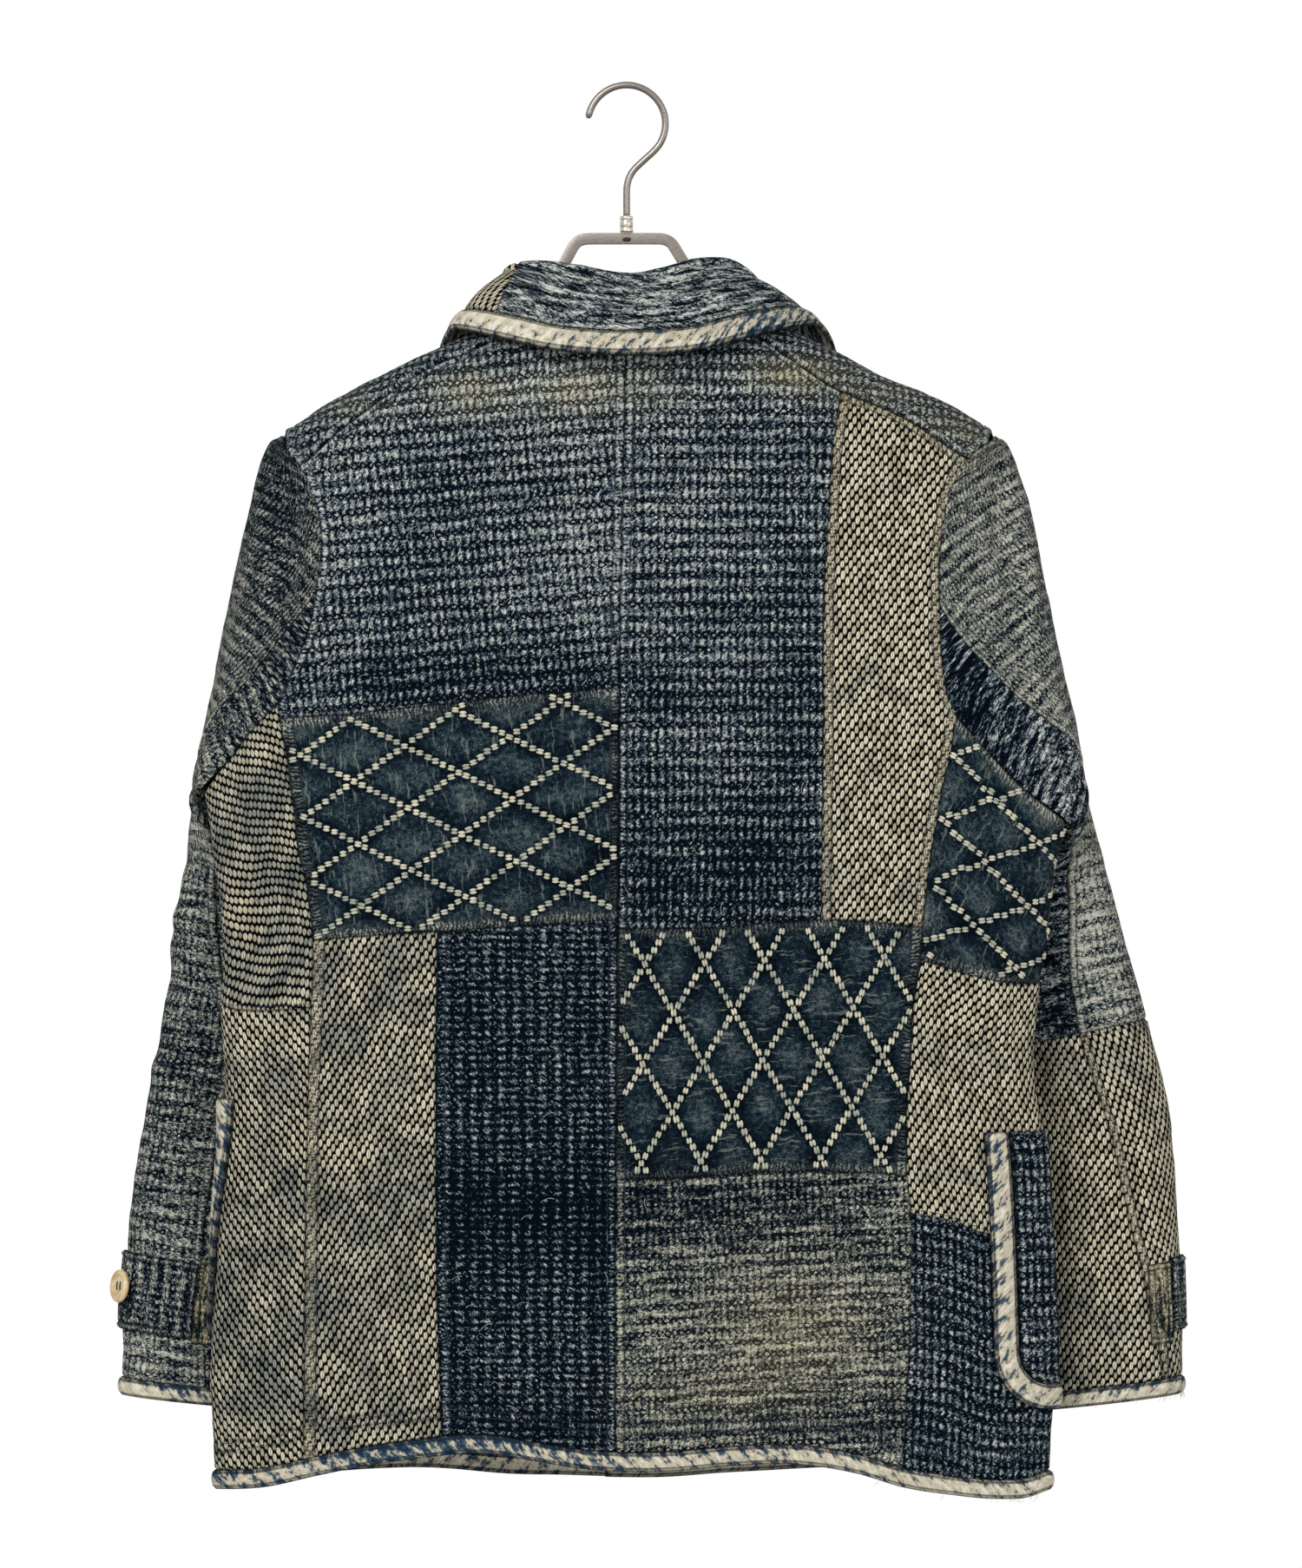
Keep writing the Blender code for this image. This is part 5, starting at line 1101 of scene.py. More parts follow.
def sleeveOval(side, phi, z):
    # the sleeve's section at a height, for each turn round it
    table = sleeveTables[side]
    wide, deep, turn = table["wide"](z), table["deep"](z), np.radians(table["turn"](z))
    reach = np.sqrt((wide * np.cos(turn)) ** 2 + (deep * np.sin(turn)) ** 2)
    middle = table["outer"](z) - reach
    a, b = wide * np.cos(np.radians(phi)), deep * np.sin(np.radians(phi))
    out = a * np.cos(turn) - b * np.sin(turn)
    y = table["depth"](z) - a * np.sin(turn) - b * np.cos(turn)
    return stack(signOf[side] * (middle + out), y, z + table["rise"](z) * out / reach)


def sleevePoint(side, turn, t):
    # a place on the sleeve: t is 0 at the armhole and 1 at the cuff
    sign = signOf[side]
    turn, t = np.broadcast_arrays(np.asarray(turn, float), np.asarray(t, float))
    cap = caps[side]
    turn = np.mod(turn, 360)
    start = rings[side](cap["ring"](turn))
    middle = stack(sign * cap["out"](turn), cap["depth"](turn), cap["z"](turn))
    phi = cap["oval"](turn)
    foot = sleeveOval(side, phi, np.full(phi.shape, float(capFoot)))
    below = sleeveOval(side, phi, np.full(phi.shape, capFoot - 10.0))
    middleWay = 0.75 * (foot - middle) + 0.15 * (middle - start)
    startWay = 1.5 * (middle - start) - headLift * middleWay
    middleWay = middleWay + stack(sign * cap["flare"](turn), 0, 0)
    footWay = (below - foot) / 10 * np.linalg.norm(foot - middle, axis=-1)[..., None]

    def run(s, p0, m0, p1, m1):
        s = np.clip(s, 0, 1)[..., None]
        return (
            (2 * s**3 - 3 * s**2 + 1) * p0 + (s**3 - 2 * s**2 + s) * m0
            + (3 * s**2 - 2 * s**3) * p1 + (s**3 - s**2) * m1
        )

    s = t / capShare * 2
    high = run(s, start, startWay, middle, middleWay)
    low = run(s - 1, middle, middleWay, foot, footWay)
    z = capFoot + (cuffEdge - capFoot) * np.clip((t - capShare) / (1 - capShare), 0, 2)
    lower = sleeveOval(side, phi, z)
    return np.where((s < 1)[..., None], high, np.where((s < 2)[..., None], low, lower))


def sleeveShare(z):
    # t at a height below the cap
    return capShare + (1 - capShare) * (capFoot - z) / (capFoot - cuffEdge)


def rowShare(tFrom, tTo, v):
    # rows closer together near the armhole
    first, last = (0.0 if t == 0 else (t / (1 + capShare * (1 - t))) for t in (tFrom, tTo))
    packed = first + (last - first) * v
    return packed * (1 + capShare) / (1 + capShare * packed)


def sleevePatch(side, piece, tFrom, tTo):
    # the outer or the under piece of a sleeve, between two shares of its length
    def surface(u, v):
        t = rowShare(tFrom, tTo, v)
        seam = backSeams[side](t)
        if piece == "outer":
            return sleevePoint(side, frontSleeveSeam - 360 + (seam + 360 - frontSleeveSeam) * u, t)
        start, span = underTurns[0], underTurns[-1] - underTurns[0]
        turn = np.interp(u, np.linspace(0, 1, len(underTurns)), underTurns)
        pull = np.minimum(0.8 * span / (seam - start + 1), 6)
        return sleevePoint(side, turn + (seam - start) * ((underTurns[-1] - turn) / span) ** pull, t)
    return surface


# Collar: its fold and its outer edge, at turns round the neck (0 centre back, 180 centre front).
collarColumns = ("turn", "foldX", "foldY", "foldZ", "edgeX", "edgeY", "edgeZ")
collarRows = [
    (-172, -12, 66, -249, -20, 78, -314), (-156, -40, 62, -229, -58, 76, -302),
    (-136, -60, 52, -203, -92, 68, -268), (-114, -74, 32, -169, -109, 54, -220),
    (-94, -80, 10, -142, -117, 30, -171), (-76, -79, -10, -128, -111, 0, -151),
    (-56, -72, -22, -121, -103, -26, -147), (-38, -48, -27, -121, -77, -46, -152),
    (-20, -24, -29, -124.5, -42, -57, -160), (0, 0, -30, -128.5, 0, -61, -163),
    (20, 24, -29, -125.5, 42, -57, -160), (38, 46, -27, -119, 75, -46, -151.5),
    (56, 65, -22, -118, 103, -26, -146), (76, 83, -10, -128.5, 119, 0, -148),
    (94, 88, 10, -144, 130, 30, -168), (114, 82, 32, -170, 125, 54, -214),
    (136, 66, 52, -204, 103, 68, -264), (156, 43, 62, -229, 62, 76, -300),
    (172, 14, 66, -249, 22, 78, -314),
]
collarWall = 2.4
collarPatchSeam = (-68, -44)
collarEnd = 172
collarTapeWall = 2.8
collarTape = 17
foldRound = 4.6
collarRise = 4.2
collarBulge = 3.0
standEnds, fallStarts = 0.42, 0.58  # shares of the collar's width: below the fold, and past it
neckHalf = 86
frontNeckEnd = 91.5
collar = tableReader(collarColumns, collarRows)


def neckRing():
    # the closed line of the neck, by turns from the centre back
    def seam(name, end, count):
        x = np.linspace(0, end, count)
        z = across[name](x)
        return stack(x, torsoDepth(x, z, name == "frontNeck"), z)

    backLeft, backRight = seam("leftShoulder", -neckHalf, 40), seam("rightShoulder", neckHalf, 40)
    frontLeft = seam("frontNeck", -frontNeckEnd, 60)
    frontRight = seam("frontNeck", acrossSeams["frontNeck"][-1][0] - 0.5, 60)
    ring = np.concatenate([frontLeft, backLeft[::-1], backRight[1:], frontRight[::-1]])
    lengths = runLengths(ring)
    middle = lengths[len(frontLeft) + len(backLeft) - 1]
    turn = np.where(lengths < middle, -180 + 180 * lengths / middle,
                    180 * (lengths - middle) / (lengths[-1] - middle))

    return lambda at: placesAt(at, turn, ring)


neck = neckRing()


def collarPoint(turn, v):
    # a place on the collar: v runs up the stand, over the fold and down the fall
    turn, v = np.broadcast_arrays(np.asarray(turn, float), np.asarray(v, float))
    seam = neck(turn) + np.array([0, 0, collarRise])
    fold = stack(collar["foldX"](turn), collar["foldY"](turn), collar["foldZ"](turn))
    edge = stack(collar["edgeX"](turn), collar["edgeY"](turn), collar["edgeZ"](turn))
    run = [collar[name](turn + 3) - collar[name](turn - 3) for name in ("foldX", "foldY")]
    outward = unit(stack(run[1], -run[0], 0 * turn))
    inner, outer = fold - outward * foldRound, fold + outward * foldRound
    up = np.array([0, 0, 1.0])
    stand = np.clip(v / standEnds, 0, 1)[..., None]
    fall = np.clip((v - fallStarts) / (1 - fallStarts), 0, 1)[..., None]
    over = np.clip((v - standEnds) / (fallStarts - standEnds), 0, 1)[..., None] * math.pi
    standRun = seam + (inner - seam) * stand + outward * (collarBulge * np.sin(stand * math.pi))
    arch = fold - outward * foldRound * np.cos(over) + up * foldRound * np.sin(over)
    fallRun = outer + (edge - outer) * fall + (outward * collarBulge + up) * np.sin(fall * math.pi)
    folded = np.where((v < fallStarts)[..., None], arch, fallRun)
    return np.where((v < standEnds)[..., None], standRun, folded)


def collarTapePoint(turn, v):
    # a place on the tape that lengthens the fall
    edge = collarPoint(turn, np.ones(np.shape(turn)))
    before = collarPoint(turn, np.full(np.shape(turn), 0.93))
    return edge + unit(edge - before) * (0.8 + (collarTape - 0.8) * v[..., None])


def slopes(surface, u, v, step=2e-3):
    # the two directions of a surface at u and v
    u0, u1 = np.clip(u - step, 0, 1), np.clip(u + step, 0, 1)
    v0, v1 = np.clip(v - step, 0, 1), np.clip(v + step, 0, 1)
    alongU = (surface(u1, v) - surface(u0, v)) / (u1 - u0)[..., None]
    alongV = (surface(u, v1) - surface(u, v0)) / (v1 - v0)[..., None]
    return alongU, alongV


def torsoCore(point):
    # a place well inside the body, to tell the outside of the cloth by
    return np.stack([point[..., 0] * 0.55, np.full(point[..., 0].shape, -4.0), point[..., 2] - 30], axis=-1)


def sleeveCore(side):
    # the same inside a sleeve, leaning to the body near the armhole
    def core(point):
        z = point[..., 2]
        t = np.clip(sleeveShare(np.minimum(z, capFoot)), 0, 1.1)
        low = np.stack([sleevePoint(side, 0 * z + phi, t) for phi in (0, 90, 180, 270)]).mean(axis=0)
        high = stack(np.sign(low[..., 0]) * 235, 5 + 0 * z, z - 15)
        share = smoothStep((z - capFoot) / 120)[..., None]
        return low * (1 - share) + high * share
    return core


def collarCore(point):
    return np.stack([point[..., 0] * 0.6, point[..., 1] * 0.6, point[..., 2] - 60], axis=-1)


def backEdge(side, joinZ):
    # the back's outer edge: the armhole above, the side seam below
    return lambda z: np.where(z < joinZ, down[side + "BackSide"](z), down[side + "Armhole"](z))


def collarPatch(first, last):
    # a stretch of the collar; each end is a turn at the neck seam and a turn at the outer edge
    def surface(u, v):
        up = np.interp(v, [0, 0.25, 0.75, 1], [0, standEnds, fallStarts, 1])
        start, end = (ends[0] + (ends[1] - ends[0]) * up for ends in (first, last))
        return collarPoint(start + (end - start) * u, up)
    return surface


def collarTapeRun(u, v):
    return collarTapePoint(collarEnd * (2 * u - 1), v)


def hemTape(u, v):
    # the tape below the hem, from one front edge round the back to the other
    middle = down["centreBack"](-914)
    first = -2 - np.arcsin((frontOverlap - middle) / (middle - body["left"](-914))) / quarterTurn
    last = 2 + np.arcsin((middle + frontUnderlap) / (body["right"](-914) - middle)) / quarterTurn
    w = first + (last - first) * u
    level = np.where(w < 0, hemLevels["left"](np.abs(w)), hemLevels["right"](np.abs(w)))
    x = middle + (body["right"](-914) - middle) * np.sin(w * quarterTurn)
    push = np.where(w > 1.7, pushUnder(x), 0.0)
    return wrapPoint(w, level - hemTapeHeight * (1 - v), push)


def cuffTapeRun(side):
    # the tape round the end of a sleeve
    perMillimetre = (1 - capShare) / (capFoot - cuffEdge)

    def surface(u, v):
        return sleevePoint(side, 360 * u, 1 + cuffTape * (1 - v) * perMillimetre)
    return surface


def aroundSide(side, z):
    # the turn w for each length from the side edge
    w = np.linspace(0.2, 1.9, 400)
    points = wrapPoint(signOf[side] * w, np.full(w.shape, float(z)))
    lengths = runLengths(points)
    lengths -= np.interp(1, w, lengths)
    return lambda s: np.interp(s, lengths, w)


def onSide(side, s, z):
    # a place on a pocket, by its length from the side edge
    pocket = pockets[side]
    w = pocketTurns[side](s + pocket["slant"] * (z - pocket["top"]))
    return wrapPoint(signOf[side] * w, z)


def pocketBag(side):
    # the pocket's cloth inside its tape
    pocket = pockets[side]
    radius = pocketCorner - pocketTape
    low = pocket["bottom"] + pocketTape

    def surface(u, v):
        z = low + (pocket["top"] - low) * np.maximum(v, 0) ** 1.5
        rise = np.clip(z - low, 0, radius)
        inset = pocketTape + 2 + radius - np.sqrt(np.maximum(radius**2 - (radius - rise) ** 2, 0))
        shift = pocket["slant"] * (z - pocket["top"])
        first = pocketTurns[side](pocket["back"] + inset + shift)
        last = pocketTurns[side](pocket["front"] - inset + shift)
        return wrapPoint(signOf[side] * (first + (last - first) * u), z)

    return surface


def pocketOutline(side, inset):
    # the pocket's sides and rounded bottom, as lengths and heights
    pocket = pockets[side]
    back, front, bottom = pocket["back"] + inset, pocket["front"] - inset, pocket["bottom"] + inset
    radius = pocketCorner - inset
    turns = np.radians(np.linspace(0, 90, 16))
    backCorner = [(back + radius * (1 - np.cos(q)), bottom + radius * (1 - np.sin(q))) for q in turns]
    frontCorner = [(front - radius * (1 - np.cos(q)), bottom + radius * (1 - np.sin(q)))
                   for q in turns[::-1]]
    along = [(s, bottom) for s in np.linspace(back + radius, front - radius, 60)[1:-1]]
    return np.array([(back, pocket["top"]), *backCorner, *along, *frontCorner, (front, pocket["top"])])


def pocketTapeRun(side):
    # the tape round the pocket, from its outline inward
    outer, inner = pocketOutline(side, 0), pocketOutline(side, pocketTape)
    nearEdge = 1 + 5 * np.exp(-((outer[1:, 0] / 20) ** 2)) * (outer[1:, 1] < pockets[side]["bottom"] + 1)
    lengths = np.r_[0, np.cumsum(np.hypot(*np.diff(outer, axis=0).T) * nearEdge)]
    lengths /= lengths[-1]

    def surface(u, v):
        inside, outside = placesAt(u, lengths, inner), placesAt(u, lengths, outer)
        flat = inside * (1 - v[..., None]) + outside * v[..., None]
        return onSide(side, flat[..., 0], flat[..., 1])

    return surface


def cuffStrip(side, turns, levels):
    # a strip of cloth on a sleeve, between two turns and two heights
    def surface(u, v):
        z = levels[0] + (levels[1] - levels[0]) * v
        return sleevePoint(side, turns[0] + (turns[1] - turns[0]) * u, sleeveShare(z))
    return surface


print("stage: cloth forms")


def softNoise(x, y, step, seed):
    # smooth random swells between -1 and 1, one to each step
    cells = 64
    grid = np.random.default_rng(seed).uniform(-1, 1, (cells, cells))
    i, j = np.floor(x / step).astype(int), np.floor(y / step).astype(int)
    fx, fy = smoothStep(x / step - i), smoothStep(y / step - j)
    near, far = (grid[k % cells, j % cells] * (1 - fy) + grid[k % cells, (j + 1) % cells] * fy
                 for k in (i, i + 1))
    return near * (1 - fx) + far * fx


def awayFrom(x, z, run):
    # the distance to a run of points, and the share of its length at the nearest place
    best, share = np.full(np.shape(x), 1e9), np.zeros(np.shape(x))
    run = np.array(run, float)
    steps = np.hypot(*np.diff(run, axis=0).T)
    total, before = steps.sum(), np.r_[0, np.cumsum(steps)]
    for k, (a, b) in enumerate(zip(run[:-1], run[1:])):
        way = b - a
        t = np.clip(((x - a[0]) * way[0] + (z - a[1]) * way[1]) / (way @ way), 0, 1)
        away = np.hypot(x - a[0] - t * way[0], z - a[1] - t * way[1])
        share = np.where(away < best, (before[k] + t * steps[k]) / total, share)
        best = np.minimum(best, away)
    return best, share


def relief(points, normals, creases):
    # how far the cloth stands off its plain form: soft swells everywhere, and the creases of one part
    x, y, z = points[..., 0], points[..., 1], points[..., 2]
    aside = x + 0.8 * y
    total = (softNoise(aside, z, 44, 3) * 1.1 + softNoise(aside, z, 19, 4) * 0.55
             + softNoise(aside * 1.3, z, 8.5, 5) * 0.28)
    for run, width, height, side in creases:
        away, share = awayFrom(x, z, run)
        ends = np.sin(np.pi * np.clip(share, 0.04, 0.96)) ** 0.6
        turned = smoothStep(0.5 - side * normals[..., 1] * 2.0)
        total = total + height * np.exp(-((away / width) ** 2)) * ends * turned
    return total


def spots(length, fine, coarse, reach, every=4):
    # places along an edge, close together near both ends; their number suits the coarser inner face
    reach = min(reach, length * 0.3)
    near = np.arange(0, reach, fine)
    inner = max(2, int(round((length - 2 * reach) / coarse)))
    while (2 * len(near) + inner - 1) % every:
        inner += 1
    middle = np.linspace(near[-1], length - near[-1], inner + 2)[1:-1]
    return np.r_[near, middle, (length - near)[::-1]] / length


def onPlan(base, aside, rounded):
    # where a patch's pattern is read: straight from behind, and along the cloth once it turns to the side
    x = base[..., 0]
    if rounded:
        steps, lengths = np.diff(x, axis=0), np.diff(aside, axis=0)
        run = np.cumsum(np.where(steps > 0.5 * lengths, steps, lengths), axis=0)
        x = x[:1] + np.concatenate([0 * run[:1], run])
    return np.stack([x, base[..., 2]], axis=-1)


def betweenRows(plan, lattice):
    # 1 in the middle of each diamond, 0 on the stitched rows
    origin, right, low = (np.array(lattice[k], float) for k in ("origin", "across", "down"))
    steps = np.linalg.solve(np.stack([right, low], axis=1), (plan - origin).reshape(-1, 2).T)
    i, j = steps.reshape(2, *plan.shape[:2])
    return np.abs(np.sin(np.pi * (i + j)) * np.sin(np.pi * (i - j))) ** 0.7


# The upper of the two stitched rows above the hem tape on each panel, as (x, z).
hemRows = {"apart": 4.5, "middle": 2.2}
hemLine = {
    "backLeftCream": [(-208, -874), (-195, -880), (-158, -876), (-124, -872)],
    "backLeftIndigo": [(-120, -872), (-112, -872), (-75, -874), (-30, -881), (-8, -883)],
    "backRightLower": [(-5, -883), (10, -883), (49, -881), (110, -879), (152, -882), (180, -893)],
    "sideLeftLower": [(-268, -896), (-231, -891), (-216, -885)],
    "sideRightLower": [(190, -895), (254, -901), (276, -896)],
}
made = {}


def nearness(gap, width, power=2):
    # 1 at 0, falling away to either side
    return np.exp(-((gap / width) ** power))


def seamRelief(away, strips, dip):
    # height, wear, ribs and the painted shade of the grooves that the seams press in; a strip is the width
    # folded under, None is free
    height = np.zeros(away["left"].shape)
    wear, grooveShade = np.zeros_like(height), np.zeros_like(height)
    ribs = {"up": np.zeros_like(height), "across": np.zeros_like(height)}
    for edge, strip in strips.items():
        gap = away[edge]
        if strip is None:  # a free edge, rolled over
            height = height - 0.9 * nearness(gap, 1.3)
            continue
        height = height - dip * nearness(gap, 1.5)
        # painted shade along the seam line, partly the dark join itself
        grooveShade = np.maximum(grooveShade, nearness(gap, 1.0))
        if strip:
            band = smoothStep((gap - 0.6) / 1.2) * smoothStep((strip + 0.6 - gap) / 1.4)
            height = height + 0.75 * band - 0.55 * nearness(gap - strip - 0.4, 1.0)
            grooveShade = np.maximum(grooveShade, 0.55 * nearness(gap - strip - 0.4, 0.7))
            kind = "up" if edge in ("left", "right") else "across"
            ribs[kind] = np.maximum(ribs[kind], band)
            wear = wear + 0.05 * band
        else:
            wear = wear + 0.06 * nearness(gap - 3.0, 3.0)
    return height, wear, ribs, grooveShade


def clothGrid(surface, grid, core, facing):
    # the places of a shell's outer face, its outward normals, and whether its faces have to be turned over
    over = 0.3  # how far the cloth runs past its solid, to close the seam
    line = np.linspace(0, 1, 40)
    u, v = np.meshgrid(line, line, indexing="ij")
    trial = surface(u, v)
    wide = float(runLengths(trial, 0)[-1].mean())
    tall = float(runLengths(trial, 1)[:, -1].mean())
    us, vs = spots(wide, *grid), spots(tall, *grid)
    us = us * (1 + 2 * over / wide) - over / wide
    vs = vs * (1 + 2 * over / tall) - over / tall
    u, v = np.meshgrid(us, vs, indexing="ij")
    base = surface(u, v)
    alongU, alongV = slopes(surface, np.clip(u, 0, 1), np.clip(v, 0, 1))
    normals = np.cross(alongU, alongV)
    normals /= np.linalg.norm(normals, axis=-1)[..., None] + 1e-9
    flip = (normals * (base - core(base)) * (v >= facing)[..., None]).sum() < 0
    return u, v, base, -normals if flip else normals, flip


def onGrain(flat, tilt):
    # the cloth's own x and y at each place, turned by the tilt of its grain
    turn = math.radians(tilt)
    return np.stack([flat[..., 0] * math.cos(turn) + flat[..., 1] * math.sin(turn),
                     -flat[..., 0] * math.sin(turn) + flat[..., 1] * math.cos(turn)], axis=-1)


def clothPiece(name, surface, fabric, node=None, core=torsoCore, wall=2.0, lift=0.0, creases=(), strips=None,
               tilt=0.0, flatAt=None, worn=0.5, stain=0.0, grid=(0.9, 2.6, 9.0), crown=0.0, swell=1.0,
               dip=1.5, facing=0.0, lattice=None, layer="front"):
    # a thin closed shell on a surface: fine outside, coarser inside, with its seams pressed in; lift stands
    # it off the surface, crown rounds a tape over, and swell and dip scale its folds and its seams
    node = node or "".join("_" + letter.lower() if letter.isupper() else letter for letter in name)
    strips = {"left": 0.0, "right": 0.0, "bottom": 0.0, "top": 0.0, **(strips or {})}
    u, v, base, normals, flip = clothGrid(surface, grid, core, facing)
    lengthU, lengthV = runLengths(base, 0), runLengths(base, 1)
    away = {"left": lengthU, "right": lengthU[-1:] - lengthU,
            "bottom": lengthV, "top": lengthV[:, -1:] - lengthV}
    height, wearAndShade, ribs, grooveShade = seamRelief(away, strips, dip)
    height = height + relief(base, normals, creases) * swell
    wearAndShade = wearAndShade + worn
    if crown:
        height = height + crown * np.sin(np.pi * np.clip(v, 0, 1)) ** 0.7
    if lattice:  # cloth pulled in by the crossing rows and puffed out between them
        puff = betweenRows(onPlan(base, away["left"], lattice.get("rounded")), lattice)
        rim = np.minimum(away["bottom"], away["top"])
        nearRim = nearness(rim, 9)
        height = height + 2.0 * puff * (1 - nearRim) - 0.8
        # paler on the puffs, and painted shade darkens it along the stitched rows
        wearAndShade = wearAndShade - 0.06 + 0.31 * puff ** 1.3 - 0.16 * nearness(puff, 0.3)
        wearAndShade = wearAndShade + nearRim * (0.36 + 0.3 * softNoise(base[..., 0], base[..., 2], 12, 9))
        ribs["across"] = np.maximum(ribs["across"], nearRim)
        # painted shade in the seam round the patch
        grooveShade = np.maximum(grooveShade, nearness(rim, 1.5))
    if name in hemLine:  # puckered between its two rows of stitches
        gap = awayFrom(base[..., 0], base[..., 2] + hemRows["middle"], hemLine[name])[0]
        gap = gap + 40 * (normals[..., 1] > -0.1)  # only where the cloth faces back
        stitched = nearness(gap - 3.4, 1.1)
        height = height + 0.6 * nearness(gap, 2.0) - 0.7 * stitched
        if fabric != "cream":
            ribs["across"] = np.maximum(ribs["across"], 0.9 * nearness(gap, 6, 4))
        # painted shade in the dips of the stitched rows
        grooveShade = np.maximum(grooveShade, 0.85 * stitched)
    outer = base + normals * (lift + height)[..., None]
    inner = base + normals * (lift + np.minimum(height * 0.6, 0.4) - wall)[..., None]
    if flatAt:
        flat = flatAt(u, v)
    else:
        flat = np.stack([lengthU - lengthU[len(u) // 2], lengthV - lengthV[:, -1:]], axis=-1)
    if abs(tilt) > 45:
        ribs["up"], ribs["across"] = ribs["across"], ribs["up"]
    stained = blobs(base, normals, stains)
    # wear by place from its table, with painted shade in the valleys along the armholes
    wearAndShade = wearAndShade + blobs(base, normals, fadesAndShade.get(layer, [])) + 0.2 * stained
    stainAt = stain + stained
    values = {"worn": wearAndShade, "stain": stainAt, "grooveShade": grooveShade,
              "ribsUp": ribs["up"], "ribsAcross": ribs["across"]}
    item = shellObject(name, outer, inner, onGrain(flat, tilt), values, flip)
    item.data.materials.append(fabrics[fabric])
    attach(item, "root")
    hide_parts(node)
    cells = np.cross(np.diff(base[:, :-1], axis=0), np.diff(base[:-1], axis=1))
    made[name] = {"outer": outer, "normals": normals, "away": away, "base": base, "strips": strips}


def shellObject(name, outer, inner, flat, values, flip, every=4):
    # the shell's mesh: each inner face lies behind four by four outer ones, and a rim closes it
    n, m = outer.shape[0] - 1, outer.shape[1] - 1
    top = np.arange((n + 1) * (m + 1)).reshape(n + 1, m + 1)
    keep = np.zeros((n + 1, m + 1), bool)
    keep[::every, ::every] = True
    keep[[0, -1], :] = keep[:, [0, -1]] = True
    low = np.full((n + 1, m + 1), -1)
    low[keep] = np.arange(keep.sum()) + top.size
    points = np.concatenate([outer.reshape(-1, 3), inner[keep]])
    squares = np.stack([top[:-1, :-1], top[1:, :-1], top[1:, 1:], top[:-1, 1:]], axis=-1)
    faces = squares.reshape(-1, 4).tolist()
    for i in range(0, n, every):
        for j in range(0, m, every):
            i1, j1 = i + every, j + every
            ring = [low[k, j] for k in (range(i, i1) if j == 0 else (i,))]
            ring += [low[i1, k] for k in (range(j, j1) if i1 == n else (j,))]
            ring += [low[k, j1] for k in (range(i1, i, -1) if j1 == m else (i1,))]
            ring += [low[i, k] for k in (range(j1, j, -1) if i == 0 else (j1,))]
            faces.append([int(k) for k in ring[::-1]])
    rim = [(k, 0) for k in range(n)] + [(n, k) for k in range(m)]
    rim += [(k, m) for k in range(n, 0, -1)] + [(0, k) for k in range(m, 0, -1)]
    for a, b in zip(rim, rim[1:] + rim[:1]):
        faces.append([int(low[a]), int(low[b]), int(top[b]), int(top[a])])
    if flip:
        faces = [face[::-1] for face in faces]
    mesh = bpy.data.meshes.new(name)
    mesh.from_pydata((points * mm).tolist(), [], faces)

    def spread(grid):
        return np.concatenate([grid.reshape(top.size, -1), grid[keep].reshape(keep.sum(), -1)])

    uv = mesh.uv_layers.new(name="cloth")
    corner = np.zeros(len(mesh.loops), int)
    mesh.loops.foreach_get("vertex_index", corner)
    uv.data.foreach_set("uv", spread(flat)[corner].astype(np.float32).ravel())
    for label, grid in values.items():
        layer = mesh.attributes.new(label, "FLOAT", "POINT")
        layer.data.foreach_set("value", spread(grid)[:, 0].astype(np.float32))
    mesh.polygons.foreach_set("use_smooth", [True] * len(mesh.polygons))
    mesh.update()
    item = bpy.data.objects.new(name, mesh)
    bpy.context.scene.collection.objects.link(item)
    return item


print("stage: cloth pieces")
leftEdge, rightEdge = backEdge("left", underarmSplit["left"]), backEdge("right", underarmSplit["right"])
middle, leftSide, rightSide = (down[name] for name in ("centreBack", "leftBackSide", "rightBackSide"))

# Fading by place on each layer, as x, z, half width, half height and how much paler; below zero is bluer, and
# two bluer spots on the sleeves are painted shade.
fadesAndShade = {
    "back": [
        (-60, -205, 110, 26, 0.16), (90, -195, 60, 22, 0.03), (-30, -300, 26, 60, 0.10),
        (20, -300, 60, 60, 0.08),
        (-150, -340, 60, 60, -0.06), (-90, -390, 120, 22, -0.22), (-100, -245, 50, 30, -0.06),
        (60, -520, 80, 40, -0.33), (110, -430, 22, 120, -0.16), (12, -480, 26, 90, -0.14),
        (70, -345, 60, 10, -0.12), (30, -780, 90, 40, 0.02), (90, -835, 90, 34, 0.06),
        (-40, -880, 120, 12, -0.10), (150, -880, 60, 14, -0.2), (-190, -300, 30, 90, 0.12),
        (0, -740, 180, 34, -0.3), (60, -400, 200, 18, -0.08), (-225, -820, 60, 60, -0.14),
        (-160, -600, 60, 40, -0.12), (250, -440, 40, 60, 0.10),
    ],
    "tape": [
        (-240, -895, 40, 40, 0.02), (-110, -895, 85, 40, -0.5), (20, -905, 120, 40, 0.08),
        (250, -905, 60, 40, 0.30), (-290, -868, 24, 30, -0.3), (-330, -868, 24, 30, 0.15),
        (325, -868, 40, 30, -0.10), (-90, -155, 50, 50, 0.22), (100, -150, 44, 40, -0.2),
        (10, -165, 40, 30, -0.05),
    ],
    "sleeve": [
        # the spots at (-232, -270) and (250, -480) are painted shade in the valleys along the armholes
        (-232, -270, 26, 80, -0.36), (-288, -460, 24, 60, 0.22), (300, -700, 60, 60, 0.16),
        (330, -760, 40, 90, 0.2), (300, -480, 30, 90, 0.12), (-320, -820, 60, 40, 0.15),
        (-300, -640, 40, 40, -0.16), (-270, -340, 22, 60, 0.10), (270, -460, 26, 60, 0.22),
        (300, -560, 40, 60, 0.18), (250, -480, 14, 60, -0.3), (245, -300, 26, 40, 0.12),
    ],
}
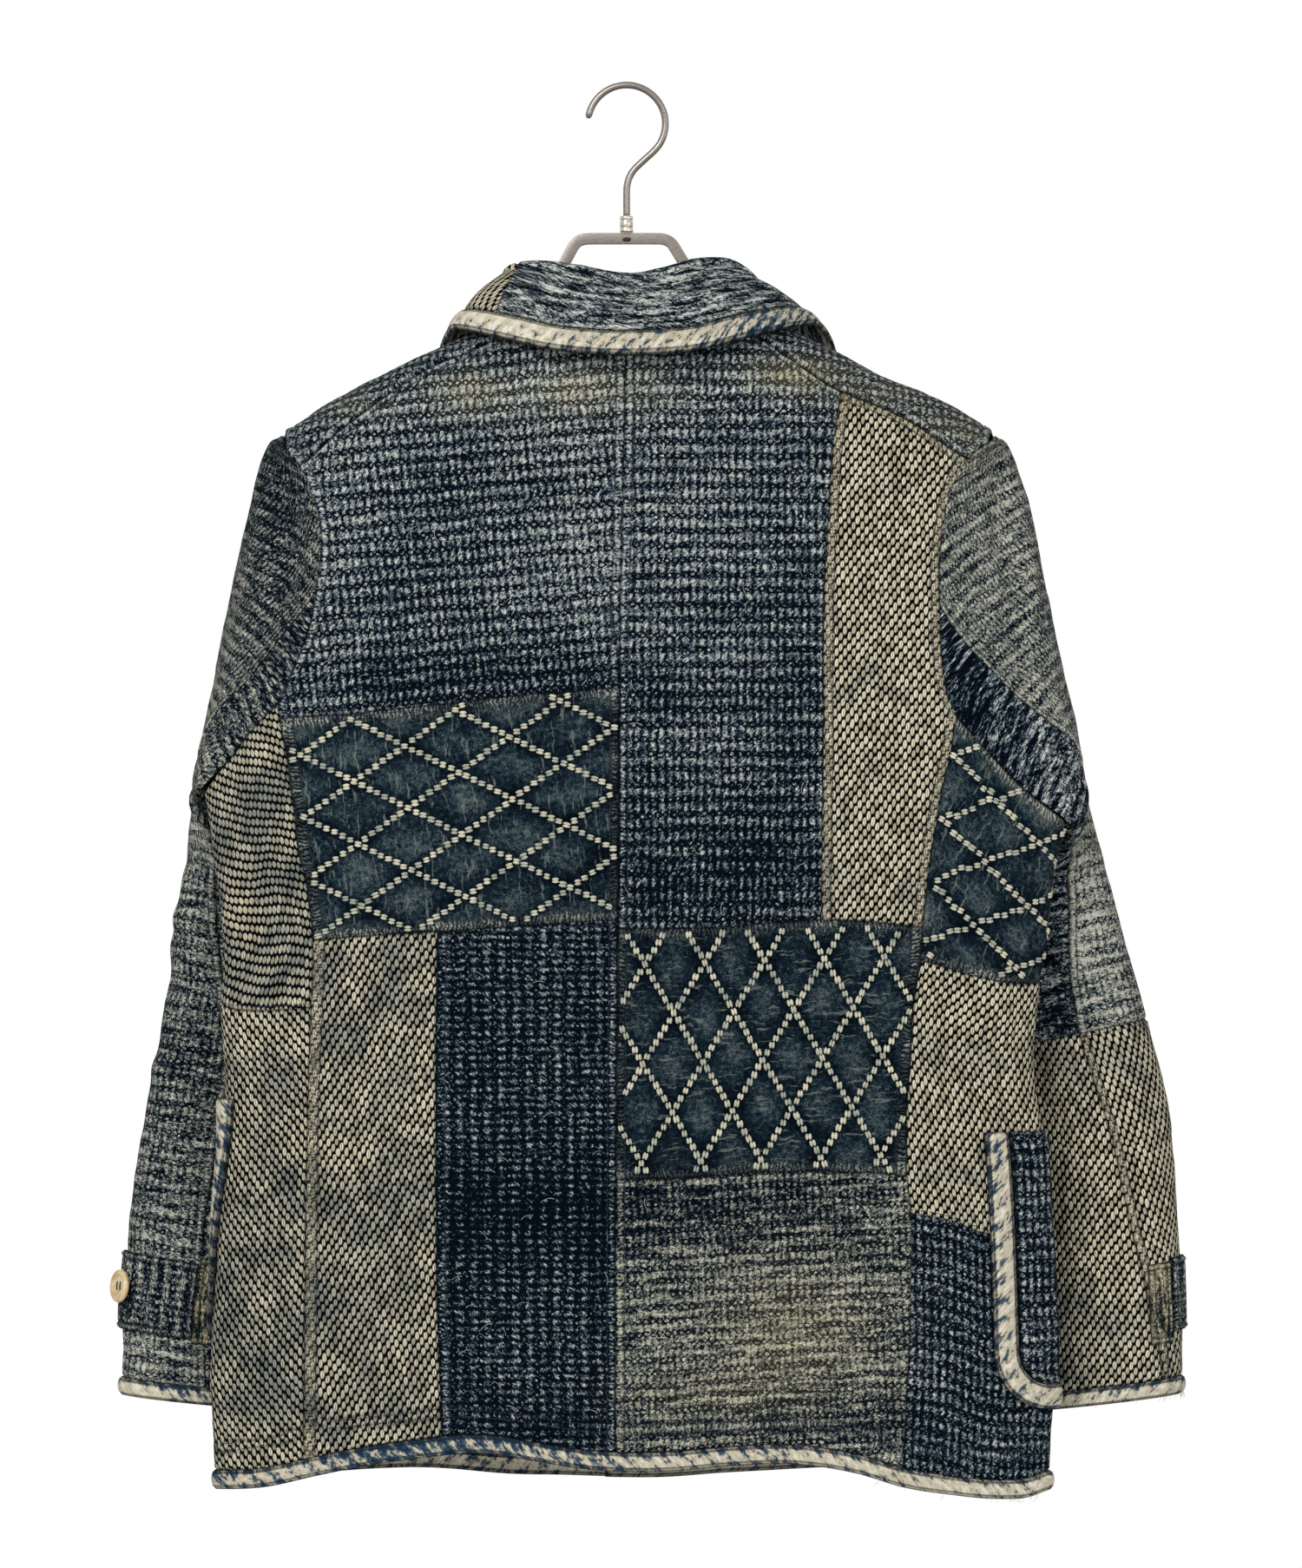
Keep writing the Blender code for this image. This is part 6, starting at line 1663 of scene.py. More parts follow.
# Yellow stains in the same way, with how strong they are.
stains = [
    (120, -192, 30, 12, 0.5), (165, -207, 30, 11, 0.6), (205, -224, 22, 10, 0.5), (-180, -212, 30, 9, 0.4),
    (-4, -200, 40, 16, 0.4), (-102, -203, 26, 14, 0.7), (-40, -203, 24, 14, 0.55), (108, -190, 32, 12, 0.6),
    (226, -232, 16, 16, 0.5), (110, -820, 50, 40, 0.5), (60, -860, 50, 16, 0.3), (-250, -560, 12, 60, 0.3),
]


def blobs(base, normals, rows):
    # the sum of soft spots on the side that faces back
    total = np.zeros(base.shape[:2])
    for x, z, wide, tall, amount in rows:
        total += amount * np.exp(-(((base[..., 0] - x) / wide) ** 2 + ((base[..., 2] - z) / tall) ** 2))
    return total * smoothStep(0.5 - normals[..., 1] * 1.5)


# Soft creases: a run of (x, z), half width, height above the cloth, and the side it shows on: 1 for the
# back, -1 for the front.
bodyCreases = [
    ([(206, -300), (222, -335), (238, -362)], 7, -2.4, 1), ([(196, -330), (214, -372)], 6, 1.8, 1),
    ([(-226, -300), (-214, -340), (-206, -385)], 7, -2.4, 1), ([(-206, -300), (-200, -350)], 8, 2.1, 1),
    ([(-205, -620), (-180, -700), (-172, -800)], 16, 2.7, 1),
    ([(-248, -470), (-262, -560), (-258, -640)], 9, 3.3, 1),
    ([(-226, -455), (-238, -540)], 7, -3.0, 1), ([(-140, -840), (-110, -900)], 12, -3.3, 1),
    ([(-85, -860), (-60, -905)], 12, 2.4, 1), ([(20, -868), (50, -900)], 11, -2.1, 1),
    ([(112, -860), (122, -900)], 10, 2.4, 1), ([(165, -850), (170, -910)], 9, -2.4, 1),
    ([(206, -880), (222, -930)], 9, 3.0, 1), ([(-20, -240), (-60, -300), (-70, -360)], 26, 1.8, 1),
    ([(60, -640), (150, -628)], 7, -1.5, 1), ([(20, -655), (80, -668)], 7, -1.5, 1),
    ([(100, -690), (180, -672)], 8, 1.5, 1), ([(-150, -480), (-160, -540)], 9, 1.5, 1),
    ([(-60, -460), (-70, -540)], 8, 1.5, 1), ([(-110, -440), (-116, -500)], 7, -1.35, 1),
    ([(228, -520), (246, -610), (240, -700)], 10, 2.7, 1), ([(208, -600), (214, -680)], 8, -2.4, 1),
    ([(-150, -300), (-130, -420), (-140, -520)], 14, -3.3, -1), ([(-90, -330), (-80, -480)], 16, 2.7, -1),
    ([(140, -300), (120, -430)], 14, -3.3, -1), ([(90, -340), (84, -470)], 15, 2.7, -1),
    ([(-180, -700), (-150, -860)], 13, 2.7, -1), ([(170, -720), (150, -880)], 13, 2.7, -1),
    ([(-60, -700), (-48, -880)], 14, -2.4, -1), ([(60, -650), (54, -860)], 14, 2.25, -1),
]
sleeveCreases = {
    "left": [
        ([(-226, -242), (-223, -279), (-223, -316), (-228, -336), (-239, -368), (-260, -422), (-282, -455)],
         7.5, -6.8, 1),
        ([(-240, -250), (-240, -300), (-246, -340)], 9, 3.6, 1),
        ([(-262, -520), (-300, -505), (-330, -515)], 9, -4.8, 1), ([(-270, -560), (-310, -545)], 9, 3.6, 1),
        ([(-268, -600), (-305, -592), (-335, -602)], 8, -3.6, 1), ([(-285, -660), (-325, -646)], 9, 3.2, 1),
        ([(-272, -720), (-310, -700)], 8, -3.0, 1), ([(-295, -760), (-330, -752)], 8, 2.4, 1),
        ([(-250, -470), (-262, -540), (-258, -600)], 9, -4.0, 1),
        ([(-334, -838), (-308, -846), (-280, -848)], 4, -3.2, 1), ([(-330, -856), (-302, -868)], 5, 2.4, 1),
        ([(-255, -530), (-300, -512)], 10, -4.4, -1), ([(-262, -580), (-310, -566)], 10, 3.6, -1),
        ([(-262, -640), (-315, -632)], 9, -3.6, -1), ([(-280, -720), (-325, -706)], 9, 3.2, -1),
    ],
    "right": [
        ([(245, -233), (248, -279), (256, -335), (260, -418)], 7.5, -6.0, 1),
        ([(262, -250), (266, -310), (272, -360)], 9, 3.6, 1),
        ([(232, -355), (226, -400), (236, -440)], 7, -4.4, 1),
        ([(270, -470), (306, -455), (330, -470)], 9, -3.6, 1), ([(272, -520), (318, -508)], 9, 3.2, 1),
        ([(262, -560), (290, -600), (318, -622)], 9, -4.4, 1), ([(285, -585), (340, -592)], 9, 3.6, 1),
        ([(268, -640), (290, -700)], 8, -4.0, 1), ([(330, -660), (350, -720)], 9, 3.2, 1),
        ([(318, -690), (336, -760)], 8, -3.6, 1), ([(300, -760), (352, -772)], 8, 2.6, 1),
        ([(290, -820), (352, -812)], 7, -2.4, 1),
        ([(262, -530), (310, -512)], 10, -4.4, -1), ([(275, -600), (325, -586)], 10, 3.6, -1),
        ([(285, -660), (340, -650)], 9, -3.6, -1), ([(300, -740), (350, -726)], 9, 3.2, -1),
    ],
}

# Sashiko diamonds: where a crossing lies, and the steps across and down to the next ones.
diamonds = {
    "backLeftDiamond": {"origin": (-181, -418.4), "across": (68.7, 6.0), "down": (2.3, -40.8), "lay": 2,
                        "follow": 0.3},
    "backRightDiamond": {"origin": (12.1, -579.3), "across": (39.3, 1.3), "down": (-1.2, -65.2), "lay": 91,
                         "follow": 0.35},
    "sideRightUpper": {"origin": (243.1, -471.0), "across": (64.7, -16.1), "down": (-7.6, -41.2), "lay": -8,
                       "follow": 0.6, "rounded": True},
}

# Steps of the shells' outer faces in mm: near an edge, in the middle, and how far the close steps reach.
fine, plain, hidden = (0.9, 2.3, 9.0), (0.9, 2.6, 8.0), (1.3, 3.4, 6.0)
panels = {
    "backLeftUpper": {
        "edges": (leftEdge, middle, across["diamondTop"], across["leftShoulder"]),
        "fabric": "boro", "tilt": 5, "worn": 0.50, "strips": {"right": 5.6, "left": 6, "top": 5}},
    "backLeftDiamond": {
        "edges": (leftSide, middle, across["diamondBottom"], across["diamondTop"]),
        "fabric": "denimLeft", "tilt": 5, "worn": 0.40, "strips": {"right": 5.6, "left": 8}},
    "backLeftCream": {
        "edges": (leftSide, down["creamIndigo"], across["backHem"], across["diamondBottom"]),
        "fabric": "cream", "tilt": 7, "worn": 0.53, "strips": {"left": 8}},
    "backLeftIndigo": {
        "edges": (down["creamIndigo"], middle, across["backHem"], across["diamondBottom"]),
        "fabric": "boroDark", "tilt": 90, "worn": 0.22, "strips": {"left": 6, "right": 5.6}},
    "backRightUpper": {
        "edges": (middle, down["blueCream"], across["uprightTop"], across["rightShoulder"]),
        "fabric": "boro", "tilt": 0, "worn": 0.50, "strips": {"left": 5.6, "top": 5}},
    "backRightCream": {
        "edges": (down["blueCream"], rightEdge, across["uprightTop"], across["rightShoulder"]),
        "fabric": "cream", "tilt": 2, "worn": 0.68, "stain": 0.12,
        "strips": {"left": 6, "right": 6, "top": 5}},
    "backRightDiamond": {
        "edges": (middle, rightSide, across["uprightBottom"], across["uprightTop"]),
        "fabric": "denimRight", "tilt": 3, "worn": 0.36, "strips": {"left": 5.6, "right": 7}},
    "backRightLower": {
        "edges": (middle, rightSide, across["backHem"], across["uprightBottom"]),
        "fabric": "boroPale", "tilt": 3, "worn": 0.62, "strips": {"left": 5.6}},
}
for name, piece in panels.items():
    run = backPanel(*piece["edges"])
    clothPiece(name, run, piece["fabric"], creases=bodyCreases, strips=piece["strips"], tilt=piece["tilt"],
               flatAt=run.patch, worn=piece["worn"], stain=piece.get("stain", 0.0), grid=fine,
               lattice=diamonds.get(name), layer="back")

sidePieces = {
    "sideLeftUpper": {"run": ("left", sides["leftSideSeam"], sides["leftUnderarm"]), "fabric": "cream",
                      "tilt": -5, "worn": 0.40},
    "sideLeftLower": {"run": ("left", hemLevel("left"), sides["leftSideSeam"]), "fabric": "cream",
                      "tilt": 0, "worn": 0.50},
    "sideRightUpper": {"run": ("right", sides["rightDiamondFoot"], sides["rightUnderarm"]),
                       "fabric": "denimLeft", "tilt": -12, "worn": 0.38},
    "sideRightMid": {"run": ("right", sides["rightCreamFoot"], sides["rightDiamondFoot"]), "fabric": "cream",
                     "tilt": 4, "worn": 0.62},
    "sideRightLower": {"run": ("right", hemLevel("right"), sides["rightCreamFoot"]), "fabric": "boroDark",
                       "tilt": 0, "worn": 0.34},
}
for name, piece in sidePieces.items():
    clothPiece(name, sidePanel(*piece["run"]), piece["fabric"], creases=bodyCreases, tilt=piece["tilt"],
               worn=piece["worn"], grid=plain, lattice=diamonds.get(name), layer="back")

for side in ("left", "right"):
    run = frontPanel(side)
    clothPiece("front" + side.title(), run, "boro", creases=bodyCreases, worn=0.5, flatAt=run.patch,
               grid=hidden, strips={"left": 6, "top": 5, "right": None})

forearmShare = float(sleeveShare(forearmSeam))
sleevePieces = {
    "sleeveLeftOuter": {"run": ("left", "outer", 0, 1), "fabric": "boroSleeve", "worn": 0.68, "tilt": 0},
    "sleeveLeftUnder": {"run": ("left", "under", 0, 1), "fabric": "boroSleeve", "worn": 0.50, "tilt": 0},
    "sleeveRightOuter": {"run": ("right", "outer", 0, forearmShare), "fabric": "boroSleeve", "worn": 0.76,
                         "tilt": 0},
    "sleeveRightForearm": {"run": ("right", "outer", forearmShare, 1), "fabric": "cream", "worn": 0.46,
                           "tilt": 12},
    "sleeveRightUnder": {"run": ("right", "under", 0, forearmShare), "fabric": "boroSoft", "worn": 0.30,
                         "tilt": 0},
    "sleeveRightInnerForearm": {"run": ("right", "under", forearmShare, 1), "fabric": "cream", "worn": 0.42,
                                "tilt": -6},
}
for name, piece in sleevePieces.items():
    side, outer = piece["run"][0], piece["run"][1] == "outer"
    clothPiece(name, sleevePatch(*piece["run"]), piece["fabric"], core=sleeveCore(side), wall=sleeveWall,
               creases=sleeveCreases[side], worn=piece["worn"], tilt=piece["tilt"], layer="sleeve",
               strips={"right": 5} if outer else {}, grid=plain if outer else (0.9, 2.8, 7.0))

collarLooks = {"core": collarCore, "facing": 0.6, "wall": collarWall, "grid": (0.9, 2.3, 7.0)}
clothPiece("collarBlue", collarPatch(collarPatchSeam, (collarEnd, collarEnd)), "boroCollar", node="collar",
           worn=0.73, **collarLooks)
clothPiece("collarCream", collarPatch((-collarEnd, -collarEnd), collarPatchSeam), "cream", worn=0.80,
           **collarLooks)

hemLevels = {side: hemLevel(side) for side in ("left", "right")}
pocketTurns = {side: aroundSide(side, (pocket["top"] + pocket["bottom"]) / 2)
               for side, pocket in pockets.items()}
tapes = {"swell": 0.5, "dip": 0.9, "grid": (0.8, 2.4, 4.0), "layer": "tape"}
edgeTapes = {"wall": tapeWall, "lift": tapeLift, "crown": 1.8, **tapes}
clothPiece("collarBinding", collarTapeRun, "tapeWide", core=collarCore, wall=collarTapeWall, lift=0.4,
           crown=2.0, worn=0.64, **tapes)
clothPiece("hemBinding", hemTape, "tape", worn=0.53, **edgeTapes)
pocketCloths = {"left": {"fabric": "boro", "worn": 0.42}, "right": {"fabric": "boroDark", "worn": 0.4}}
tabCloths = {
    "cuffTab": {"places": cuffTabs, "fabric": "boroSleeve", "worn": 0.5},
    "tabStrip": {"places": cuffStrips, "fabric": "strip", "worn": 0.62},
}
for side in ("left", "right"):
    word = side.title()
    clothPiece("cuffBinding" + word, cuffTapeRun(side), "tape", core=sleeveCore(side), worn=0.55, **edgeTapes)
    clothPiece("pocket" + word, pocketBag(side), wall=clothWall, lift=pocketGap + clothWall, grid=hidden,
               creases=bodyCreases, **pocketCloths[side])
    clothPiece("pocketBinding" + word, pocketTapeRun(side), "tapeWide", wall=pocketTapeWall,
               lift=pocketGap + pocketTapeWall, crown=1.6, worn=0.58, **tapes)
    for name, piece in tabCloths.items():
        place = piece["places"][side]
        clothPiece(name + word, cuffStrip(side, place["turns"], place["levels"]), piece["fabric"],
                   core=sleeveCore(side), wall=clothWall, lift=clothWall + layerGap, worn=piece["worn"],
                   tilt=90, swell=0.5, dip=1.0, grid=(0.8, 2.2, 5.0),
                   strips=dict.fromkeys(("left", "right", "bottom", "top"), 3.5))


print("stage: stitches")
topstitch = {"size": (2.7, 0.75, 0.6), "pitch": 3.3, "lift": 0.15, "past": 0.4}
sashiko = {"size": (5.2, 4.4, 3.2), "lift": 0.6, "toSide": 7, "clear": 3.2, "astray": 0.35}
rows = {"navy": [], "cream": [], "loose": []}


def edgeRun(name, edge, distance):
    # points and normals on a piece's outer face, at a set distance from one of its edges
    piece = made[name]
    away, outer, normals = piece["away"][edge], piece["outer"], piece["normals"]
    if edge in ("bottom", "top"):
        away, outer, normals = away.T, outer.transpose(1, 0, 2), normals.transpose(1, 0, 2)
    if edge in ("right", "top"):
        away, outer, normals = away[::-1], outer[::-1], normals[::-1]
    at = np.array([np.interp(distance, column, np.arange(len(column))) for column in away.T])
    low = np.minimum(at.astype(int), len(away) - 2)
    share = (at - low)[:, None]
    j = np.arange(len(at))
    return tuple(g[low, j] * (1 - share) + g[low + 1, j] * share for g in (outer, normals))


def layRow(points, normals):
    # topstitches at an even pitch along a run of points on the cloth
    pitch = topstitch["pitch"]
    lengths = runLengths(points)
    at = np.arange(pitch / 2, lengths[-1], pitch)
    middle, normal = placesAt(at, lengths, points), placesAt(at, lengths, normals)
    along = placesAt(at + pitch * 0.4, lengths, points) - placesAt(at - pitch * 0.4, lengths, points)
    size = np.tile(topstitch["size"], (len(at), 1))
    rows["navy"].append((middle + normal * topstitch["lift"], along, normal, size))


def onPiece(name, x, z, rounded=False):
    # for each x and z: the place on a piece's outer face, its normal, the way across it, and its distance
    # from the edges, which is 0 where the piece has no cloth there
    piece = made[name]
    plan = onPlan(piece["base"], piece["away"]["left"], rounded).reshape(-1, 2)
    ways = np.gradient(piece["outer"], axis=0)
    outer, normals, ways = (g.reshape(-1, 3) for g in (piece["outer"], piece["normals"], ways))
    rim = np.minimum.reduce(list(piece["away"].values())).ravel()
    if not rounded:
        facing = normals[:, 1] < -0.15
        plan, outer, normals, rim, ways = (g[facing] for g in (plan, outer, normals, rim, ways))
    best = np.array([np.argmin((plan[:, 0] - px) ** 2 + (plan[:, 1] - pz) ** 2) for px, pz in zip(x, z)])
    near, normal, way = outer[best], normals[best], unit(ways[best])
    missed = np.hypot(plan[best, 0] - x, plan[best, 1] - z)
    if rounded:
        points = near + way * (x - plan[best, 0])[:, None]
    else:
        y = near[:, 1] - (normal[:, 0] * (x - near[:, 0]) + normal[:, 2] * (z - near[:, 2])) / normal[:, 1]
        points = np.stack([x, y, z], axis=-1)
    return points, normal, way, np.where(missed > 3, 0, rim[best])


def drawRow(name, run):
    # a stitched row through points given as (x, z)
    run = np.array(run, float)
    lengths = runLengths(run)
    at = np.linspace(0, lengths[-1], max(8, int(lengths[-1] / 6)))
    layRow(*onPiece(name, *placesAt(at, lengths, run).T)[:2])


def latticePlaces(lattice):
    # every stitch of both sets of rows as (x, z) and its slope, well past the patch on all sides
    origin, right, low = (np.array(lattice[k], float) for k in ("origin", "across", "down"))
    lay, toSide = math.radians(lattice["lay"]), sashiko["toSide"]
    places = []
    for i in range(-7, 8):
        for j in range(-9, 10):
            for half in (0.0, 0.5):
                crossing = origin + right * (i + half) + low * (j + half)
                for first, way in enumerate(((right + low) / 2, (right - low) / 2)):
                    slope = math.atan(math.tan(math.atan2(way[1], way[0]) - lay))
                    places += [(*(crossing + way * (k / toSide)), slope) for k in range(first, toSide)]
    return np.array(places)


spread = np.random.default_rng(11)
for name, lattice in diamonds.items():
    places, lay, rounded = latticePlaces(lattice), math.radians(lattice["lay"]), lattice.get("rounded", False)
    places, slope = places[:, :2], places[:, 2]
    places = places + spread.uniform(-sashiko["astray"], sashiko["astray"], (len(places), 2))
    plan = onPlan(made[name]["base"], made[name]["away"]["left"], rounded)
    inside = ((places > plan.min(axis=(0, 1))) & (places < plan.max(axis=(0, 1)))).all(axis=1)
    points, normals, ways, rim = onPiece(name, places[inside, 0], places[inside, 1], rounded)
    keep = rim > sashiko["clear"]
    points, normals, ways, slope = points[keep], normals[keep], ways[keep] * (1, 1, 0), slope[inside][keep]
    turn = (lay + slope * lattice["follow"] + spread.uniform(-0.16, 0.16, len(points)))[:, None]
    along = unit(ways) * np.cos(turn) + np.array([0, 0, 1.0]) * np.sin(turn)
    size = np.array(sashiko["size"]) * spread.uniform(0.86, 1.08, (len(points), 3))
    rows["cream"].append((points + normals * sashiko["lift"], along, normals, size))

# Topstitching: past the folded strip of each seam, then along more edges, as the distance from each.
moreRows = {
    "backLeftDiamond": {"bottom": 2.6, "top": 2.6}, "backRightDiamond": {"bottom": 2.6, "top": 2.6},
    "backLeftIndigo": {"top": 3.0}, "sideLeftUpper": {"bottom": 3.0}, "sideRightUpper": {"bottom": 3.0},
    "sideRightMid": {"bottom": 3.0}, "frontLeft": {"right": 6.4}, "frontRight": {"right": 6.4},
    "sleeveLeftOuter": {"top": 22}, "sleeveLeftUnder": {"top": 22},
    "sleeveRightForearm": {"bottom": 3.0, "top": 24}, "collarBinding": {"bottom": 1.2},
    "hemBinding": {"top": 1.4}, "cuffBindingLeft": {"top": 1.4}, "cuffBindingRight": {"top": 1.4},
    "pocketBindingLeft": {"bottom": 1.4, "top": 1.4}, "pocketBindingRight": {"bottom": 1.4, "top": 1.4},
}
for name, piece in made.items():
    past = 0.1 if "cuffTab" in name or "tabStrip" in name else topstitch["past"]
    along = {edge: strip + past for edge, strip in piece["strips"].items() if strip}
    for edge, distance in [*along.items(), *moreRows.get(name, {}).items()]:
        layRow(*edgeRun(name, edge, distance))

for name, run in hemLine.items():
    drawRow(name, run)
    drawRow(name, [(x, z - hemRows["apart"]) for x, z in run])
# A stitched box below the collar, over both halves of the back.
box = {"left": -59, "right": 53, "top": -211, "bottom": -253}
for z in (box["top"], box["bottom"]):
    drawRow("backLeftUpper", [(box["left"], z), (-3, z)])
    drawRow("backRightUpper", [(0, z), (box["right"], z)])
drawRow("backLeftUpper", [(box["left"], box["top"]), (box["left"], box["bottom"])])
drawRow("backRightUpper", [(box["right"], box["top"]), (box["right"], box["bottom"])])

# Loose white threads on the boro cloth, as their number, range of x, range of z and usual turn.
looseEnds = {
    "backLeftUpper": (46, (-200, -4), (-400, -200), 1.45),
    "backRightUpper": (60, (0, 126), (-550, -180), 1.45),
    "backLeftIndigo": (46, (-120, -12), (-880, -560), 0.0),
    "backRightLower": (60, (2, 180), (-880, -725), 1.45),
}
for name, (count, sideways, upright, usual) in looseEnds.items():
    x, z = spread.uniform(*sideways, count), spread.uniform(*upright, count)
    points, normals, _, rim = onPiece(name, x, z)
    keep = rim > 4
    turn = spread.normal(usual, 0.6, count)[keep]
    along = np.stack([np.cos(turn), 0 * turn, np.sin(turn)], axis=-1)
    size = spread.uniform(3.5, 9, keep.sum())[:, None] * np.array([1, 0.5, 0.3])
    rows["loose"].append((points[keep] + normals[keep] * 0.5, along, normals[keep], size))
# Frayed ends that hang from the right cuff and the hem's right corner, over a share of each tape's length.
frayed = {
    "count": 26, "reach": (2, 5),
    "stretches": {"cuffBindingRight": (0.0, 0.4), "hemBinding": (0.60, 0.71)},
}
for name, stretch in frayed["stretches"].items():
    count = frayed["count"]
    points, normals = edgeRun(name, "bottom", 1.0)
    at = (spread.uniform(*stretch, count) * (len(points) - 1)).astype(int)
    along = np.stack([spread.normal(0, 0.5, count), spread.normal(0, 0.2, count), -np.ones(count)], axis=-1)
    size = spread.uniform(*frayed["reach"], count)[:, None]
    rows["loose"].append((points[at] + unit(along) * size * 0.45, along, normals[at],
                          size * np.array([1, 1, 0.5])))


def newNode(tree, kind, **values):
    node = tree.nodes.new(kind)
    for label, item in values.items():
        node.inputs[label.replace("_", " ")].default_value = item
    return node


def threadTree():
    # sets a stitch on every point, along the row and out of the cloth
    tree = bpy.data.node_groups.new("threadRow", "GeometryNodeTree")
    tree.is_modifier = True
    for label, kind, way in (("Geometry", "Geometry", "INPUT"), ("Double", "Bool", "INPUT"),
                             ("Loose", "Bool", "INPUT"), ("Thickness", "Float", "INPUT"),
                             ("Finish", "Material", "INPUT"), ("Geometry", "Geometry", "OUTPUT")):
        tree.interface.new_socket(label, in_out=way, socket_type="NodeSocket" + kind)
    link = tree.links.new
    source, sink = tree.nodes.new("NodeGroupInput"), tree.nodes.new("NodeGroupOutput")
    strand = newNode(tree, "GeometryNodeMeshUVSphere", Segments=6, Rings=4, Radius=0.5)
    plump = newNode(tree, "GeometryNodeMeshUVSphere", Segments=8, Rings=5, Radius=0.5)
    pair = []
    for aside in (-0.22, 0.22):
        moved = newNode(tree, "GeometryNodeTransform", Translation=(0, aside, 0), Scale=(1, 0.5, 1))
        link(plump.outputs["Mesh"], moved.inputs["Geometry"])
        pair.append(moved)
    both = tree.nodes.new("GeometryNodeJoinGeometry")
    for moved in pair:
        link(moved.outputs["Geometry"], both.inputs["Geometry"])
    curl = newNode(tree, "GeometryNodeCurveQuadraticBezier", Resolution=6, Start=(-0.5, 0, 0),
                   Middle=(0.1, 0.5, 0.5), End=(0.5, -0.1, 0.1))
    section = newNode(tree, "GeometryNodeCurvePrimitiveCircle", Resolution=4)
    thin = newNode(tree, "GeometryNodeCurveToMesh", Fill_Caps=True)
    link(source.outputs["Thickness"], section.inputs["Radius"])
    link(curl.outputs["Curve"], thin.inputs["Curve"])
    link(section.outputs["Curve"], thin.inputs["Profile Curve"])
    shape = None
    for share, last in (("Double", both.outputs["Geometry"]), ("Loose", thin.outputs["Mesh"])):
        choice = tree.nodes.new("GeometryNodeSwitch")
        choice.input_type = "GEOMETRY"
        link(source.outputs[share], choice.inputs["Switch"])
        link(shape or strand.outputs["Mesh"], choice.inputs["False"])
        link(last, choice.inputs["True"])
        shape = choice.outputs["Output"]
    read = {}
    for label in ("along", "outward", "size"):
        read[label] = newNode(tree, "GeometryNodeInputNamedAttribute", Name=label)
        read[label].data_type = "FLOAT_VECTOR"
    turned = tree.nodes.new("FunctionNodeAxesToRotation")
    turned.primary_axis, turned.secondary_axis = "Z", "X"
    link(read["outward"].outputs["Attribute"], turned.inputs["Primary Axis"])
    link(read["along"].outputs["Attribute"], turned.inputs["Secondary Axis"])
    placed = tree.nodes.new("GeometryNodeInstanceOnPoints")
    link(source.outputs["Geometry"], placed.inputs["Points"])
    link(shape, placed.inputs["Instance"])
    link(turned.outputs["Rotation"], placed.inputs["Rotation"])
    link(read["size"].outputs["Attribute"], placed.inputs["Scale"])
    real, painted = tree.nodes.new("GeometryNodeRealizeInstances"), tree.nodes.new("GeometryNodeSetMaterial")
    link(placed.outputs["Instances"], real.inputs["Geometry"])
    link(real.outputs["Geometry"], painted.inputs["Geometry"])
    link(source.outputs["Finish"], painted.inputs["Material"])
    link(painted.outputs["Geometry"], sink.inputs["Geometry"])
    return tree


rowTree = threadTree()
looseWidth = 0.03  # the radius of a loose thread, as a share of its length


def threadPiece(name, kind, finish, double=False, loose=False):
    # one mesh of all the stitches of a kind, set out by the node tree and then made plain
    middle, along, outward, size = (np.concatenate([row[i] for row in rows[kind]]) for i in range(4))
    mesh = bpy.data.meshes.new(name + "Points")
    mesh.from_pydata((middle * mm).tolist(), [], [])
    for label, values in (("along", along), ("outward", outward), ("size", size * mm)):
        values = values.astype(np.float32).ravel()
        mesh.attributes.new(label, "FLOAT_VECTOR", "POINT").data.foreach_set("vector", values)
    holder = bpy.data.objects.new(name + "Points", mesh)
    bpy.context.scene.collection.objects.link(holder)
    layer = holder.modifiers.new("threadRow", "NODES")
    layer.node_group = rowTree
    values = {"Double": double, "Loose": loose, "Thickness": looseWidth, "Finish": finish}
    for item in rowTree.interface.items_tree:
        if item.name in values and item.in_out == "INPUT":
            layer[item.identifier] = values[item.name]
    graph = bpy.context.evaluated_depsgraph_get()
    thread = bpy.data.meshes.new_from_object(holder.evaluated_get(graph))
    bpy.data.objects.remove(holder)
    thread.name = name
    for label in [item.name for item in thread.attributes if item.name in ("along", "outward", "size")]:
        thread.attributes.remove(thread.attributes[label])
    thread.polygons.foreach_set("use_smooth", [True] * len(thread.polygons))
    item = bpy.data.objects.new(name, thread)
    bpy.context.scene.collection.objects.link(item)
    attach(item, "root")
    print(name, len(middle), "stitches,", sum(len(p.vertices) - 2 for p in thread.polygons), "triangles")


threadPiece("topstitching", "navy", navyThread)
threadPiece("sashikoStitches", "cream", creamThread, double=True)
threadPiece("looseThreads", "loose", looseThread, loose=True)


print("stage: hanger and buttons")

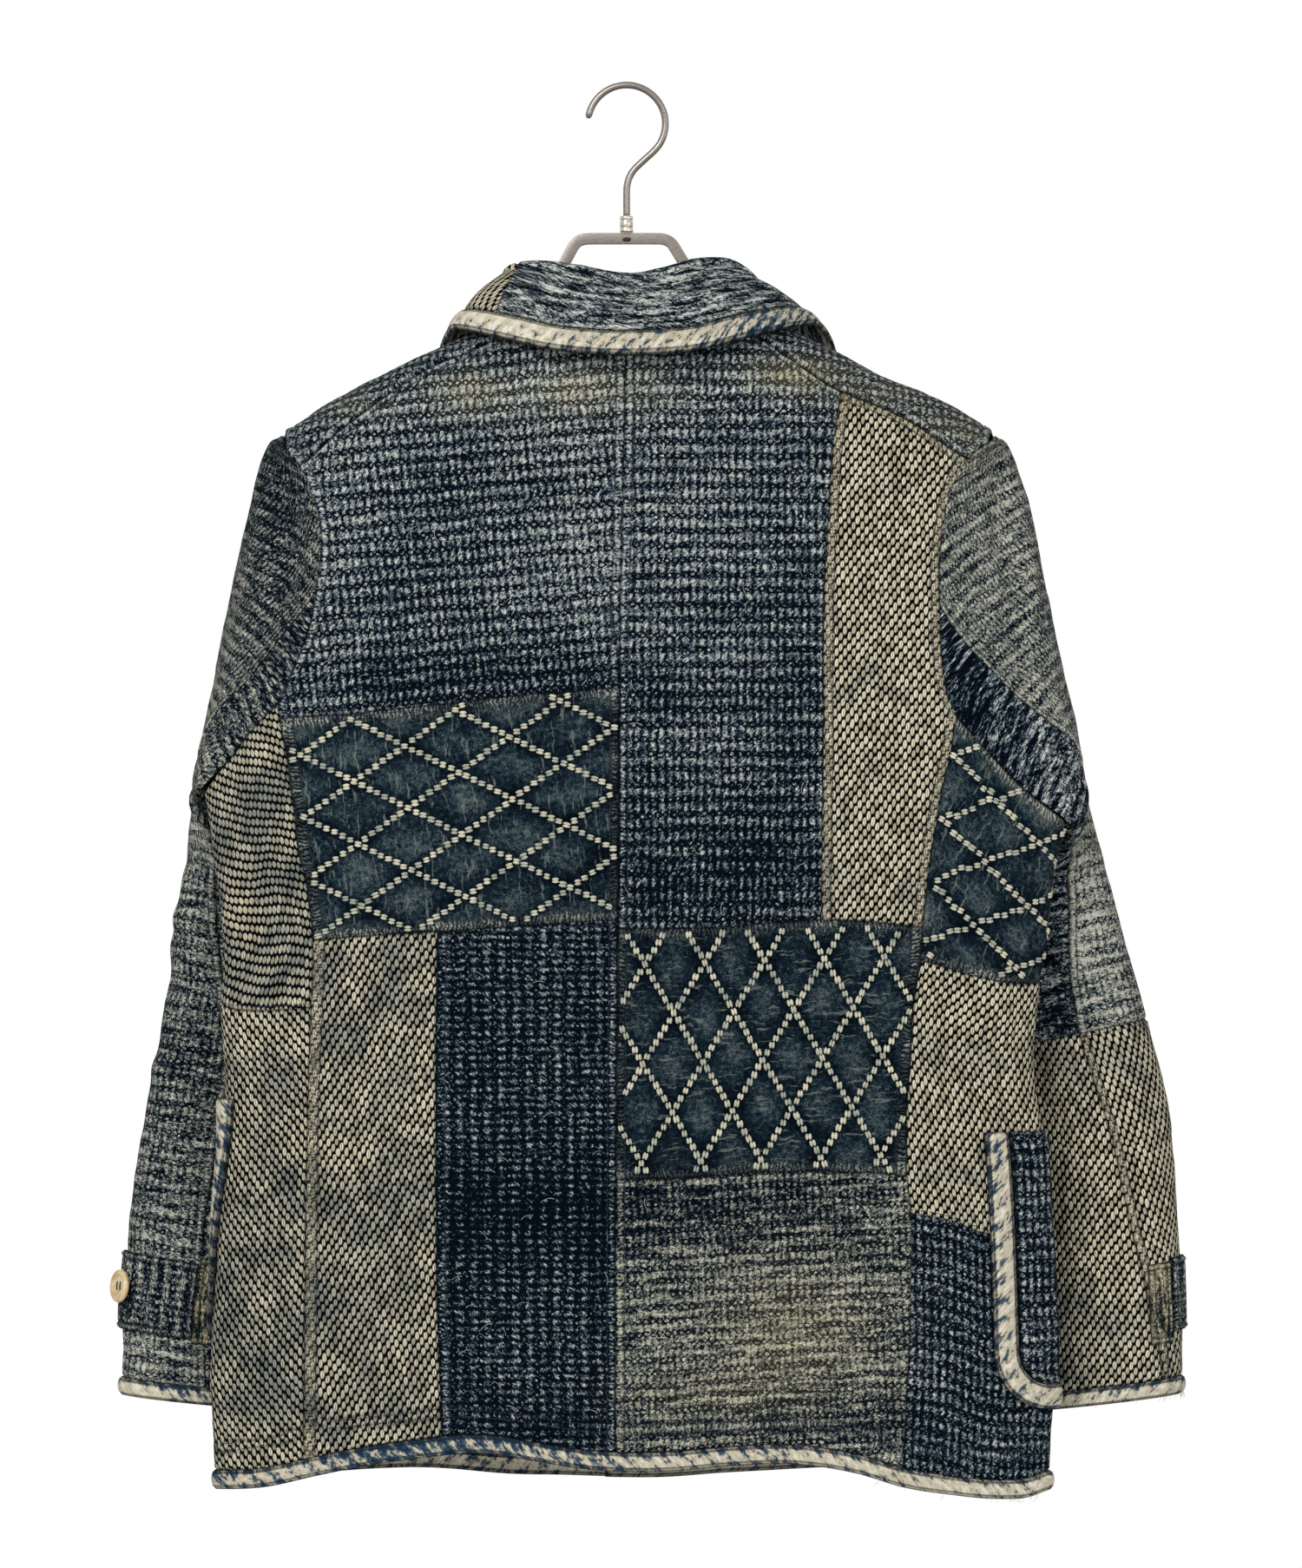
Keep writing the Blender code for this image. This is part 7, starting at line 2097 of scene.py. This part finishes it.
# A wire hook in a ferrule, riveted to a bent flat bar, and buttons with sewn holes.
hook = {
    "radius": 26.0, "wire": 2.38, "sides": 20, "pieces": 150, "bend": (172, -38),
    "shank": [(10.5, -48.5), (3.2, -55.5), (0, -64), (0, -74), (0, -84.2)],
}
ferrule = {"top": -84.5, "radius": 4.6, "sides": 40}
button = {"sides": 48, "hole": 0.2, "thread": 0.2, "holeSize": 0.085}
bar = {"wide": 7.6, "thick": 3.0, "edge": 0.6, "pieces": 240}
rivet = {"half": (2.9, 1.45), "from": 1.8, "level": -100.4, "sides": 32}
barRun = [
    (-205, -226.5), (-181, -214), (-158, -202.5), (-137, -191), (-112, -179.5), (-96, -172), (-84, -164),
    (-68, -149), (-54, -134), (-44, -120.5), (-39, -112), (-36, -106), (-33.5, -102.3), (-29, -99.9),
    (-20, -99.8), (0, -99.8), (18, -99.8), (25, -99.9), (29.5, -102.3), (32, -106), (35.5, -112),
    (41, -120.5), (52, -134), (66, -149), (82, -164), (96, -172), (112, -179.5), (137, -191), (158, -202.5),
    (181, -214), (205, -226.5),
]


def circle(sides):
    return np.linspace(0, 2 * math.pi, sides, endpoint=False)


def loft(name, rings, finish, node):
    # a closed solid through rings of points in mm, each end filled
    rings = np.array(rings, float)
    count, sides = rings.shape[:2]
    faces = []
    for first in range(0, (count - 1) * sides, sides):
        for k in range(sides):
            after = (k + 1) % sides
            faces.append([first + k, first + after, first + sides + after, first + sides + k])
    faces += [list(range(sides))[::-1], [(count - 1) * sides + k for k in range(sides)]]
    build = bmesh.new()
    points = [build.verts.new(p) for p in rings.reshape(-1, 3) * mm]
    for face in faces:
        build.faces.new([points[k] for k in face])
    bmesh.ops.recalc_face_normals(build, faces=build.faces)
    mesh = bpy.data.meshes.new(name)
    build.to_mesh(mesh)
    build.free()
    mesh.polygons.foreach_set("use_smooth", [len(face.vertices) < 5 for face in mesh.polygons])
    item = bpy.data.objects.new(name, mesh)
    bpy.context.scene.collection.objects.link(item)
    item.data.materials.append(finish)
    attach(item, "root")
    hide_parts(node)


def smoothRun(points, count, rounds=3):
    # corner cutting, then even steps along the run
    points = np.array(points, float)
    for _ in range(rounds):
        near, far = points[:-1] * 0.75 + points[1:] * 0.25, points[:-1] * 0.25 + points[1:] * 0.75
        cut = np.stack([near, far], axis=1).reshape(-1, points.shape[1])
        points = np.concatenate([points[:1], cut, points[-1:]])
    lengths = runLengths(points)
    return placesAt(np.linspace(0, lengths[-1], count), lengths, points)


def buildHook():
    middle = hook["wire"] - hook["radius"]
    run = [(hook["radius"] * math.cos(q), middle + hook["radius"] * math.sin(q))
           for q in np.radians(np.linspace(*hook["bend"], 12))]
    run = smoothRun(run + hook["shank"], hook["pieces"], 2)
    turns = circle(hook["sides"])
    rings = []
    for k, (point, step) in enumerate(zip(run, unit(np.gradient(run, axis=0)))):
        thick = hook["wire"] * (1 - 0.55 * (1 - min(k / 3, 1)) ** 2)  # the free end is rounded
        aside = np.stack([-step[1] * np.cos(turns), np.sin(turns), step[0] * np.cos(turns)], axis=-1)
        rings.append(np.array([point[0], 0, point[1]]) + aside * thick)
    loft("hangerHook", rings, steel, "hanger_hook")


def buildFerrule():
    # each ring as a share of the radius and its depth below the top; two grooves run round it
    outline = [(0.86, 0.0), (0.97, 0.5), (1.0, 1.1), (1.0, 2.6), (0.93, 3.0), (0.93, 3.5), (1.0, 3.9),
               (1.0, 7.4), (0.94, 7.8), (0.94, 8.3), (1.0, 8.7), (1.0, 10.4), (0.96, 11.0), (0.88, 11.2)]
    turns, radius = circle(ferrule["sides"]), ferrule["radius"]
    rings = [[(radius * share * math.cos(q), radius * share * math.sin(q), ferrule["top"] - low)
              for q in turns] for share, low in outline]
    loft("hangerFerrule", rings, ferruleSteel, "hanger_ferrule")


def buildBar():
    run = smoothRun(barRun, bar["pieces"])
    half, deep, edge = bar["wide"] / 2, bar["thick"] / 2, bar["edge"]
    corners = []
    for a, b, first in ((half, deep, 0), (-half, deep, 90), (-half, -deep, 180), (half, -deep, 270)):
        for q in np.radians(first + np.array([0, 22.5, 45, 67.5, 90])):
            corners.append((a - math.copysign(edge, a) + edge * math.cos(q),
                            b - math.copysign(edge, b) + edge * math.sin(q)))
    rings = [[(x - step[1] * a, b, z + step[0] * a) for a, b in corners]
             for (x, z), step in zip(run, unit(np.gradient(run, axis=0)))]
    loft("hangerBar", rings, steel, "hanger_bar")


def buildRivet():
    wide, tall = rivet["half"]
    outline = [(0.94, 0.0), (1.0, 0.12), (1.0, 0.4), (0.9, 0.6), (0.66, 0.7), (0.3, 0.7)]
    rings = [[(wide * share * math.cos(q), -rivet["from"] - out, rivet["level"] + tall * share * math.sin(q))
              for q in circle(rivet["sides"])] for share, out in outline]
    loft("hangerRivet", rings, rivetSteel, "hanger_rivet")


def buildButton(node, number):
    # a turned disc on its CAD node's place: rolled rim, dished middle, four holes and a little thread
    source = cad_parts[node]
    points = np.array([source.matrix_world @ v.co for v in source.data.vertices]) / mm
    middle = (points.max(axis=0) + points.min(axis=0)) / 2
    axis = np.linalg.eigh(np.cov((points - points.mean(axis=0)).T))[1][:, 0]
    if axis @ (middle - np.array([middle[0] * 0.85, -4, middle[2]])) <= 0:  # it looks away from the body
        axis = -axis
    side = unit(np.cross(axis, [0, 0, 1.0]))
    up = np.cross(side, axis)
    deep = np.ptp((points - middle) @ axis) / 2
    wide = np.ptp((points - middle) @ up) / 2
    # each ring as a share of the radius and a share of half the thickness, from the back to the front
    outline = [(0.2, -1.0), (0.80, -1.0), (0.94, -0.8), (1.0, -0.3), (1.0, 0.2), (0.96, 0.7), (0.88, 0.97),
               (0.8, 1.0), (0.72, 0.85), (0.64, 0.42), (0.52, 0.3), (0.2, 0.26)]
    rings = [[middle + axis * deep * out + (side * math.cos(q) + up * math.sin(q)) * (wide * share)
              for q in circle(button["sides"])] for share, out in outline]
    loft("button%d" % number, rings, ivory, node)
    build = bmesh.new()

    def ball(place, turned, radius, stretch, rows, columns):
        spot = Matrix.Translation(Vector(place * mm)) @ turned.to_4x4()
        bmesh.ops.create_uvsphere(build, u_segments=columns, v_segments=rows, radius=radius * mm,
                                  matrix=spot @ Matrix.Diagonal((*stretch, 1)))

    aside, outward = wide * button["hole"], Vector(axis).to_track_quat("Z", "Y").to_matrix()
    for a, b in ((1, 1), (-1, 1), (-1, -1), (1, -1)):
        ball(middle + (side * a + up * b) * aside + axis * deep * 0.3, outward, wide * button["holeSize"],
             (1, 1, 0.25), 6, 12)
    for a in (1, -1):
        ball(middle + side * a * aside + axis * deep * 0.42, Matrix([[*side], [*axis], [*up]]).transposed(),
             wide * button["thread"], (0.2, 0.2, 1), 8, 10)
    mesh = bpy.data.meshes.new("buttonThread%d" % number)
    build.to_mesh(mesh)
    build.free()
    mesh.materials.append(navyThread)
    item = bpy.data.objects.new(mesh.name, mesh)
    bpy.context.scene.collection.objects.link(item)
    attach(item, "root")


buildHook()
buildFerrule()
buildBar()
buildRivet()
for number, node in enumerate(sorted(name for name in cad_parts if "button" in name), 1):
    buildButton(node, number)


print("stage: done")
